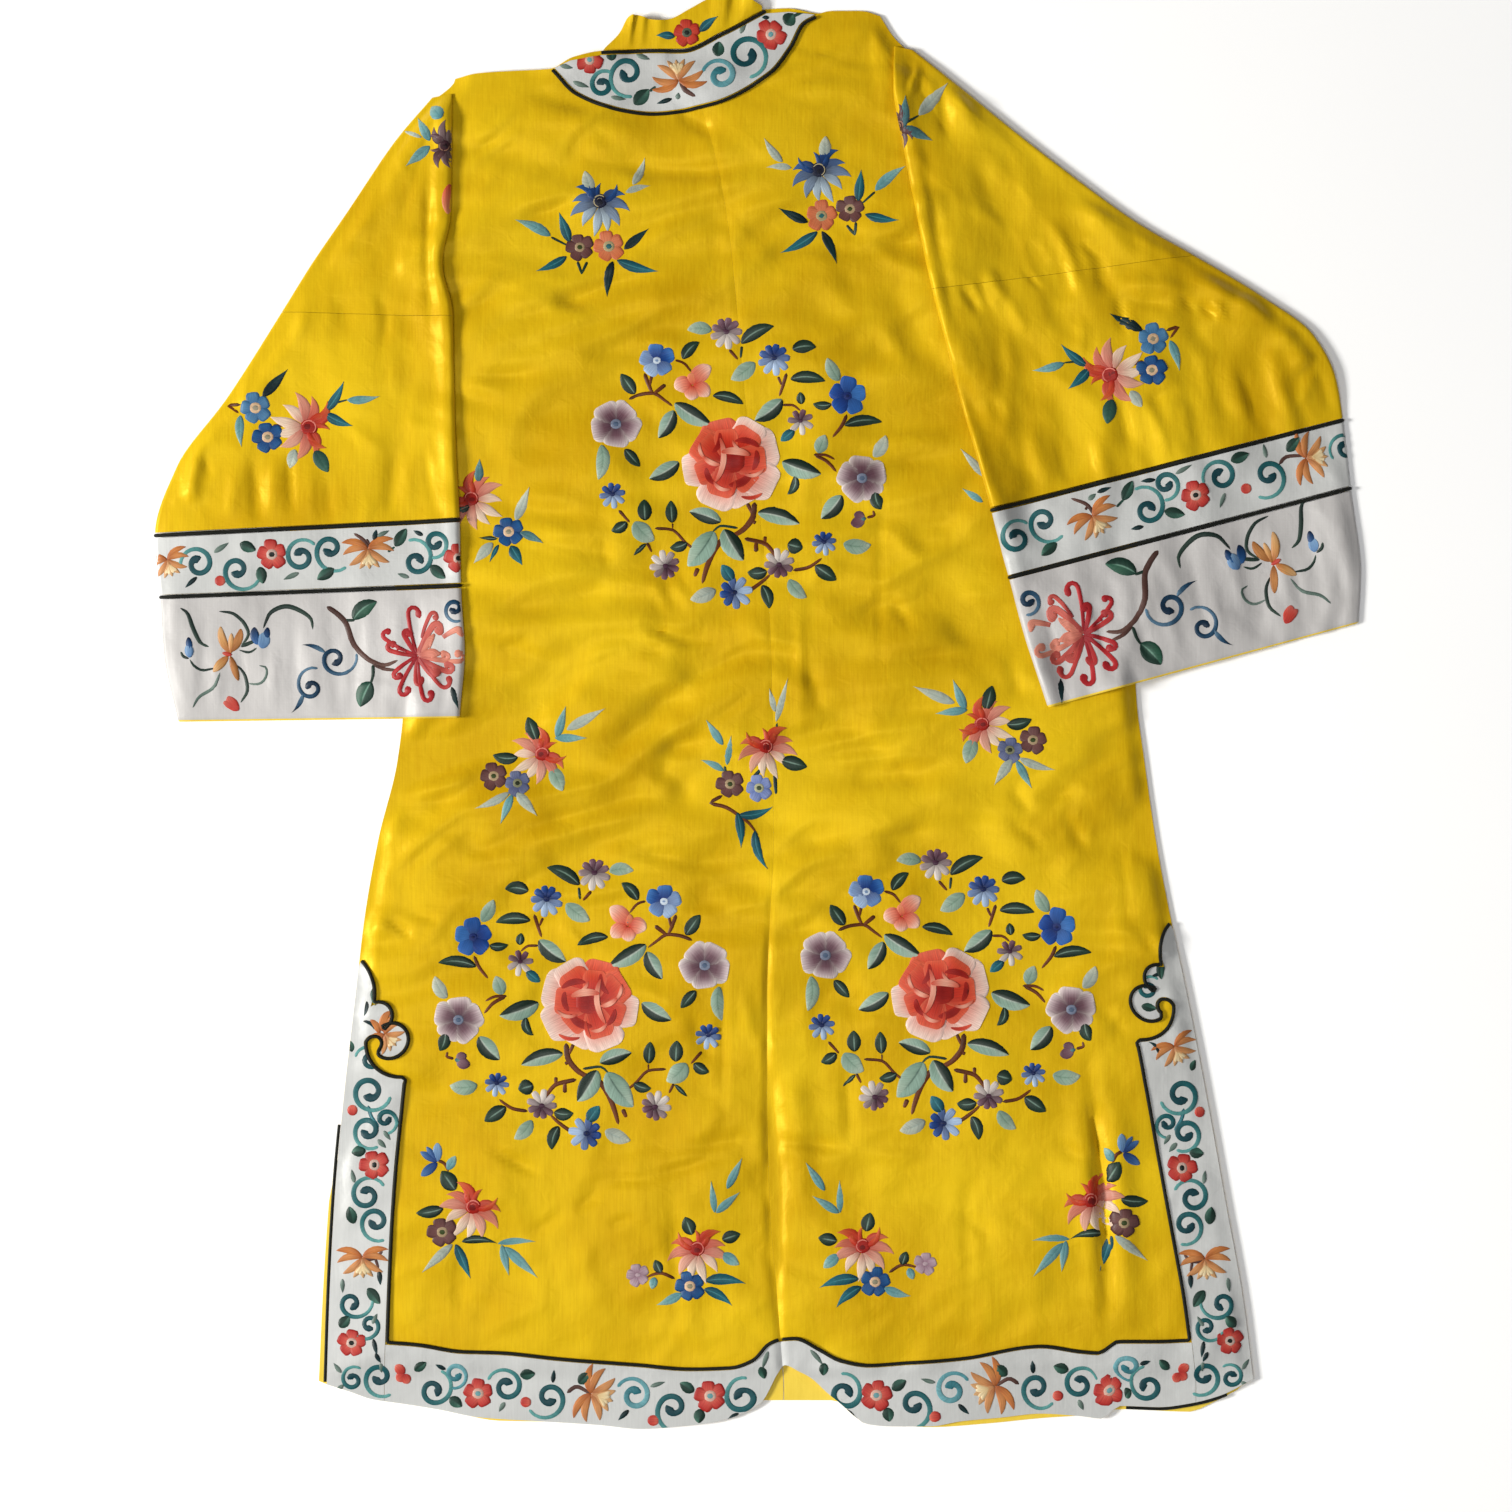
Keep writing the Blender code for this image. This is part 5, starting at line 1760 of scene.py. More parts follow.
@dataclass
class Borders:
    """White satin borders along the sides, the hem and the neck, with their black pipings."""

    body: Body
    wall: float = 1.0
    radius: float = 1.35
    edge_radius: float = 1.2
    outlines: dict = field(default_factory=dict)
    lines: dict = field(default_factory=dict)

    def sheet(self, name: str, outline: np.ndarray) -> bpy.types.Object:
        """Lay a border on the backs.

        Args:
            name: The CAD node it stands for.
            outline: Its outline, turning left.

        Returns:
            The piece.
        """
        plan, faces = Shop.fill(outline, 4.0)
        low = self.body.height(plan) + self.body.gap
        piece = Shop.shell(f"{name}_satin", plan, faces, low + self.wall, low, Cloths.WHITE)
        deliver(piece, name)
        return piece

    def piping(self, node: str, line: np.ndarray, radius: float, lift: float = 0.0) -> None:
        """Lay a piping on the backs.

        Args:
            node: The CAD node it stands for.
            line: Its plan places.
            radius: Its radius.
            lift: How much higher than on the back it lies.
        """
        line = even(line, 2.0)
        height = self.body.height(line) + radius + self.body.gap + lift
        deliver(Shop.cord(f"{node}_cord", line, height, radius), node)

    def side_edges(self, side_name: str, side: int, plan: np.ndarray) -> tuple[np.ndarray, np.ndarray]:
        """Draw a side border's two long edges.

        Args:
            side_name: left or right.
            side: -1 or 1.
            plan: The back's grid of plan places.

        Returns:
            Its inner edge, from the cloud head down, and its outer edge, from the hem up.
        """
        body = self.body
        foot = CLOUD_FOOT_Y[side_name]
        head = cloud_line()
        head_y = foot + head.imag
        head = body.edge(side, head_y) - side * (head.real + 1.0) + 1j * head_y
        heights = np.linspace(foot, plan[body.border_rows, body.border_columns].imag, 60)[1:]
        straight = body.edge(side, heights) - side * (body.border_width - body.gap) + 1j * heights
        heights = np.linspace(plan[0, 0].imag, head[0].imag, 90)[1:-1]
        return np.concatenate([head, straight]), body.edge(side, heights) + 1j * heights

    def make_sides(self, side_name: str, side: int, plan: np.ndarray) -> None:
        """Make a back's side border, hem border and their piping.

        Args:
            side_name: left or right.
            side: -1 or 1.
            plan: The back's grid of plan places.
        """
        rows, columns = self.body.border_rows, self.body.border_columns
        inner, outer = self.side_edges(side_name, side, plan)
        joint = plan[rows - 1 :: -1, columns] + side * self.body.gap
        outline = np.concatenate([inner, joint, plan[0, :columns][::-1], outer])
        piece = self.sheet(f"side_border_{side_name}", outline if side > 0 else outline[::-1])
        self.make_hem(side_name, side, plan[: rows + 1, columns:])
        self.draw_middles(side_name, side)
        self.outlines[side_name] = np.concatenate(
            [inner, plan[rows, columns:], plan[rows::-1, -1][1:], plan[0, ::-1], outer]
        )
        self.pipe_inner_edge(side_name, side, inner, plan[rows : rows + 2, columns:])

    def make_hem(self, side_name: str, side: int, plan: np.ndarray) -> None:
        """Make a hem border.

        Args:
            side_name: left or right.
            side: -1 or 1.
            plan: Its part of the back's grid.
        """
        faces = Shop.grid_faces(*plan.shape)
        flat = plan.ravel()
        low = self.body.height(flat) + self.body.gap
        piece = Shop.shell(
            f"hem_border_{side_name}_satin", flat, faces if side < 0 else faces[:, ::-1],
            low + self.wall, low, Cloths.WHITE,
        )
        deliver(piece, f"hem_border_{side_name}")

    def draw_middles(self, side_name: str, side: int) -> None:
        """Draw the middle lines of a side and a hem border, for the embroidery.

        Args:
            side_name: left or right.
            side: -1 or 1.
        """
        edge = self.body.edge
        heights = np.arange(-523, -262, 5.0)
        middle = edge(side, heights) - side * self.body.border_width / 2 + 1j * heights
        self.lines[f"side_{side_name}"] = middle
        spread = np.arange(-330, 12, 4.0) if side < 0 else np.arange(382, 12, -4.0)
        middle = spread + 0.5j * (BACK_HEM.between(spread) + HEM_BORDER.between(spread))
        self.lines[f"hem_{side_name}"] = middle

    def pipe_inner_edge(self, side_name: str, side: int, inner: np.ndarray, rows: np.ndarray) -> None:
        """Lay the piping along a side border's inner edge and a hem border's upper edge.

        Args:
            side_name: left or right.
            side: -1 or 1.
            inner: The side border's inner edge.
            rows: The back's grid along the hem border's upper edge, and the row above.
        """
        away = self.radius + self.body.gap
        # beside() moves a line to its left, so the right border's edge is mirrored for it and back
        line = inner if side < 0 else -inner.conj()
        line = beside(line, away)
        line = line if side < 0 else -line.conj()
        edge, step = rows[0], rows[1] - rows[0]
        line = line[line.imag > edge[0].imag + 2 * away]
        along = edge + step / np.abs(step) * (away + 0.2)
        along[0] -= side * away
        self.piping(f"border_piping_{side_name}", np.concatenate([line, along[:-1]]), self.radius)

    def make_turned_edges(self, left: np.ndarray, right: np.ndarray) -> None:
        """Make the black edge where it turns out into view.

        Args:
            left: The left back's grid of plan places.
            right: The right back's.
        """
        away = self.edge_radius + self.body.gap
        heights = np.linspace(BINDING_TOP_Y, left[0, 0].imag + 2.0, 60)
        line = self.body.edge(-1, heights) - away + 1j * heights
        drop = -self.body.wall - self.body.gap + 0.3
        self.piping("edge_piping_left", line, self.edge_radius, drop)
        hem = right[0, ::-1]
        hem = hem[(hem.real > HEM_BINDING_X[0]) & (hem.real < HEM_BINDING_X[1])]
        self.piping("edge_piping_right", hem - 1j * away, self.edge_radius, drop)

    def make_neck(self) -> None:
        """Make the crescent neck border and its two pipings."""
        gap = self.body.gap
        away = self.radius + gap
        outer_x = np.linspace(NECK_OUTER.rows[0].x, NECK_OUTER.rows[-1].x, 90)
        outer = outer_x + 1j * NECK_OUTER.at(outer_x)
        seam_x = np.linspace(NECK_SEAM.rows[-1].x, NECK_SEAM.rows[0].x, 60)
        seam = seam_x + 1j * NECK_SEAM.at(seam_x)
        self.piping("neck_piping_outer", outer, self.radius)
        self.piping("neck_piping_inner", beside(seam, away), self.radius)
        lower = even(beside(outer, away + 2 * gap), 3.0)
        upper = even(beside(seam, 2 * away + gap), 3.0)
        outline = np.concatenate([lower, [NECK_END_RIGHT], upper, [NECK_END_LEFT]])
        self.outlines["neck"] = outline
        spread = np.arange(-150, 32, 4.0)
        middle = spread + 1j * (0.52 * NECK_OUTER.between(spread) + 0.48 * NECK_SEAM.between(spread))
        self.lines["neck"] = middle
        piece = self.sheet("neck_border", outline)


@dataclass
class Collar:
    """Standing collar: its back lies over behind the neck, its front halves are pressed flat."""

    body: Body
    back_wall: float = 1.8
    front_scale: float = 0.58
    ease: float = 1.8
    points: np.ndarray | None = None
    heights: np.ndarray | None = None

    def top(self, place: np.ndarray) -> np.ndarray:
        """Find the height of the collar's back, eased between its points.

        Args:
            place: Plan places.

        Returns:
            The height at each.
        """
        away = np.abs(place[:, None] - self.points)
        weight = np.exp(-((away / self.ease) ** 2)) + 1e-9
        return (weight * self.heights).sum(axis=1) / weight.sum(axis=1) + 0.25

    def make(self) -> None:
        """Make the collar's three pieces."""
        self.make_back()
        self.make_front("left", -1)
        self.make_front("right", 1)

    def make_back(self) -> None:
        """Make the collar's back, which rises unevenly to its free edge."""
        gap = self.body.gap
        columns = np.linspace(COLLAR.rows[0].x, COLLAR.rows[-1].x, 80)
        foot = columns + 1j * (NECK_SEAM.at(columns) + gap)
        free = smooth(columns, COLLAR.column("x"), COLLAR.line("free_x", "free_y"))
        part = np.linspace(0, 1, 16)[:, None]
        plan = foot + (free - foot) * part
        top = self.body.back_top + gap + self.back_wall + COLLAR.at(columns, "lift") * part**0.8
        self.points, self.heights = plan.ravel(), top.ravel()
        piece = Shop.shell(
            "collar_back_satin", self.points, Shop.grid_faces(*plan.shape), self.heights,
            self.heights - self.back_wall, Cloths.YELLOW,
        )
        deliver(piece, "collar_back")

    def make_front(self, side_name: str, side: int) -> None:
        """Make one of the collar's front halves, a crescent within the neckline.

        Args:
            side_name: left or right.
            side: -1 or 1.
        """
        gap = self.body.gap
        turns = np.radians(np.linspace(0, 90, 24))
        scale = np.linspace(0.99, self.front_scale, 12)[:, None]
        plan = neckline(side, turns, scale, gap) + 2j * gap
        faces = Shop.grid_faces(*plan.shape)
        top = np.full(plan.size, self.body.front_top)
        piece = Shop.shell(
            f"collar_front_{side_name}_satin", plan.ravel(), faces[:, ::-1] if side > 0 else faces,
            top, top - self.body.wall, Cloths.YELLOW,
        )
        deliver(piece, f"collar_front_{side_name}")


@dataclass
class Sleeve:
    """A sleeve folded in over the back: a flattened tube with soft rolled edges."""

    # The cuffs take the copy of the white satin with painted shade
    CLOTHS = {"sleeve_band": Cloths.WHITE, "cuff": Cloths.CUFF}

    side_name: str
    sections: Table
    creases: Table
    body: Body
    rim: float = 4.6
    rim_width: float = 7.0
    slack: float = 1.3
    highest: float = 12.0
    wall: float = 1.1
    inner_roll: float = 3.6
    outer_roll: float = 2.4
    spacing: float = 3.4
    ring_width: float = 3.6
    lining_edge: float = 1.3
    fold_gain: float = 1.5

    def __post_init__(self) -> None:
        """Work out the edges."""
        rows = np.linspace(0, len(self.sections.rows) - 1, 90)
        ends = [self.ends(row) for row in rows]
        self.inner_edge = np.array([inner for inner, _ in ends])
        self.outer_edge = np.array([outer for _, outer in ends])
        # The left sleeve lies smooth, the right one less so
        seed, heading, unrest = (23, 95, 0.4) if self.side_name == "left" else (37, 112, 0.75)
        self.ripple = Ripple(seed, 24, 190, 0.005 * unrest, heading, 45)
        self.crumple = Crumple(seed + 60, heading, 16, 0.12 * unrest)

    def ends(self, row: float) -> tuple[complex, complex]:
        """Find the ends of a cross line.

        Args:
            row: Its row, which may be a fraction.

        Returns:
            Its inner and its outer end.
        """
        index = np.arange(len(self.sections.rows))
        inner = self.sections.line("inner_x", "inner_y")
        outer = self.sections.line("outer_x", "outer_y")
        return complex(smooth(row, index, inner)), complex(smooth(row, index, outer))

    def middle(self, row: int) -> np.ndarray:
        """Return the line midway between a cross line and the next, from the inner edge out."""
        return (np.array(self.ends(row)) + np.array(self.ends(row + 1))) / 2

    def floor(self, place: np.ndarray) -> np.ndarray:
        """Find the height of the sleeve's underside: on the back, and from there down to the floor.

        Args:
            place: Plan places.

        Returns:
            The height at each.
        """
        away = outside(place, self.body.outline)
        on_body = self.body.height(place) + self.body.gap
        return on_body * (1.0 - smoothstep((away - 8.0) / 40.0))

    def thick(self, place: np.ndarray, near: np.ndarray, far: np.ndarray) -> np.ndarray:
        """Find the flattened tube's full thickness.

        Args:
            place: Plan places.
            near: Their distances to the inner edge.
            far: Their distances to the outer edge.

        Returns:
            The thickness at each.
        """
        folds = self.fold_gain * crease_height(place, self.creases)
        folds += self.ripple.height(place) + self.crumple.height(place)
        ease = smoothstep(np.minimum(near, far) / 12.0)
        start = line_distance(place, np.array([self.inner_edge[0], self.outer_edge[0]]))
        uneven = 0.75 + 0.25 * np.sin(place.imag / 23.0)
        rim = self.rim * uneven * np.exp(-((np.maximum(near - 4.0, 0) / self.rim_width) ** 2))
        body = self.slack + 1.2 * ease + folds * ease
        body = 0.5 * (body + np.sqrt(body**2 + 0.3))
        # A soft limit keeps crossing folds from standing too high
        full = self.highest * np.tanh((body + rim) / self.highest)
        return 2 * self.wall + full * smoothstep((start + 4) / 30.0)

    def faces_of(self, place: np.ndarray, inset: float = 0.0) -> tuple[np.ndarray, np.ndarray]:
        """Find the two faces of the flattened tube.

        Args:
            place: Plan places inside the sleeve's outline.
            inset: 0 for its outside, the wall for its inside.

        Returns:
            The heights of its top and its underside.
        """
        near = line_distance(place, self.inner_edge)
        far = line_distance(place, self.outer_edge)
        thick = self.thick(place, near, far)
        low = self.floor(place)
        half = thick / 2
        round_near = 1 - np.clip((near - inset) / (self.inner_roll - inset), 0, 1)
        round_far = 1 - np.clip((far - inset) / (self.outer_roll - inset), 0, 1)
        share = np.sqrt(1 - round_near**2) * np.sqrt(1 - round_far**2)
        reach = np.maximum(half - inset, 0.15) * share
        return low + half + reach, low + half - reach

    def top(self, place: np.ndarray) -> np.ndarray:
        """Return the height of the sleeve's upper face."""
        return self.faces_of(place)[0]

    def shift(self, row: float, distance: float) -> float:
        """Move a row along the sleeve.

        Args:
            row: The row, which may be a fraction.
            distance: How far, in millimetres.

        Returns:
            The new row.
        """
        before, after = max(row - 0.5, 0.0), min(row + 0.5, len(self.sections.rows) - 1.0)
        middle = [sum(self.ends(at)) / 2 for at in (before, after)]
        return row + distance * (after - before) / abs(middle[1] - middle[0])

    def loop(self, row: float, count: int, inset: float = 0.0) -> tuple[np.ndarray, np.ndarray]:
        """Lay a loop of points round the sleeve.

        Args:
            row: Where along the sleeve.
            count: Points across its top.
            inset: 0 for its outside, the wall for its inside.

        Returns:
            The plan places and heights, along the top and back along the underside.
        """
        inner, outer = self.ends(row)
        width = abs(outer - inner)
        turns = np.radians([0, 20, 40, 60, 80])
        near = inset + (self.inner_roll - inset) * (1 - np.cos(turns))
        far = inset + (self.outer_roll - inset) * (1 - np.cos(turns))
        room = min(1.0, 0.45 * width / (self.inner_roll + self.outer_roll))
        near, far = near * room, far * room
        middle = np.linspace(self.inner_roll * room * 1.15, width - self.outer_roll * room * 1.15, count)
        across = np.concatenate([near, middle, width - far[::-1]])
        plan = inner + across / width * (outer - inner)
        high, low = self.faces_of(plan, inset)
        back = slice(-2, 0, -1)
        return np.concatenate([plan, plan[back]]), np.concatenate([high, low[back]])

    def make(self) -> None:
        """Make the sleeve's parts and the pipings between them."""
        parts = SLEEVE_PARTS[self.side_name]
        for number, (part, first, last) in enumerate(parts):
            piped_before = part in ("sleeve_band", "cuff")
            piped_after = part in ("sleeve_extension", "sleeve_band")
            half_ring = self.ring_width / 2 + self.body.gap
            start = self.shift(first, half_ring if piped_before else self.body.gap / 2)
            end = self.shift(last, -half_ring if piped_after else -self.body.gap / 2)
            start = float(first) if number == 0 else start
            end = float(last) if number == len(parts) - 1 else end
            self.make_part(part, start, end)
            if piped_before:
                self.make_ring("upper" if part == "sleeve_band" else "lower", first)

    def make_part(self, part: str, start: float, end: float) -> None:
        """Make one part of the tube.

        Args:
            part: The part's name without the side.
            start: Its first row.
            end: Its last row.
        """
        ends = [self.ends(row) for row in np.linspace(start, end, 40)]
        width = max(abs(outer - inner) for inner, outer in ends)
        length = sum(abs(sum(b) - sum(a)) / 2 for a, b in zip(ends[:-1], ends[1:]))
        rows = max(4, round(length / self.spacing) + 1)
        count = max(8, round(width / self.spacing))
        # The lining shows as a thin line below a cuff
        shown = self.shift(end, -self.lining_edge) if part == "cuff" else end
        sides = [
            [Shop.lift(*self.loop(row, count, inset)) for row in np.linspace(start, last, rows)]
            for inset, last in ((0.0, shown), (self.wall, end))
        ]
        around = len(sides[0][0])
        faces = self.tube_faces(rows, around)
        if self.side_name == "left":
            faces = faces[:, ::-1]
        name = f"{part}_{self.side_name}"
        cloths = [self.CLOTHS.get(part, Cloths.YELLOW), Cloths.LINING]
        piece = Shop.mesh(f"{name}_satin", np.concatenate(sides[0] + sides[1]), faces.tolist(), cloths)
        number = np.zeros(len(faces), int)
        skin = (rows - 1) * around
        number[skin : 2 * skin] = 1
        if part == "cuff":
            number[-around:] = 1
        piece.data.polygons.foreach_set("material_index", number)
        deliver(piece, name)

    @staticmethod
    def tube_faces(rows: int, around: int) -> np.ndarray:
        """Number the faces of a tube with a wall.

        Args:
            rows: Loops of points, as many outside as inside.
            around: Points in a loop.

        Returns:
            The faces outside, inside, and round the first and the last rim.
        """
        skin = Shop.grid_faces(rows, around, around=True)
        total = rows * around
        edge = np.arange(around)
        after = (edge + 1) % around
        base = total - around
        first = np.stack([after, edge, edge + total, after + total], -1)
        last = np.stack([base + edge, base + after, base + after + total, base + edge + total], -1)
        return np.concatenate([skin, skin[:, ::-1] + total, first, last])

    def make_ring(self, which: str, row: float) -> None:
        """Make the piping that runs round the sleeve.

        Args:
            which: upper or lower.
            row: Its row.
        """
        plan, height = self.loop(row, 60, inset=self.wall * 0.35)
        node = f"sleeve_piping_{which}_{self.side_name}"
        underneath = np.arange(len(plan)) > len(plan) / 2
        height = np.where(underneath, height + 0.9, height + 0.5)
        deliver(Shop.cord(f"{node}_cord", plan, height, 1.4, closed=True), node)


# Silk floss shades: from a shape's base to its tip, at its rim, along its vein and in its other half
FLOSS = Table("""look base middle tip rim vein half
dark #101f17 #182c22 #223b2c - #8aa898
half #74907f #8aa696 #a4b6a4 - #c6d0c4 #14261d
pale #769080 #8aa290 #a2b2a0 - #64826f
broad #6a8a78 #8aa492 #a2b2a0 - #203f34 #86a292
mid #23413a #2f5549 #3c6455
bandleaf #1c3a30 #2a5044 #4b7464 - - #1b352c
cuffleaf #1a3c31 #28523f #35634f - #86b09c #1a352b
teal #0f3b46 #185662 #28707c - #4a9098
scrollteal #5c9c98 #1c5c60 #0f3a42
tealpale #4a8790 #699fa6 #2a6973
sky #52848a #6c9a9c #8caea6 - #4c8086
ash #969f94 #a8b0a2 #b8bca8 - #8c9c94
steel #385c62 #4d767a #6a8f8e
night #0b1a1b #0f282b #173a3d
navy #5a7b93 #1c435f #0e263b
mist #74847c #5e7269 #485c54
tendril #1a2824 #22342d #2e4238
brown #4a2610 #653112 #713d19
bark #452d27 #543730 #62463e
green #182a22 #20372b #284231
cuffstem #1e332a #1e332a #1e332a
mauve #381e2e #66444f #bca6aa #e6ded6
mauveplum #74504c #67423f #5d3836 #432628
mauvedaisy #2a131f #51303e #745260 - - #d2c8c0
mauvebud #86696f #6a4854 #573844
lilacplum #8a6676 #a68a96 #b8a2aa #8c6c7a
violetplum #3a3c5c #5a6284 #6a7290 #444a6c
paleplum #4a5f9a #7585b8 #8694c0 #5f70a8
blue #0e2260 #164286 #3870b2 - - #a8bed8
deepblue #0a1848 #10357c #1a4c9a - - #3a74b8
bluedaisy #0a1238 #14306c #284f92 - - #a2b8d4
blueplum #12386a #17477c #225a8e #0d2c5a
paleblueplum #2b5a86 #3f7099 #5282a6 #28547e
coralplum #c87c58 #cc744c #c86a42 #a84e32
redplum #d8806c #c4453a #b02c28 #861c1c
redteal #d8806c #c4453a #b02c28 #861c1c
collarplum #cc4c34 #c23c28 #b43022 #96241c
coral #c03a28 #dc8066 #ecc0ac
coralpetal #c85038 #d67250 #da8862
corallotus #a41c12 #bc3a20 #c86432 - - #e0c6ae
bluelotus #0a1028 #1a3c70 #2e5a94 - - #a0b0ba
brownlotus #2c181e #4c3034 #6c4c50 - - #988480
lily #a05428 #c47a40 #ac6434 - - #dcc08c
lilyheart #d0ac78 #dfc696 #e6d2aa
peony #a81e10 #d2553a #e8c0ae #efd8cc - #ebd8ce
peonyred #9a160c #bc2a18 #d2482c #da6a4c - #d46c50
peonydeep #9c1c12 #840f0a #9c1c12 #a82618
peonyfold #c44a36 #e8a48c #cc5c46
orange #a8602c #cf985c #d8ae7c #a8703c
orangedark #8c5022 #b87c46 #a86c38 #8c5628
redbud #b2342d #c04236 #c46054
bluebud #2c5c94 #16406e #0a1e3c
bluepetal #203c78 #30548a #4870a4
skypetal #587ca8 #688cb4 #7b9cbc
berry #a42e2a #bc4236 #ce6656
mum #8e1a24 #b0282c #9f2026 - - #d98c76""", ("-", "-", "-"))
FLOSS_BY_LOOK = {row.look: row for row in FLOSS.rows}
# Flower centres: a ring, and the dot inside it
EYES = {
    "mauveplum": ("#a48c6c", "#37431f"),
    "violetplum": ("#76775c", "#2a3020"),
    "paleplum": ("#b0b08c", "#3c4a30"),
    "blueplum": ("#cfae8c", "#8c8670"),
    "paleblueplum": ("#d2b08c", "#948c78"),
    "coralplum": ("#a89870", "#2c6468"),
    "redplum": ("#c4a89c", "#141c18"),
    "redteal": ("#d0a898", "#6a9ca0"),
    "collarplum": ("#4c5848", "#121a16"),
    "mauve": ("#70788c", "#4c5c74"),
    "lilacplum": ("#b49ca4", "#6c4c5c"),
    "blue": ("#c4d0dc", "#7c94b8"),
    "deepblue": ("#1a2c68", "#101c4c"),
    "bluedaisy": ("#18244e", "#0e1636"),
    "mauvedaisy": ("#46283a", "#2c1822"),
}
# A lotus's cup, its hollow, and the curled line over it
CUPS = {
    "corallotus": ("#98190f", "#700d08", "#d8786a"),
    "bluelotus": ("#10142c", "#0a0c1c", "#a89c78"),
    "brownlotus": ("#3a1f26", "#221216", "#8a6450"),
}
LOTUS_PETALS = Table("""turn size wide pale bend layer
180 1 0.15 1 0.05 1
152 0.84 0.15 0.9 -0.12 0
-154 0.88 0.15 1 0.12 0
122 0.98 0.17 0.35 -0.16 1
-126 0.9 0.17 0.5 0.14 2
94 0.84 0.15 0.15 -0.22 0
-92 0.98 0.17 0.25 0.2 1
64 0.92 0.17 0 -0.26 2
-60 0.86 0.16 0.05 0.24 1
34 0.7 0.12 0 0.2 3
-30 0.84 0.12 0 -0.2 3
6 0.66 0.1 0 0.16 2""")
PEONY_PETALS = Table("""x y angle size wide bend look pale layer
2 5 14 36 17 0 peony 0.9 0
4 -4 -26 35 16 0 peony 1 1
0 -8 -62 28 14 0 peony 0.95 0
-4 -7 -112 31 16 0 peony 0.9 1
-8 -2 189 31 14 0 peony 0.55 0
4 6 60 31 14 0 peony 0.5 1
-4 4 104 31 16 0 peonyred 0.6 0
-4 3 148 29 15 0 peonyred 0.5 1
1 3 56 28 13 0 peonyred 0.05 2
0 0 6 28 13 0 peonyred 0.1 3
0 -2 -42 24 12 0 peonyred 0.3 2
-3 -3 -106 25 12 0 peonyred 0.2 3
-5 -2 -160 24 11 0 peonyred 0.1 2
-6 3 138 23 12 0 peonyred 0.1 3
-3 4 94 23 10 0 peonyred 0 4
-15 8 70 17 3 -0.16 peonydeep 0 5
3 17 -14 20 3.2 0.14 peonydeep 0 5
17 -6 80 16 3 -0.12 peonydeep 0 5
-2 -18 28 20 3.6 -0.14 peonydeep 0 5
-20 -4 -62 15 2.8 -0.14 peonydeep 0 5
-9 20 -96 36 3 0.14 peonyfold 0 7
-8 8 -6 23 3.4 0.1 peonyfold 0 8
-22 5 -27 15 2.6 -0.12 peonyfold 0 7
-25 16 -70 14 1.8 -0.15 peonyfold 0 6
1 18 -42 16 1.8 -0.15 peonyfold 0 6
10 -9 15 17 1.9 -0.2 peonyfold 0 6
-14 -15 -25 15 2 -0.2 peonyfold 0 6
3 -14 -105 13 1.8 0.1 peonyred 0.3 6
8 -27 9 17 2 -0.14 peonyred 0 4""")
MUM_PETALS = Table("""angle start size curl wide pale
112 0 52 -225 1.3 0
78 14 30 -215 1.3 0.2
72 0 40 -225 2 0.35
133 0 30 -250 1.6 0
158 8 33 -190 1.3 0
178 0 34 -225 1.5 0.05
158 0 18 0 1 0
206 0 34 235 1.4 0
232 0 45 235 1.4 0
256 0 31 255 1.5 0.05
270 4 44 225 1.4 0
300 0 45 190 1.3 0.1
302 0 26 170 2.4 0.2
322 0 40 250 1.7 0.25
342 0 33 245 1.5 0.8
345 6 42 235 1.5 0.9
60 0 18 -90 3.2 0.8
14 0 16 -90 2.8 0.75
36 24 20 -190 1.8 0.95""")


@cache
def shade(colour: str) -> np.ndarray:
    """Return a hex colour's linear red, green and blue."""
    return np.array(linear(colour)[:3])


def mix(first: np.ndarray, second: np.ndarray, share: np.ndarray) -> np.ndarray:
    """Return a blend: all the first colour at a share of 0, all the second at 1."""
    return first * (1 - share) + second * share


@dataclass(frozen=True)
class Floss:
    """Silk floss, laid in satin stitch: close parallel threads with a fine bright streak.

    A laid thread is about 0.35 mm wide, too fine to show, so the streaks are drawn a thread
    apart, in millimetres.
    """

    name: str = "silk_floss"
    thread: float = 0.8
    roughness: float = 0.42

    def material(self) -> bpy.types.Material:
        """Make the floss's material, once.

        Returns:
            The material.
        """
        if self.name in bpy.data.materials:
            return bpy.data.materials[self.name]
        material, tree, shader = new_material(self.name)
        stitch = add_node(tree, "ShaderNodeUVMap", uv_map="stitch").outputs["UV"]
        across = add_node(
            tree, "ShaderNodeMapping", {"Vector": stitch, "Scale": (1 / self.thread, 0.07, 1.0)}
        ).outputs["Vector"]
        streak = noise(tree, across, 1.0, 2.0, Roughness=0.7)
        floss = add_node(tree, "ShaderNodeAttribute", attribute_name="floss").outputs["Color"]
        tone = add_node(
            tree, "ShaderNodeMapRange",
            {"Value": streak, "From Min": 0.25, "From Max": 0.75, "To Min": 0.6, "To Max": 1.04},
        ).outputs["Result"]
        colour = add_node(tree, "ShaderNodeVectorMath", {0: floss, "Scale": tone}, operation="SCALE")
        bump = add_node(tree, "ShaderNodeBump", {"Strength": 0.35, "Distance": 0.0003, "Height": streak})
        # The threads' hollows shade each other, so the sheaf shines less than one thread
        fill_inputs(tree, shader, {
            "Base Color": colour.outputs[0], "Normal": bump.outputs["Normal"],
            "Roughness": self.roughness, "IOR": SILK_IOR, "Specular IOR Level": 0.18,
        })
        return material


@dataclass(frozen=True)
class Hoop:
    """Where a motif is worked: its middle, its turn and size, and whether it is mirrored."""

    middle: complex
    turn: complex = 1.0
    mirror: bool = False

    def put(self, place: np.ndarray) -> np.ndarray:
        """Return a motif's own places as plan places."""
        return self.middle + self.turn * (place.conj() if self.mirror else place)


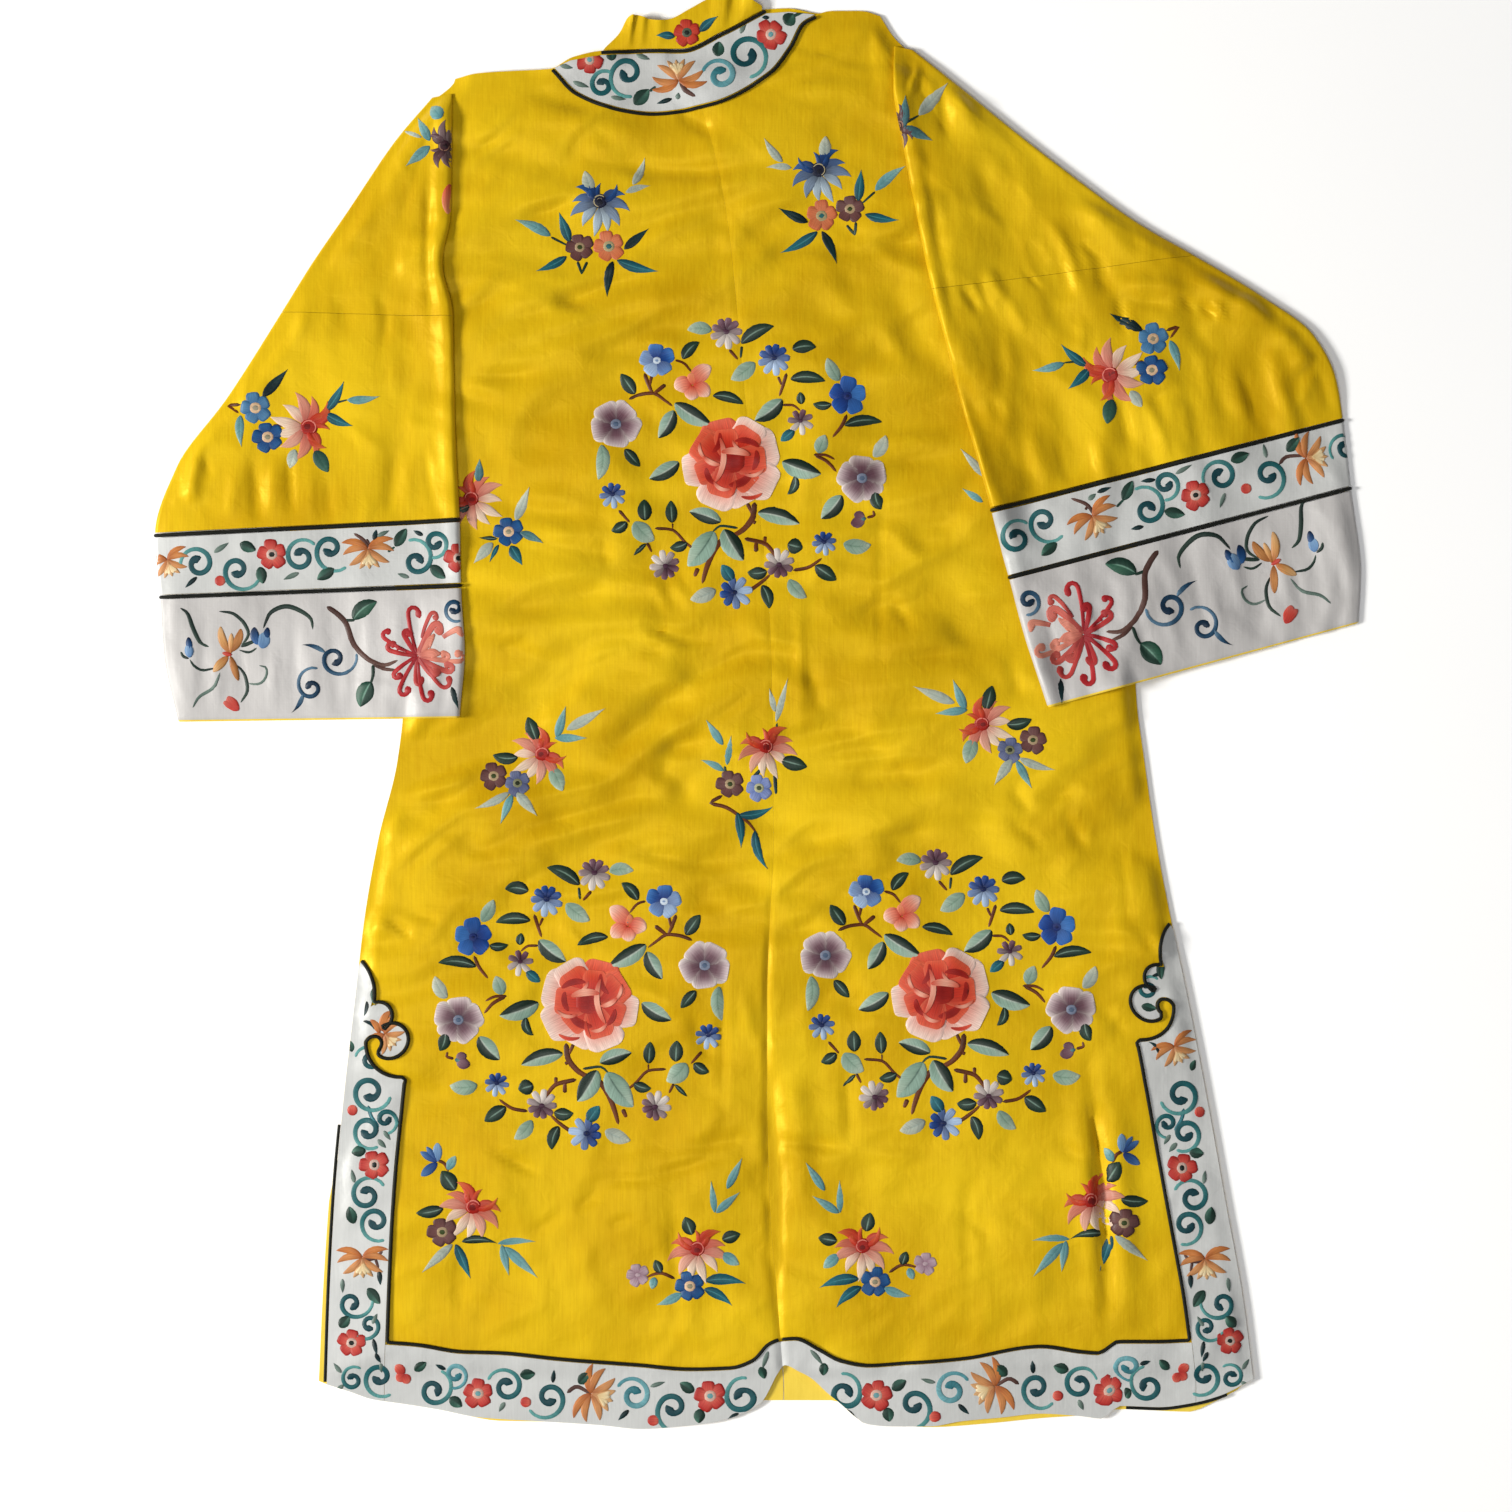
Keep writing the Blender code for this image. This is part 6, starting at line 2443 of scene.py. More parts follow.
@dataclass(frozen=True)
class Band:
    """A border's middle line, along which a motif's own x runs."""

    line: np.ndarray
    mirror: bool = False

    def put(self, place: np.ndarray) -> np.ndarray:
        """Return a motif's own places as plan places.

        Args:
            place: Places along the band and aside from its middle.

        Returns:
            The plan places.
        """
        line = even(self.line, 4.0)
        run = np.arange(len(line)) * np.abs(line[1] - line[0])
        # The heading is smoothed, so that a motif doesn't kink where the line does
        ahead = np.gradient(line)
        weight = np.hanning(9) / np.hanning(9).sum()
        padded = np.concatenate([np.full(4, ahead[0]), ahead, np.full(4, ahead[-1])])
        ahead = np.convolve(padded, weight, mode="valid")
        at = np.clip(place.real, 0.0, run[-1])
        step = np.interp(at, run, ahead.real) + 1j * np.interp(at, run, ahead.imag)
        on_line = np.interp(at, run, line.real) + 1j * np.interp(at, run, line.imag)
        aside = (place.real - at) + 1j * (-place.imag if self.mirror else place.imag)
        return on_line + step / np.abs(step) * aside


@dataclass
class Needle:
    """Works shapes in floss on one cloth and joins them in one mesh."""

    # Columns of points by half a shape's width, and where they stand on one side of a vein
    COLUMNS = ((3.2, 5), (7.5, 7), (math.inf, 11))
    ASIDE = {5: (0.16, 1), 7: (0.14, 0.72, 1), 11: (0.12, 0.4, 0.65, 0.88, 1)}

    name: str
    surface: Callable[[np.ndarray], np.ndarray]
    within: np.ndarray | None = None
    hidden: Sequence[np.ndarray] = ()
    crown: float = 0.42
    sunk: float = 0.14
    layer: float = 0.05
    ground: float = 0.16
    points: list = field(default_factory=list)
    lifts: list = field(default_factory=list)
    colours: list = field(default_factory=list)
    stitches: list = field(default_factory=list)
    faces: list = field(default_factory=list)
    caps: list = field(default_factory=list)
    count: int = 0
    draw: np.random.Generator = field(default_factory=lambda: np.random.default_rng(5))

    def work(
        self, hoop: Hoop | Band, path: np.ndarray, half: np.ndarray, look: str, *,
        layer: float = 0, threads: str = "long", blend: float = 0.0, groove: bool = False, crown: float = 1.0,
    ) -> None:
        """Work one shape.

        Args:
            hoop: Where it goes.
            path: Its middle line, in the motif's own places.
            half: Half its width along that line.
            look: Its shades.
            layer: How many shapes it lies over.
            threads: Whether its threads run long, cross or slant.
            blend: How much of its other half's shade it takes all over.
            groove: Whether it dips along its vein.
            crown: How full it is, as a share of the usual.
        """
        widest = half.max() * abs(getattr(hoop, "turn", 1.0))
        columns = next(count for limit, count in self.COLUMNS if widest < limit)
        t = np.sin(np.linspace(-math.pi / 2, math.pi / 2, columns))
        if groove:
            aside = np.array(self.ASIDE[columns])
            t = np.concatenate([-aside[::-1], [0.0], aside])
        ahead = np.gradient(path)
        run = np.concatenate([[0.0], np.cumsum(np.abs(np.diff(path)))])[:, None]
        half = half[:, None]
        plan = hoop.put(path[:, None] + 1j * (ahead / np.abs(ahead))[:, None] * half * t)
        side, across = plan[1:, :1] - plan[:-1, :1], plan[:-1, -1:] - plan[:-1, :1]
        if np.sum((side.conj() * across).imag) < 0:
            plan, t = plan[:, ::-1], t[::-1]
        rise = crown * min(self.crown, 0.14 + 0.12 * widest)
        dome = np.sqrt(1 - np.clip(np.abs(t), 0, 1) ** 2)
        if groove:
            dome = dome * (0.6 + 0.4 * np.minimum(1, np.abs(t) / 0.18))
        lift = self.ground + self.layer * layer + rise * np.sqrt(half / half.max()) * dome
        lift[0], lift[-1], lift[:, 0], lift[:, -1] = [-self.sunk] * 4
        colour = self.colour(FLOSS_BY_LOOK[look], run / run[-1], t[None, :], blend)
        colour *= 1 + 0.09 * (self.draw.random() - 0.5)
        # A stitch's first place tells its threads apart, its second runs along them
        stitch, along = {
            "long": (half * t, run + 0 * t),
            "cross": (run + 0.5 * half * t, half * t),
            "slant": (run - 0.8 * half * np.abs(t), half * t),
        }[threads]
        self.add(plan, lift, colour, np.stack([stitch, along + 40 * self.draw.random()], -1))

    @staticmethod
    def colour(shades: tuple, s: np.ndarray, t: np.ndarray, blend: float) -> np.ndarray:
        """Shade a shape.

        Args:
            shades: The look's row.
            s: How far along each point is.
            t: How far across, from -1 to 1.
            blend: How much of the other half's shade it takes all over.

        Returns:
            A colour for each point.
        """
        s, t = np.broadcast_arrays(s[..., None], t[..., None])
        first = smoothstep(s / 0.55)
        body = mix(shade(shades.base), shade(shades.middle), first)
        body = mix(body, shade(shades.tip), smoothstep((s - 0.45) / 0.55))
        if shades.half != "-":
            parted = shades.vein != "-" or shades.look == "bandleaf"
            share = smoothstep(t / 0.25 + 0.5) if parted else blend * (0.4 + 0.6 * first)
            body = mix(body, shade(shades.half), share)
        if shades.rim != "-":
            edge = np.clip(np.maximum(np.abs(t), 2.4 * s - 1.5), 0, 1) ** 3
            body = mix(body, shade(shades.rim), 0.8 * edge)
        if shades.vein != "-":
            vein = np.exp(-((t / 0.09) ** 2)) * smoothstep((0.85 - s) / 0.3) * smoothstep(s / 0.15)
            body = mix(body, shade(shades.vein), 0.75 * vein)
        return body

    def add(self, plan: np.ndarray, lift: np.ndarray, colour: np.ndarray, stitch: np.ndarray) -> None:
        """Take in a shape's grid, and close it underneath.

        Args:
            plan: Its plan places.
            lift: Their heights over the cloth.
            colour: Their colours.
            stitch: Their places among the threads.
        """
        rows, columns = plan.shape
        number = np.arange(plan.size).reshape(rows, columns)
        inner = np.zeros(number.shape, bool)
        top = Shop.grid_faces(rows, columns)
        caps = []
        if columns == self.COLUMNS[0][1]:
            first, last = number[:, 0], number[:, -1]
            under = np.stack([last[:-1], first[:-1], first[1:], last[1:]], -1)
            caps = [number[0, ::-1], number[-1]]
        else:
            inner[1:-1, 1:-1] = True
            number[inner] = plan.size + np.arange(inner.sum())
            under = number.ravel()[top][:, ::-1]
        inner = inner.ravel()
        flat, keep = self.clip(plan.ravel())
        faces = np.concatenate([top, under])
        faces = faces[np.concatenate([keep, keep[inner]])[faces].any(axis=1)]
        if not len(faces):
            return
        self.caps += [cap + self.count for cap in caps if keep[cap].any()]
        self.points.append(np.concatenate([flat, flat[inner]]))
        self.lifts.append(np.concatenate([lift.ravel(), np.full(inner.sum(), -2 * self.sunk)]))
        for store, value in ((self.colours, colour), (self.stitches, stitch)):
            value = value.reshape(plan.size, -1)
            store.append(np.concatenate([value, value[inner]]))
        self.faces.append(faces + self.count)
        self.count += len(flat) + inner.sum()

    def clip(self, flat: np.ndarray) -> tuple[np.ndarray, np.ndarray]:
        """Bring in what reaches past the cloth's edge.

        Args:
            flat: Plan places.

        Returns:
            The places, and which of them show.
        """
        keep = np.ones(len(flat), bool)
        for cover in self.hidden:
            keep &= outside(flat, cover) > -3.0
        if self.within is not None:
            away = outside(flat, self.within)
            keep &= away < 0.0
            over = away > -0.4
            if over.any():
                flat = flat.copy()
                flat[over] = nearest(flat[over], self.within)
        return flat, keep

    def finish(self) -> None:
        """Make the mesh.
        """
        plan = np.concatenate(self.points)
        points = Shop.lift(plan, self.surface(plan) + np.concatenate(self.lifts))
        faces = np.concatenate(self.faces)
        used = np.unique(np.concatenate([faces.ravel(), *self.caps]))
        again = np.zeros(self.count, int)
        again[used] = np.arange(len(used))
        every = again[faces].tolist() + [again[cap].tolist() for cap in self.caps]
        piece = Shop.mesh(self.name, points[used], every, [Floss()])
        data = piece.data
        colour = np.ones((len(used), 4))
        colour[:, :3] = np.clip(np.concatenate(self.colours)[used], 0, 1)
        data.color_attributes.new("floss", "FLOAT_COLOR", "POINT").data.foreach_set("color", colour.ravel())
        corner = np.zeros(len(data.loops), int)
        data.loops.foreach_get("vertex_index", corner)
        stitch = np.concatenate(self.stitches)[used][corner]
        data.uv_layers.new(name="stitch").data.foreach_set("uv", stitch.ravel())


def nearest(place: np.ndarray, outline: np.ndarray) -> np.ndarray:
    """Find the nearest places on a closed outline.

    Args:
        place: Plan places.
        outline: The outline's points.

    Returns:
        A place on the outline for each.
    """
    best = np.full(place.shape, np.inf)
    found = place.copy()
    for start, end in zip(outline, np.roll(outline, -1)):
        span = end - start
        if not span:
            continue
        on_line = start + span * np.clip(((place - start) / span).real, 0, 1)
        away = np.abs(place - on_line)
        closer = away < best
        best[closer] = away[closer]
        found[closer] = on_line[closer]
    return found


def swell(s: np.ndarray, belly: float, point: float) -> np.ndarray:
    """Find a shape's width along it.

    Args:
        s: How far along, from 0 to 1.
        belly: Where it is widest.
        point: How pointed its ends are.

    Returns:
        The share of its full width.
    """
    s = np.clip(s, 0.0, 1.0)
    share = (s / belly) ** (belly * point) * ((1 - s) / (1 - belly)) ** ((1 - belly) * point)
    return np.maximum(share, 0.02)


def pointing(degrees: float) -> complex:
    """Return a step of 1 in a direction."""
    return np.exp(1j * math.radians(degrees))


def clustered(count: int) -> np.ndarray:
    """Return places from 0 to 1, closer at both ends."""
    return 0.5 - 0.5 * np.cos(np.linspace(0, math.pi, count))


@dataclass
class Sewing:
    """Stitches motifs in one place: each method works one kind of shape from a chart's row."""

    HALVES = {"threads": "slant", "groove": True, "layer": 3}
    PLAIN = {"layer": 1}
    # Where a stroke is widest, how pointed it is, and how it is worked
    STROKES = {
        "leaf": (0.45, 1.5, HALVES), "reed": (0.36, 2.2, HALVES),
        "petal": (0.5, 1.35, PLAIN), "tick": (0.4, 1.8, PLAIN),
    }
    TENDRILS = ("tendril", "mist")
    BROAD_PLUMS = ("mauve",)
    SMALL_EYED = ("mauve", "blue", "deepblue", "lilacplum")
    # Petals of a half-open lotus, outermost first: turn, length and paleness
    LILY = (
        (106, 1.05, 0.0), (-106, 1.05, 0.0), (80, 1.0, 0.1), (-80, 1.0, 0.1), (53, 0.98, 0.2),
        (-53, 0.98, 0.2), (27, 0.85, 0.4), (-27, 0.85, 0.4), (0, 0.8, 0.5),
    )
    # The sizes at which the tables of petals were drawn
    PEONY_SIZE = 39.0
    MUM_SIZE = 37.4

    needle: Needle
    hoop: Hoop | Band

    def sew(self, chart: Chart) -> None:
        """Work a chart's vines, and then its motifs.

        Args:
            chart: The chart.
        """
        for width, look, places in chart.vines:
            self.vine(width, look, np.array([complex(*map(float, at.split(","))) for at in places]))
        for row in chart.rows:
            getattr(self, row.kind)(row)

    def vine(self, width: float, look: str, path: np.ndarray) -> None:
        """Work a vine.

        Args:
            width: Its width.
            look: Its shades.
            path: The places on its way.
        """
        index = np.arange(len(path))
        count = max(8, round(float(np.abs(np.diff(path)).sum()) / 3.0))
        path = smooth(np.linspace(0, len(path) - 1, count), index, path)
        path = even(path, float(np.abs(np.diff(path)).sum()) / count)
        belly, point = (0.5, 1.1) if look in self.TENDRILS else (0.3, 0.4)
        half = 1.2 * width * swell(np.linspace(0, 1, len(path)), belly, point)
        self.needle.work(self.hoop, path, half, look, threads="cross", crown=0.6)

    def blade(
        self, start: complex, length: float, wide: float, angle: float, look: str,
        shape: tuple[float, float], bend: float = 0.0, **options: object,
    ) -> None:
        """Work a leaf, petal or straight stroke.

        Args:
            start: The shape's base.
            length: Its length.
            wide: Half its width.
            angle: The way it points, in degrees.
            look: Its shades.
            shape: Where it is widest, and how pointed it is.
            bend: How far it bows aside, as a share of its length.
            options: What else the needle is told.
        """
        s = clustered(8 if length < 14 else 11)
        path = start + pointing(angle) * length * (s + 4j * bend * s * (1 - s))
        self.needle.work(self.hoop, path, wide * swell(s, *shape), look, **options)

    def stroke(self, row: tuple) -> None:
        """Work a leaf, whose halves slant from its vein, or a single petal.

        Args:
            row: The chart's row.
        """
        *shape, options = self.STROKES[row.kind]
        start = complex(row.x, row.y)
        self.blade(start, row.size, row.wide, row.angle, row.look, shape, row.bend, **options)

    leaf = reed = petal = tick = stroke

    def disc(self, middle: complex, radius: float, look: str, layer: int) -> None:
        """Work a round spot.

        Args:
            middle: The spot's middle.
            radius: Its radius.
            look: Its shades.
            layer: How many shapes it lies over.
        """
        share = 2 * clustered(7) - 1
        half = radius * np.sqrt(np.maximum(1 - share**2, 0.01))
        self.needle.work(self.hoop, middle + radius * share, half, look, layer=layer)

    @staticmethod
    def plain(colour: str) -> str:
        """Return the look of a single plain colour."""
        FLOSS_BY_LOOK.setdefault(colour, FLOSS.row_type(colour, colour, colour, colour))
        return colour

    def eye(self, row: tuple, radius: float, layer: int) -> None:
        """Work a flower's centre: a ring and a dot.

        Args:
            row: The flower's row.
            radius: The ring's radius.
            layer: How many shapes it lies over.
        """
        ring, dot = EYES[row.look]
        middle = complex(row.x, row.y)
        self.disc(middle, radius, self.plain(ring), layer)
        self.disc(middle, 0.58 * radius, self.plain(dot), layer + 2)

    def berry(self, row: tuple) -> None:
        """Work a berry."""
        self.disc(complex(row.x, row.y), row.size, row.look, 1)

    def plum(self, row: tuple) -> None:
        """Work a five-petalled plum blossom, paler towards the row's angle where its look says so.

        Args:
            row: The chart's row.
        """
        wide = row.size * (0.56 if row.look in self.BROAD_PLUMS else 0.47)
        for number in range(5):
            turn = 72 * number + 12
            reach = row.size * (1 + 0.05 * math.sin(4 * number + row.x))
            pale = 0.5 + 0.5 * math.cos(math.radians(turn))
            self.blade(
                complex(row.x, row.y), reach, wide, row.angle + turn, row.look, (0.64, 0.7), 0.03,
                layer=number % 2, blend=0.8 * pale**2,
            )
        self.eye(row, row.size * (0.24 if row.look in self.SMALL_EYED else 0.4), 4)

    def daisy(self, row: tuple) -> None:
        """Work a small flower of narrow petals, paler towards the row's angle.

        Args:
            row: The chart's row.
        """
        for number in range(int(row.bend)):
            turn = 360 * number / int(row.bend) + 8
            pale = 0.5 + 0.5 * math.cos(math.radians(turn))
            reach = row.size * (0.82 + 0.22 * pale)
            self.blade(
                complex(row.x, row.y), reach, row.size * 0.23, row.angle + turn, row.look,
                (0.66, 0.9), 0.03, layer=number % 2, blend=pale**2.2,
            )
        self.eye(row, row.size * 0.2, 2)

    def lotus(self, row: tuple) -> None:
        """Work a lotus: pale petals behind, deep ones in front and a curled cup.

        Args:
            row: The chart's row.
        """
        side = math.copysign(1, row.bend)
        ahead = pointing(row.angle)
        middle = complex(row.x, row.y) + 0.1 * row.size * ahead
        for petal in LOTUS_PETALS.rows:
            angle = row.angle + side * petal.turn
            self.blade(
                middle + 0.1 * row.size * pointing(angle), row.size * petal.size,
                row.size * petal.wide * 1.12, angle, row.look, (0.42, 2.1),
                side * petal.bend, layer=int(petal.layer), blend=petal.pale,
            )
        cup, hollow, line = map(self.plain, CUPS[row.look])
        heart = middle + 0.12 * row.size * ahead
        self.disc(heart, row.size * 0.27, cup, 4)
        for turn, bend in ((-38, -0.2), (38, 0.2)):
            start = heart + 0.1 * row.size * pointing(row.angle + side * turn * 2)
            self.blade(
                start, row.size * 0.5, row.size * 0.12, row.angle + side * turn, row.look,
                (0.4, 1.2), side * bend, layer=4,
            )
        self.disc(heart - 0.04 * row.size * ahead, row.size * 0.15, hollow, 5)
        for radius, first, last, wide in ((0.2, 200, -60, 0.032), (0.1, 120, -110, 0.028)):
            turns = row.angle + side * np.linspace(first, last, 12)
            path = heart + row.size * radius * np.exp(1j * np.radians(turns))
            half = row.size * wide * swell(np.linspace(0, 1, 12), 0.5, 0.8)
            self.needle.work(self.hoop, path, half, line, layer=7)

    def lily(self, row: tuple) -> None:
        """Work a half-open orange lotus with a pale heart.

        Args:
            row: The chart's row.
        """
        middle = complex(row.x, row.y)
        for number, (turn, reach, pale) in enumerate(self.LILY):
            bend = float(np.sign(turn)) * (0.14 if abs(turn) > 60 else -0.08)
            self.blade(
                middle, row.size * reach, row.size * 0.15, row.angle + turn,
                row.look, (0.45, 1.5), bend, layer=number % 3, blend=pale,
            )
        start = middle + 0.16 * row.size * pointing(row.angle)
        for number, turn in enumerate((-34, 34, -14, 14)):
            self.blade(
                start, row.size * 0.52, row.size * 0.11, row.angle + turn, "lilyheart",
                (0.55, 1.1), -0.004 * turn, layer=3 + number % 2,
            )

    def peony(self, row: tuple) -> None:
        """Work a full peony: pale outer petals, red inner ones and the pale folds between them.

        Args:
            row: The chart's row.
        """
        middle = complex(row.x, row.y)
        scale = row.size / self.PEONY_SIZE
        self.disc(middle + scale * (1 + 2j), 0.28 * row.size, "peonydeep", 15)
        s = clustered(16)
        for number, petal in enumerate(PEONY_PETALS.rows):
            way = pointing(petal.angle) * petal.size
            path = complex(petal.x, petal.y) + way * (s + 4j * petal.bend * s * (1 - s))
            half = petal.wide * swell(s, 0.5, 1.0)
            if petal.wide > 8:
                # A broad petal has a frilled tip
                half = petal.wide * swell(s, 0.64, 0.55) * (1 + 0.045 * np.sin(17 * s + 2.4 * number) * s)
            self.needle.work(
                self.hoop, middle + scale * path, scale * half, petal.look,
                layer=4 + 3 * petal.layer, blend=0.25 * petal.pale, crown=0.5,
            )

    def scroll(self, row: tuple) -> None:
        """Work a scroll: a tapering vine that curls in to a knob.

        Args:
            row: The chart's row.
        """
        # It winds in by some 500 degrees
        share = np.linspace(0, 1, 40) ** 0.9
        reach = 1 - 0.8 * share**1.1 + (abs(row.bend) - 1) * np.exp(-((share * 5.5) ** 2))
        turns = math.radians(row.angle) + math.copysign(1, row.bend) * math.radians(500) * share
        path = even(complex(row.x, row.y) + 1.1 * row.size * reach * np.exp(1j * turns), 1.7)
        s = np.linspace(0, 1, len(path))
        knob = 1 + 0.55 * smoothstep((s - 0.86) / 0.1)
        wide = 1.2 * row.wide * (0.6 + 0.4 * smoothstep(s * 1.6)) * knob
        half = wide * np.clip(np.sqrt(np.minimum(s, 1.015 - s) * len(path) * 1.1), 0.12, 1)
        look = "scrollteal" if row.look == "teal" else row.look
        self.needle.work(self.hoop, path, half, look, threads="cross")

    def mum(self, row: tuple) -> None:
        """Work a spider chrysanthemum: long petals that hook over at their knobbed tips.

        Args:
            row: The chart's row.
        """
        scale = row.size / self.MUM_SIZE
        s = np.linspace(0, 1, 22)
        for number, petal in enumerate(MUM_PETALS.rows):
            curl = 0.9 * petal.curl * (0.12 * s + 0.88 * smoothstep((s - 0.64) / 0.33))
            steps = np.exp(1j * np.radians(petal.angle + curl))[1:]
            run = np.concatenate([[0], np.cumsum(steps)]) / len(steps) * petal.size
            path = complex(row.x, row.y) + scale * (petal.start * pointing(petal.angle) + run)
            half = 1.4 * petal.wide * (0.7 + 0.4 * s) * (1 + 0.6 * smoothstep((s - 0.84) / 0.1))
            half = scale * half * np.clip(np.sqrt((1.01 - s) * 12), 0.1, 1)
            self.needle.work(self.hoop, path, half, row.look, layer=2 + number % 3, blend=petal.pale)


# The front view's middle, and the millimetres in one of its steps
VIEW_MIDDLE = (758, 711.5)
VIEW_STEP = 0.78


def spot(u: float, v: float) -> complex:
    """Return the plan place of a point measured on the front view."""
    return complex((u - VIEW_MIDDLE[0]) * VIEW_STEP, (VIEW_MIDDLE[1] - v) * VIEW_STEP)


def mirrored(u: float, v: float, degrees: float) -> Hoop:
    """Return where a motif goes that is mirrored and then turned."""
    return Hoop(spot(u, v), -pointing(degrees), True)


@dataclass
class Embroidery:
    """All the robe's stitching, worked cloth by cloth."""

    body: Body
    borders: Borders
    collar: Collar
    sleeves: dict[str, Sleeve]

    def make(self) -> None:
        """Work every motif."""
        needle = Needle("collar_embroidery", self.collar.top)
        self.work(needle, Slot.YELLOW, (COLLAR_CHART, Hoop(spot(687, 34))))
        self.work_back()
        for side_name in self.borders.outlines:
            self.work_border(side_name)
        self.work_sleeves()

    @staticmethod
    def work(needle: Needle, slot: Slot, *pairs: tuple[Chart, Hoop | Band]) -> None:
        """Work charts on one cloth.

        Args:
            needle: The cloth's needle.
            slot: The material slot of the cloth; not used.
            pairs: Each chart and where it goes.
        """
        for chart, hoop in pairs:
            Sewing(needle, hoop).sew(chart)
        needle.finish()

    def work_back(self) -> None:
        """Work the roundels and sprigs on the backs."""
        roundels = (
            Hoop(147.4 - 222.7j), Hoop(-15.6 + 190.7j), Hoop(-136.5 - 230.5j, -1, True),
        )
        for number, hoop in enumerate(roundels, 1):
            needle = Needle(f"roundel_embroidery_{number}", self.body.height)
            self.work(needle, Slot.YELLOW, (ROUNDEL_CHART, hoop))
        # A sprig on the right is the left one mirrored, and turned a little, in degrees
        sprigs = (
            (SHOULDER_SPRIG_CHART, Hoop(spot(598, 235))), (SHOULDER_SPRIG_CHART, mirrored(829, 202, 15)),
            (WAIST_SPRIG_CHART, Hoop(spot(518, 782))), (WAIST_SPRIG_CHART, mirrored(1009, 749, 7)),
            (CENTRE_SPRIG_CHART, Hoop(spot(758, 745))),
            (LOWER_SPRIG_CHART, Hoop(spot(695, 1250))), (LOWER_SPRIG_CHART, mirrored(865, 1247, 8)),
            (CORNER_SPRIG_CHART, Hoop(spot(470, 1207))), (CORNER_SPRIG_CHART, mirrored(1094, 1200, 5)),
            (EDGE_SPRIG_CHART, Hoop(spot(480, 505))),
            (HIDDEN_SPRIG_CHART, Hoop(spot(975, 480))),
        )
        needle = Needle("sprig_embroidery", self.body.height, self.body.outline, self.body.covers)
        self.work(needle, Slot.YELLOW, *sprigs)

    def on_border(self, place: np.ndarray) -> np.ndarray:
        """Return the height of a border's upper face."""
        return self.body.height(place) + self.body.gap + self.borders.wall

    def work_border(self, which: str) -> None:
        """Work the scrolls on a white border.

        Args:
            which: left, right or neck.
        """
        needle = Needle(f"{which}_border_embroidery", self.on_border, self.borders.outlines[which])
        lines = self.borders.lines
        if which == "neck":
            self.work(needle, Slot.WHITE, (YOKE_CHART, Band(lines["neck"])))
            return
        mirror = which == "right"
        side, hem = (Band(lines[f"{part}_{which}"], mirror) for part in ("side", "hem"))
        head = RIGHT_HEAD_CHART if mirror else LEFT_HEAD_CHART
        self.work(needle, Slot.WHITE, (SIDE_BAND_CHART, side), (head, side), (HEM_BAND_CHART, hem))

    def work_sleeves(self) -> None:
        """Work the sprigs, bands and cuffs on the sleeves."""
        left, right = self.sleeves["left"], self.sleeves["right"]
        # The right cuff's branch is a little larger
        right_cuff = Hoop(spot(1079, 629), -1.08 * pointing(20), True)
        right_fold = Hoop(spot(893, 128))
        work = (
            (
                left, (SLEEVE_SPRIG_CHART, Hoop(spot(303, 425))), (CUFF_CHART, Hoop(spot(420, 650))),
                (LEFT_BAND_CHART, Band(left.middle(7)[::-1])), (LEFT_FOLD_SPRIG_CHART, Hoop(spot(452, 146))),
            ),
            (
                right, (RIGHT_FOLD_VINES, right_fold),
                (SLEEVE_SPRIG_CHART, mirrored(1114, 371, 20)), (CUFF_CHART, right_cuff),
                (RIGHT_BAND_CHART, Band(right.middle(8))), (RIGHT_FOLD_SPRIG_CHART, right_fold),
            ),
        )
        for sleeve, *pairs in work:
            outline = np.concatenate([sleeve.inner_edge, sleeve.outer_edge[::-1]])
            needle = Needle(f"{sleeve.side_name}_sleeve_embroidery", sleeve.top, outline)
            self.work(needle, Slot.YELLOW, *pairs)


# Square soft lights: place and size in millimetres, power in watts
LIGHTS = Table("""name x y z size power colour
key -4700 -300 3000 1300 410 #fffdf8
top -500 -500 3000 1200 28 #ffffff
fill 2200 -1300 1900 1500 7 #f8faff""")


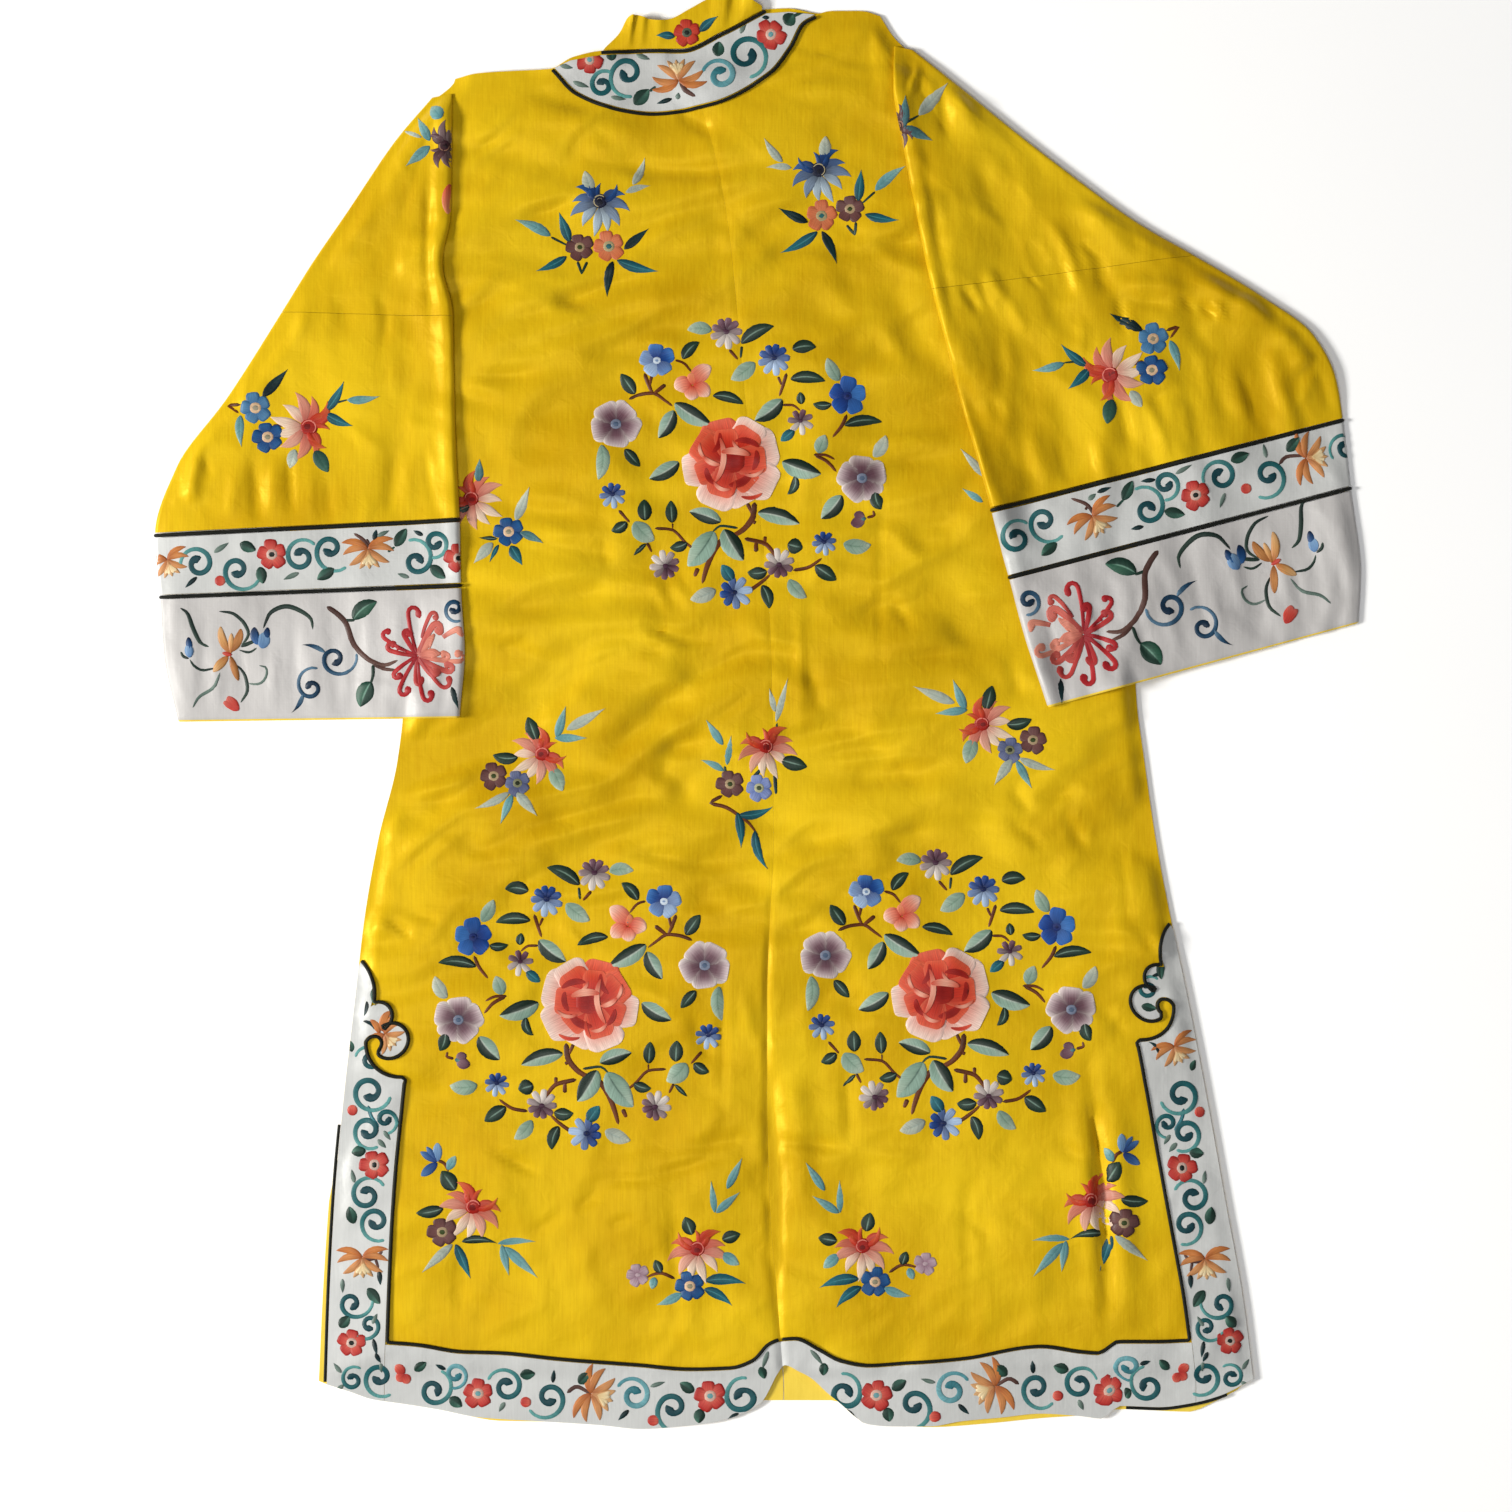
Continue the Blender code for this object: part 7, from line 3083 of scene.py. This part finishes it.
@dataclass
class Studio:
    """Pale floor, soft lights and the camera straight above the robe."""

    centre: tuple[float, float] = (-1.6, -34.7)
    frame_width: float = 1179.4
    lens: float = 100.0
    sensor: float = 36.0
    half_floor: float = 6.0
    floor_top: float = -0.0002

    def make(self) -> None:
        """Make the floor, the lights, the world and the camera."""
        self.make_floor()
        for row in LIGHTS.rows:
            self.light(row)
        world = bpy.data.worlds.new("studio")
        bpy.context.scene.world = world
        world.use_nodes = True
        background = world.node_tree.nodes["Background"]
        fill_inputs(world.node_tree, background, {"Color": linear("#f2f2f2"), "Strength": 0.2})
        # The photograph's yellow is fuller than the default view shows
        bpy.context.scene.view_settings.view_transform = "Standard"
        camera = self.place("camera", bpy.data.cameras.new("camera"))
        camera.data.lens = self.lens
        camera.data.sensor_width = self.sensor
        camera.data.clip_end = 100.0
        away = self.frame_width * self.lens / self.sensor
        camera.location = [value * MM for value in (*self.centre, away)]
        bpy.context.scene.camera = camera

    @staticmethod
    def place(name: str, data: bpy.types.ID) -> bpy.types.Object:
        """Put a thing in the scene.

        Args:
            name: Its name.
            data: What it is.

        Returns:
            The object.
        """
        thing = bpy.data.objects.new(name, data)
        bpy.context.scene.collection.objects.link(thing)
        return thing

    def make_floor(self) -> None:
        """Make the floor of pale card."""
        half = self.half_floor
        data = bpy.data.meshes.new("floor")
        corners = [(-half, -half), (half, -half), (half, half), (-half, half)]
        data.from_pydata([(*corner, self.floor_top) for corner in corners], [], [(0, 1, 2, 3)])
        material, tree, shader = new_material("pale_matt_card")
        grain = add_node(tree, "ShaderNodeTexNoise", {"Scale": 40.0, "Detail": 2.0})
        tone = add_node(
            tree, "ShaderNodeMix",
            {"Factor": grain.outputs["Fac"], 6: linear("#fbfbfb"), 7: linear("#fefefe")}, data_type="RGBA",
        )
        fill_inputs(tree, shader, {"Base Color": tone.outputs[2], "Roughness": 0.8})
        data.materials.append(material)
        self.place("floor", data)

    def light(self, row: tuple) -> None:
        """Add a soft light that faces the robe.

        Args:
            row: Its row in the table.
        """
        data = bpy.data.lights.new(row.name, "AREA")
        data.size = row.size * MM
        data.energy = row.power
        data.color = linear(row.colour)[:3]
        lamp = self.place(row.name, data)
        lamp.location = Vector((row.x, row.y, row.z)) * MM
        lamp.rotation_mode = "QUATERNION"
        lamp.rotation_quaternion = (-lamp.location).to_track_quat("-Z", "Y")


def count_triangles() -> int:
    """Return how many triangles the scene has."""
    meshes = [thing.data for thing in bpy.context.scene.objects if thing.type == "MESH"]
    return sum(len(face.vertices) - 2 for mesh in meshes for face in mesh.polygons)


def main() -> None:
    """Build the robe, its trimmings and the studio."""
    logging.basicConfig(level=logging.INFO, format="%(name)s: %(message)s")
    Studio().make()
    body = Body()
    borders = Borders(body)
    plans = {}
    for side_name, side in (("left", -1), ("right", 1)):
        body.make_front(side_name, side)
        plans[side_name] = body.make_back(side_name, side)
        borders.make_sides(side_name, side, plans[side_name])
    borders.make_turned_edges(plans["left"], plans["right"])
    borders.make_neck()
    collar = Collar(body)
    collar.make()
    sleeves = {
        "left": Sleeve("left", LEFT_SLEEVE, LEFT_CREASES, body),
        "right": Sleeve("right", RIGHT_SLEEVE, RIGHT_CREASES, body),
    }
    for sleeve in sleeves.values():
        sleeve.make()
    Embroidery(body, borders, collar, sleeves).make()
    LOG.info("the whole scene: %d triangles", count_triangles())


if __name__ == "__main__":
    main()
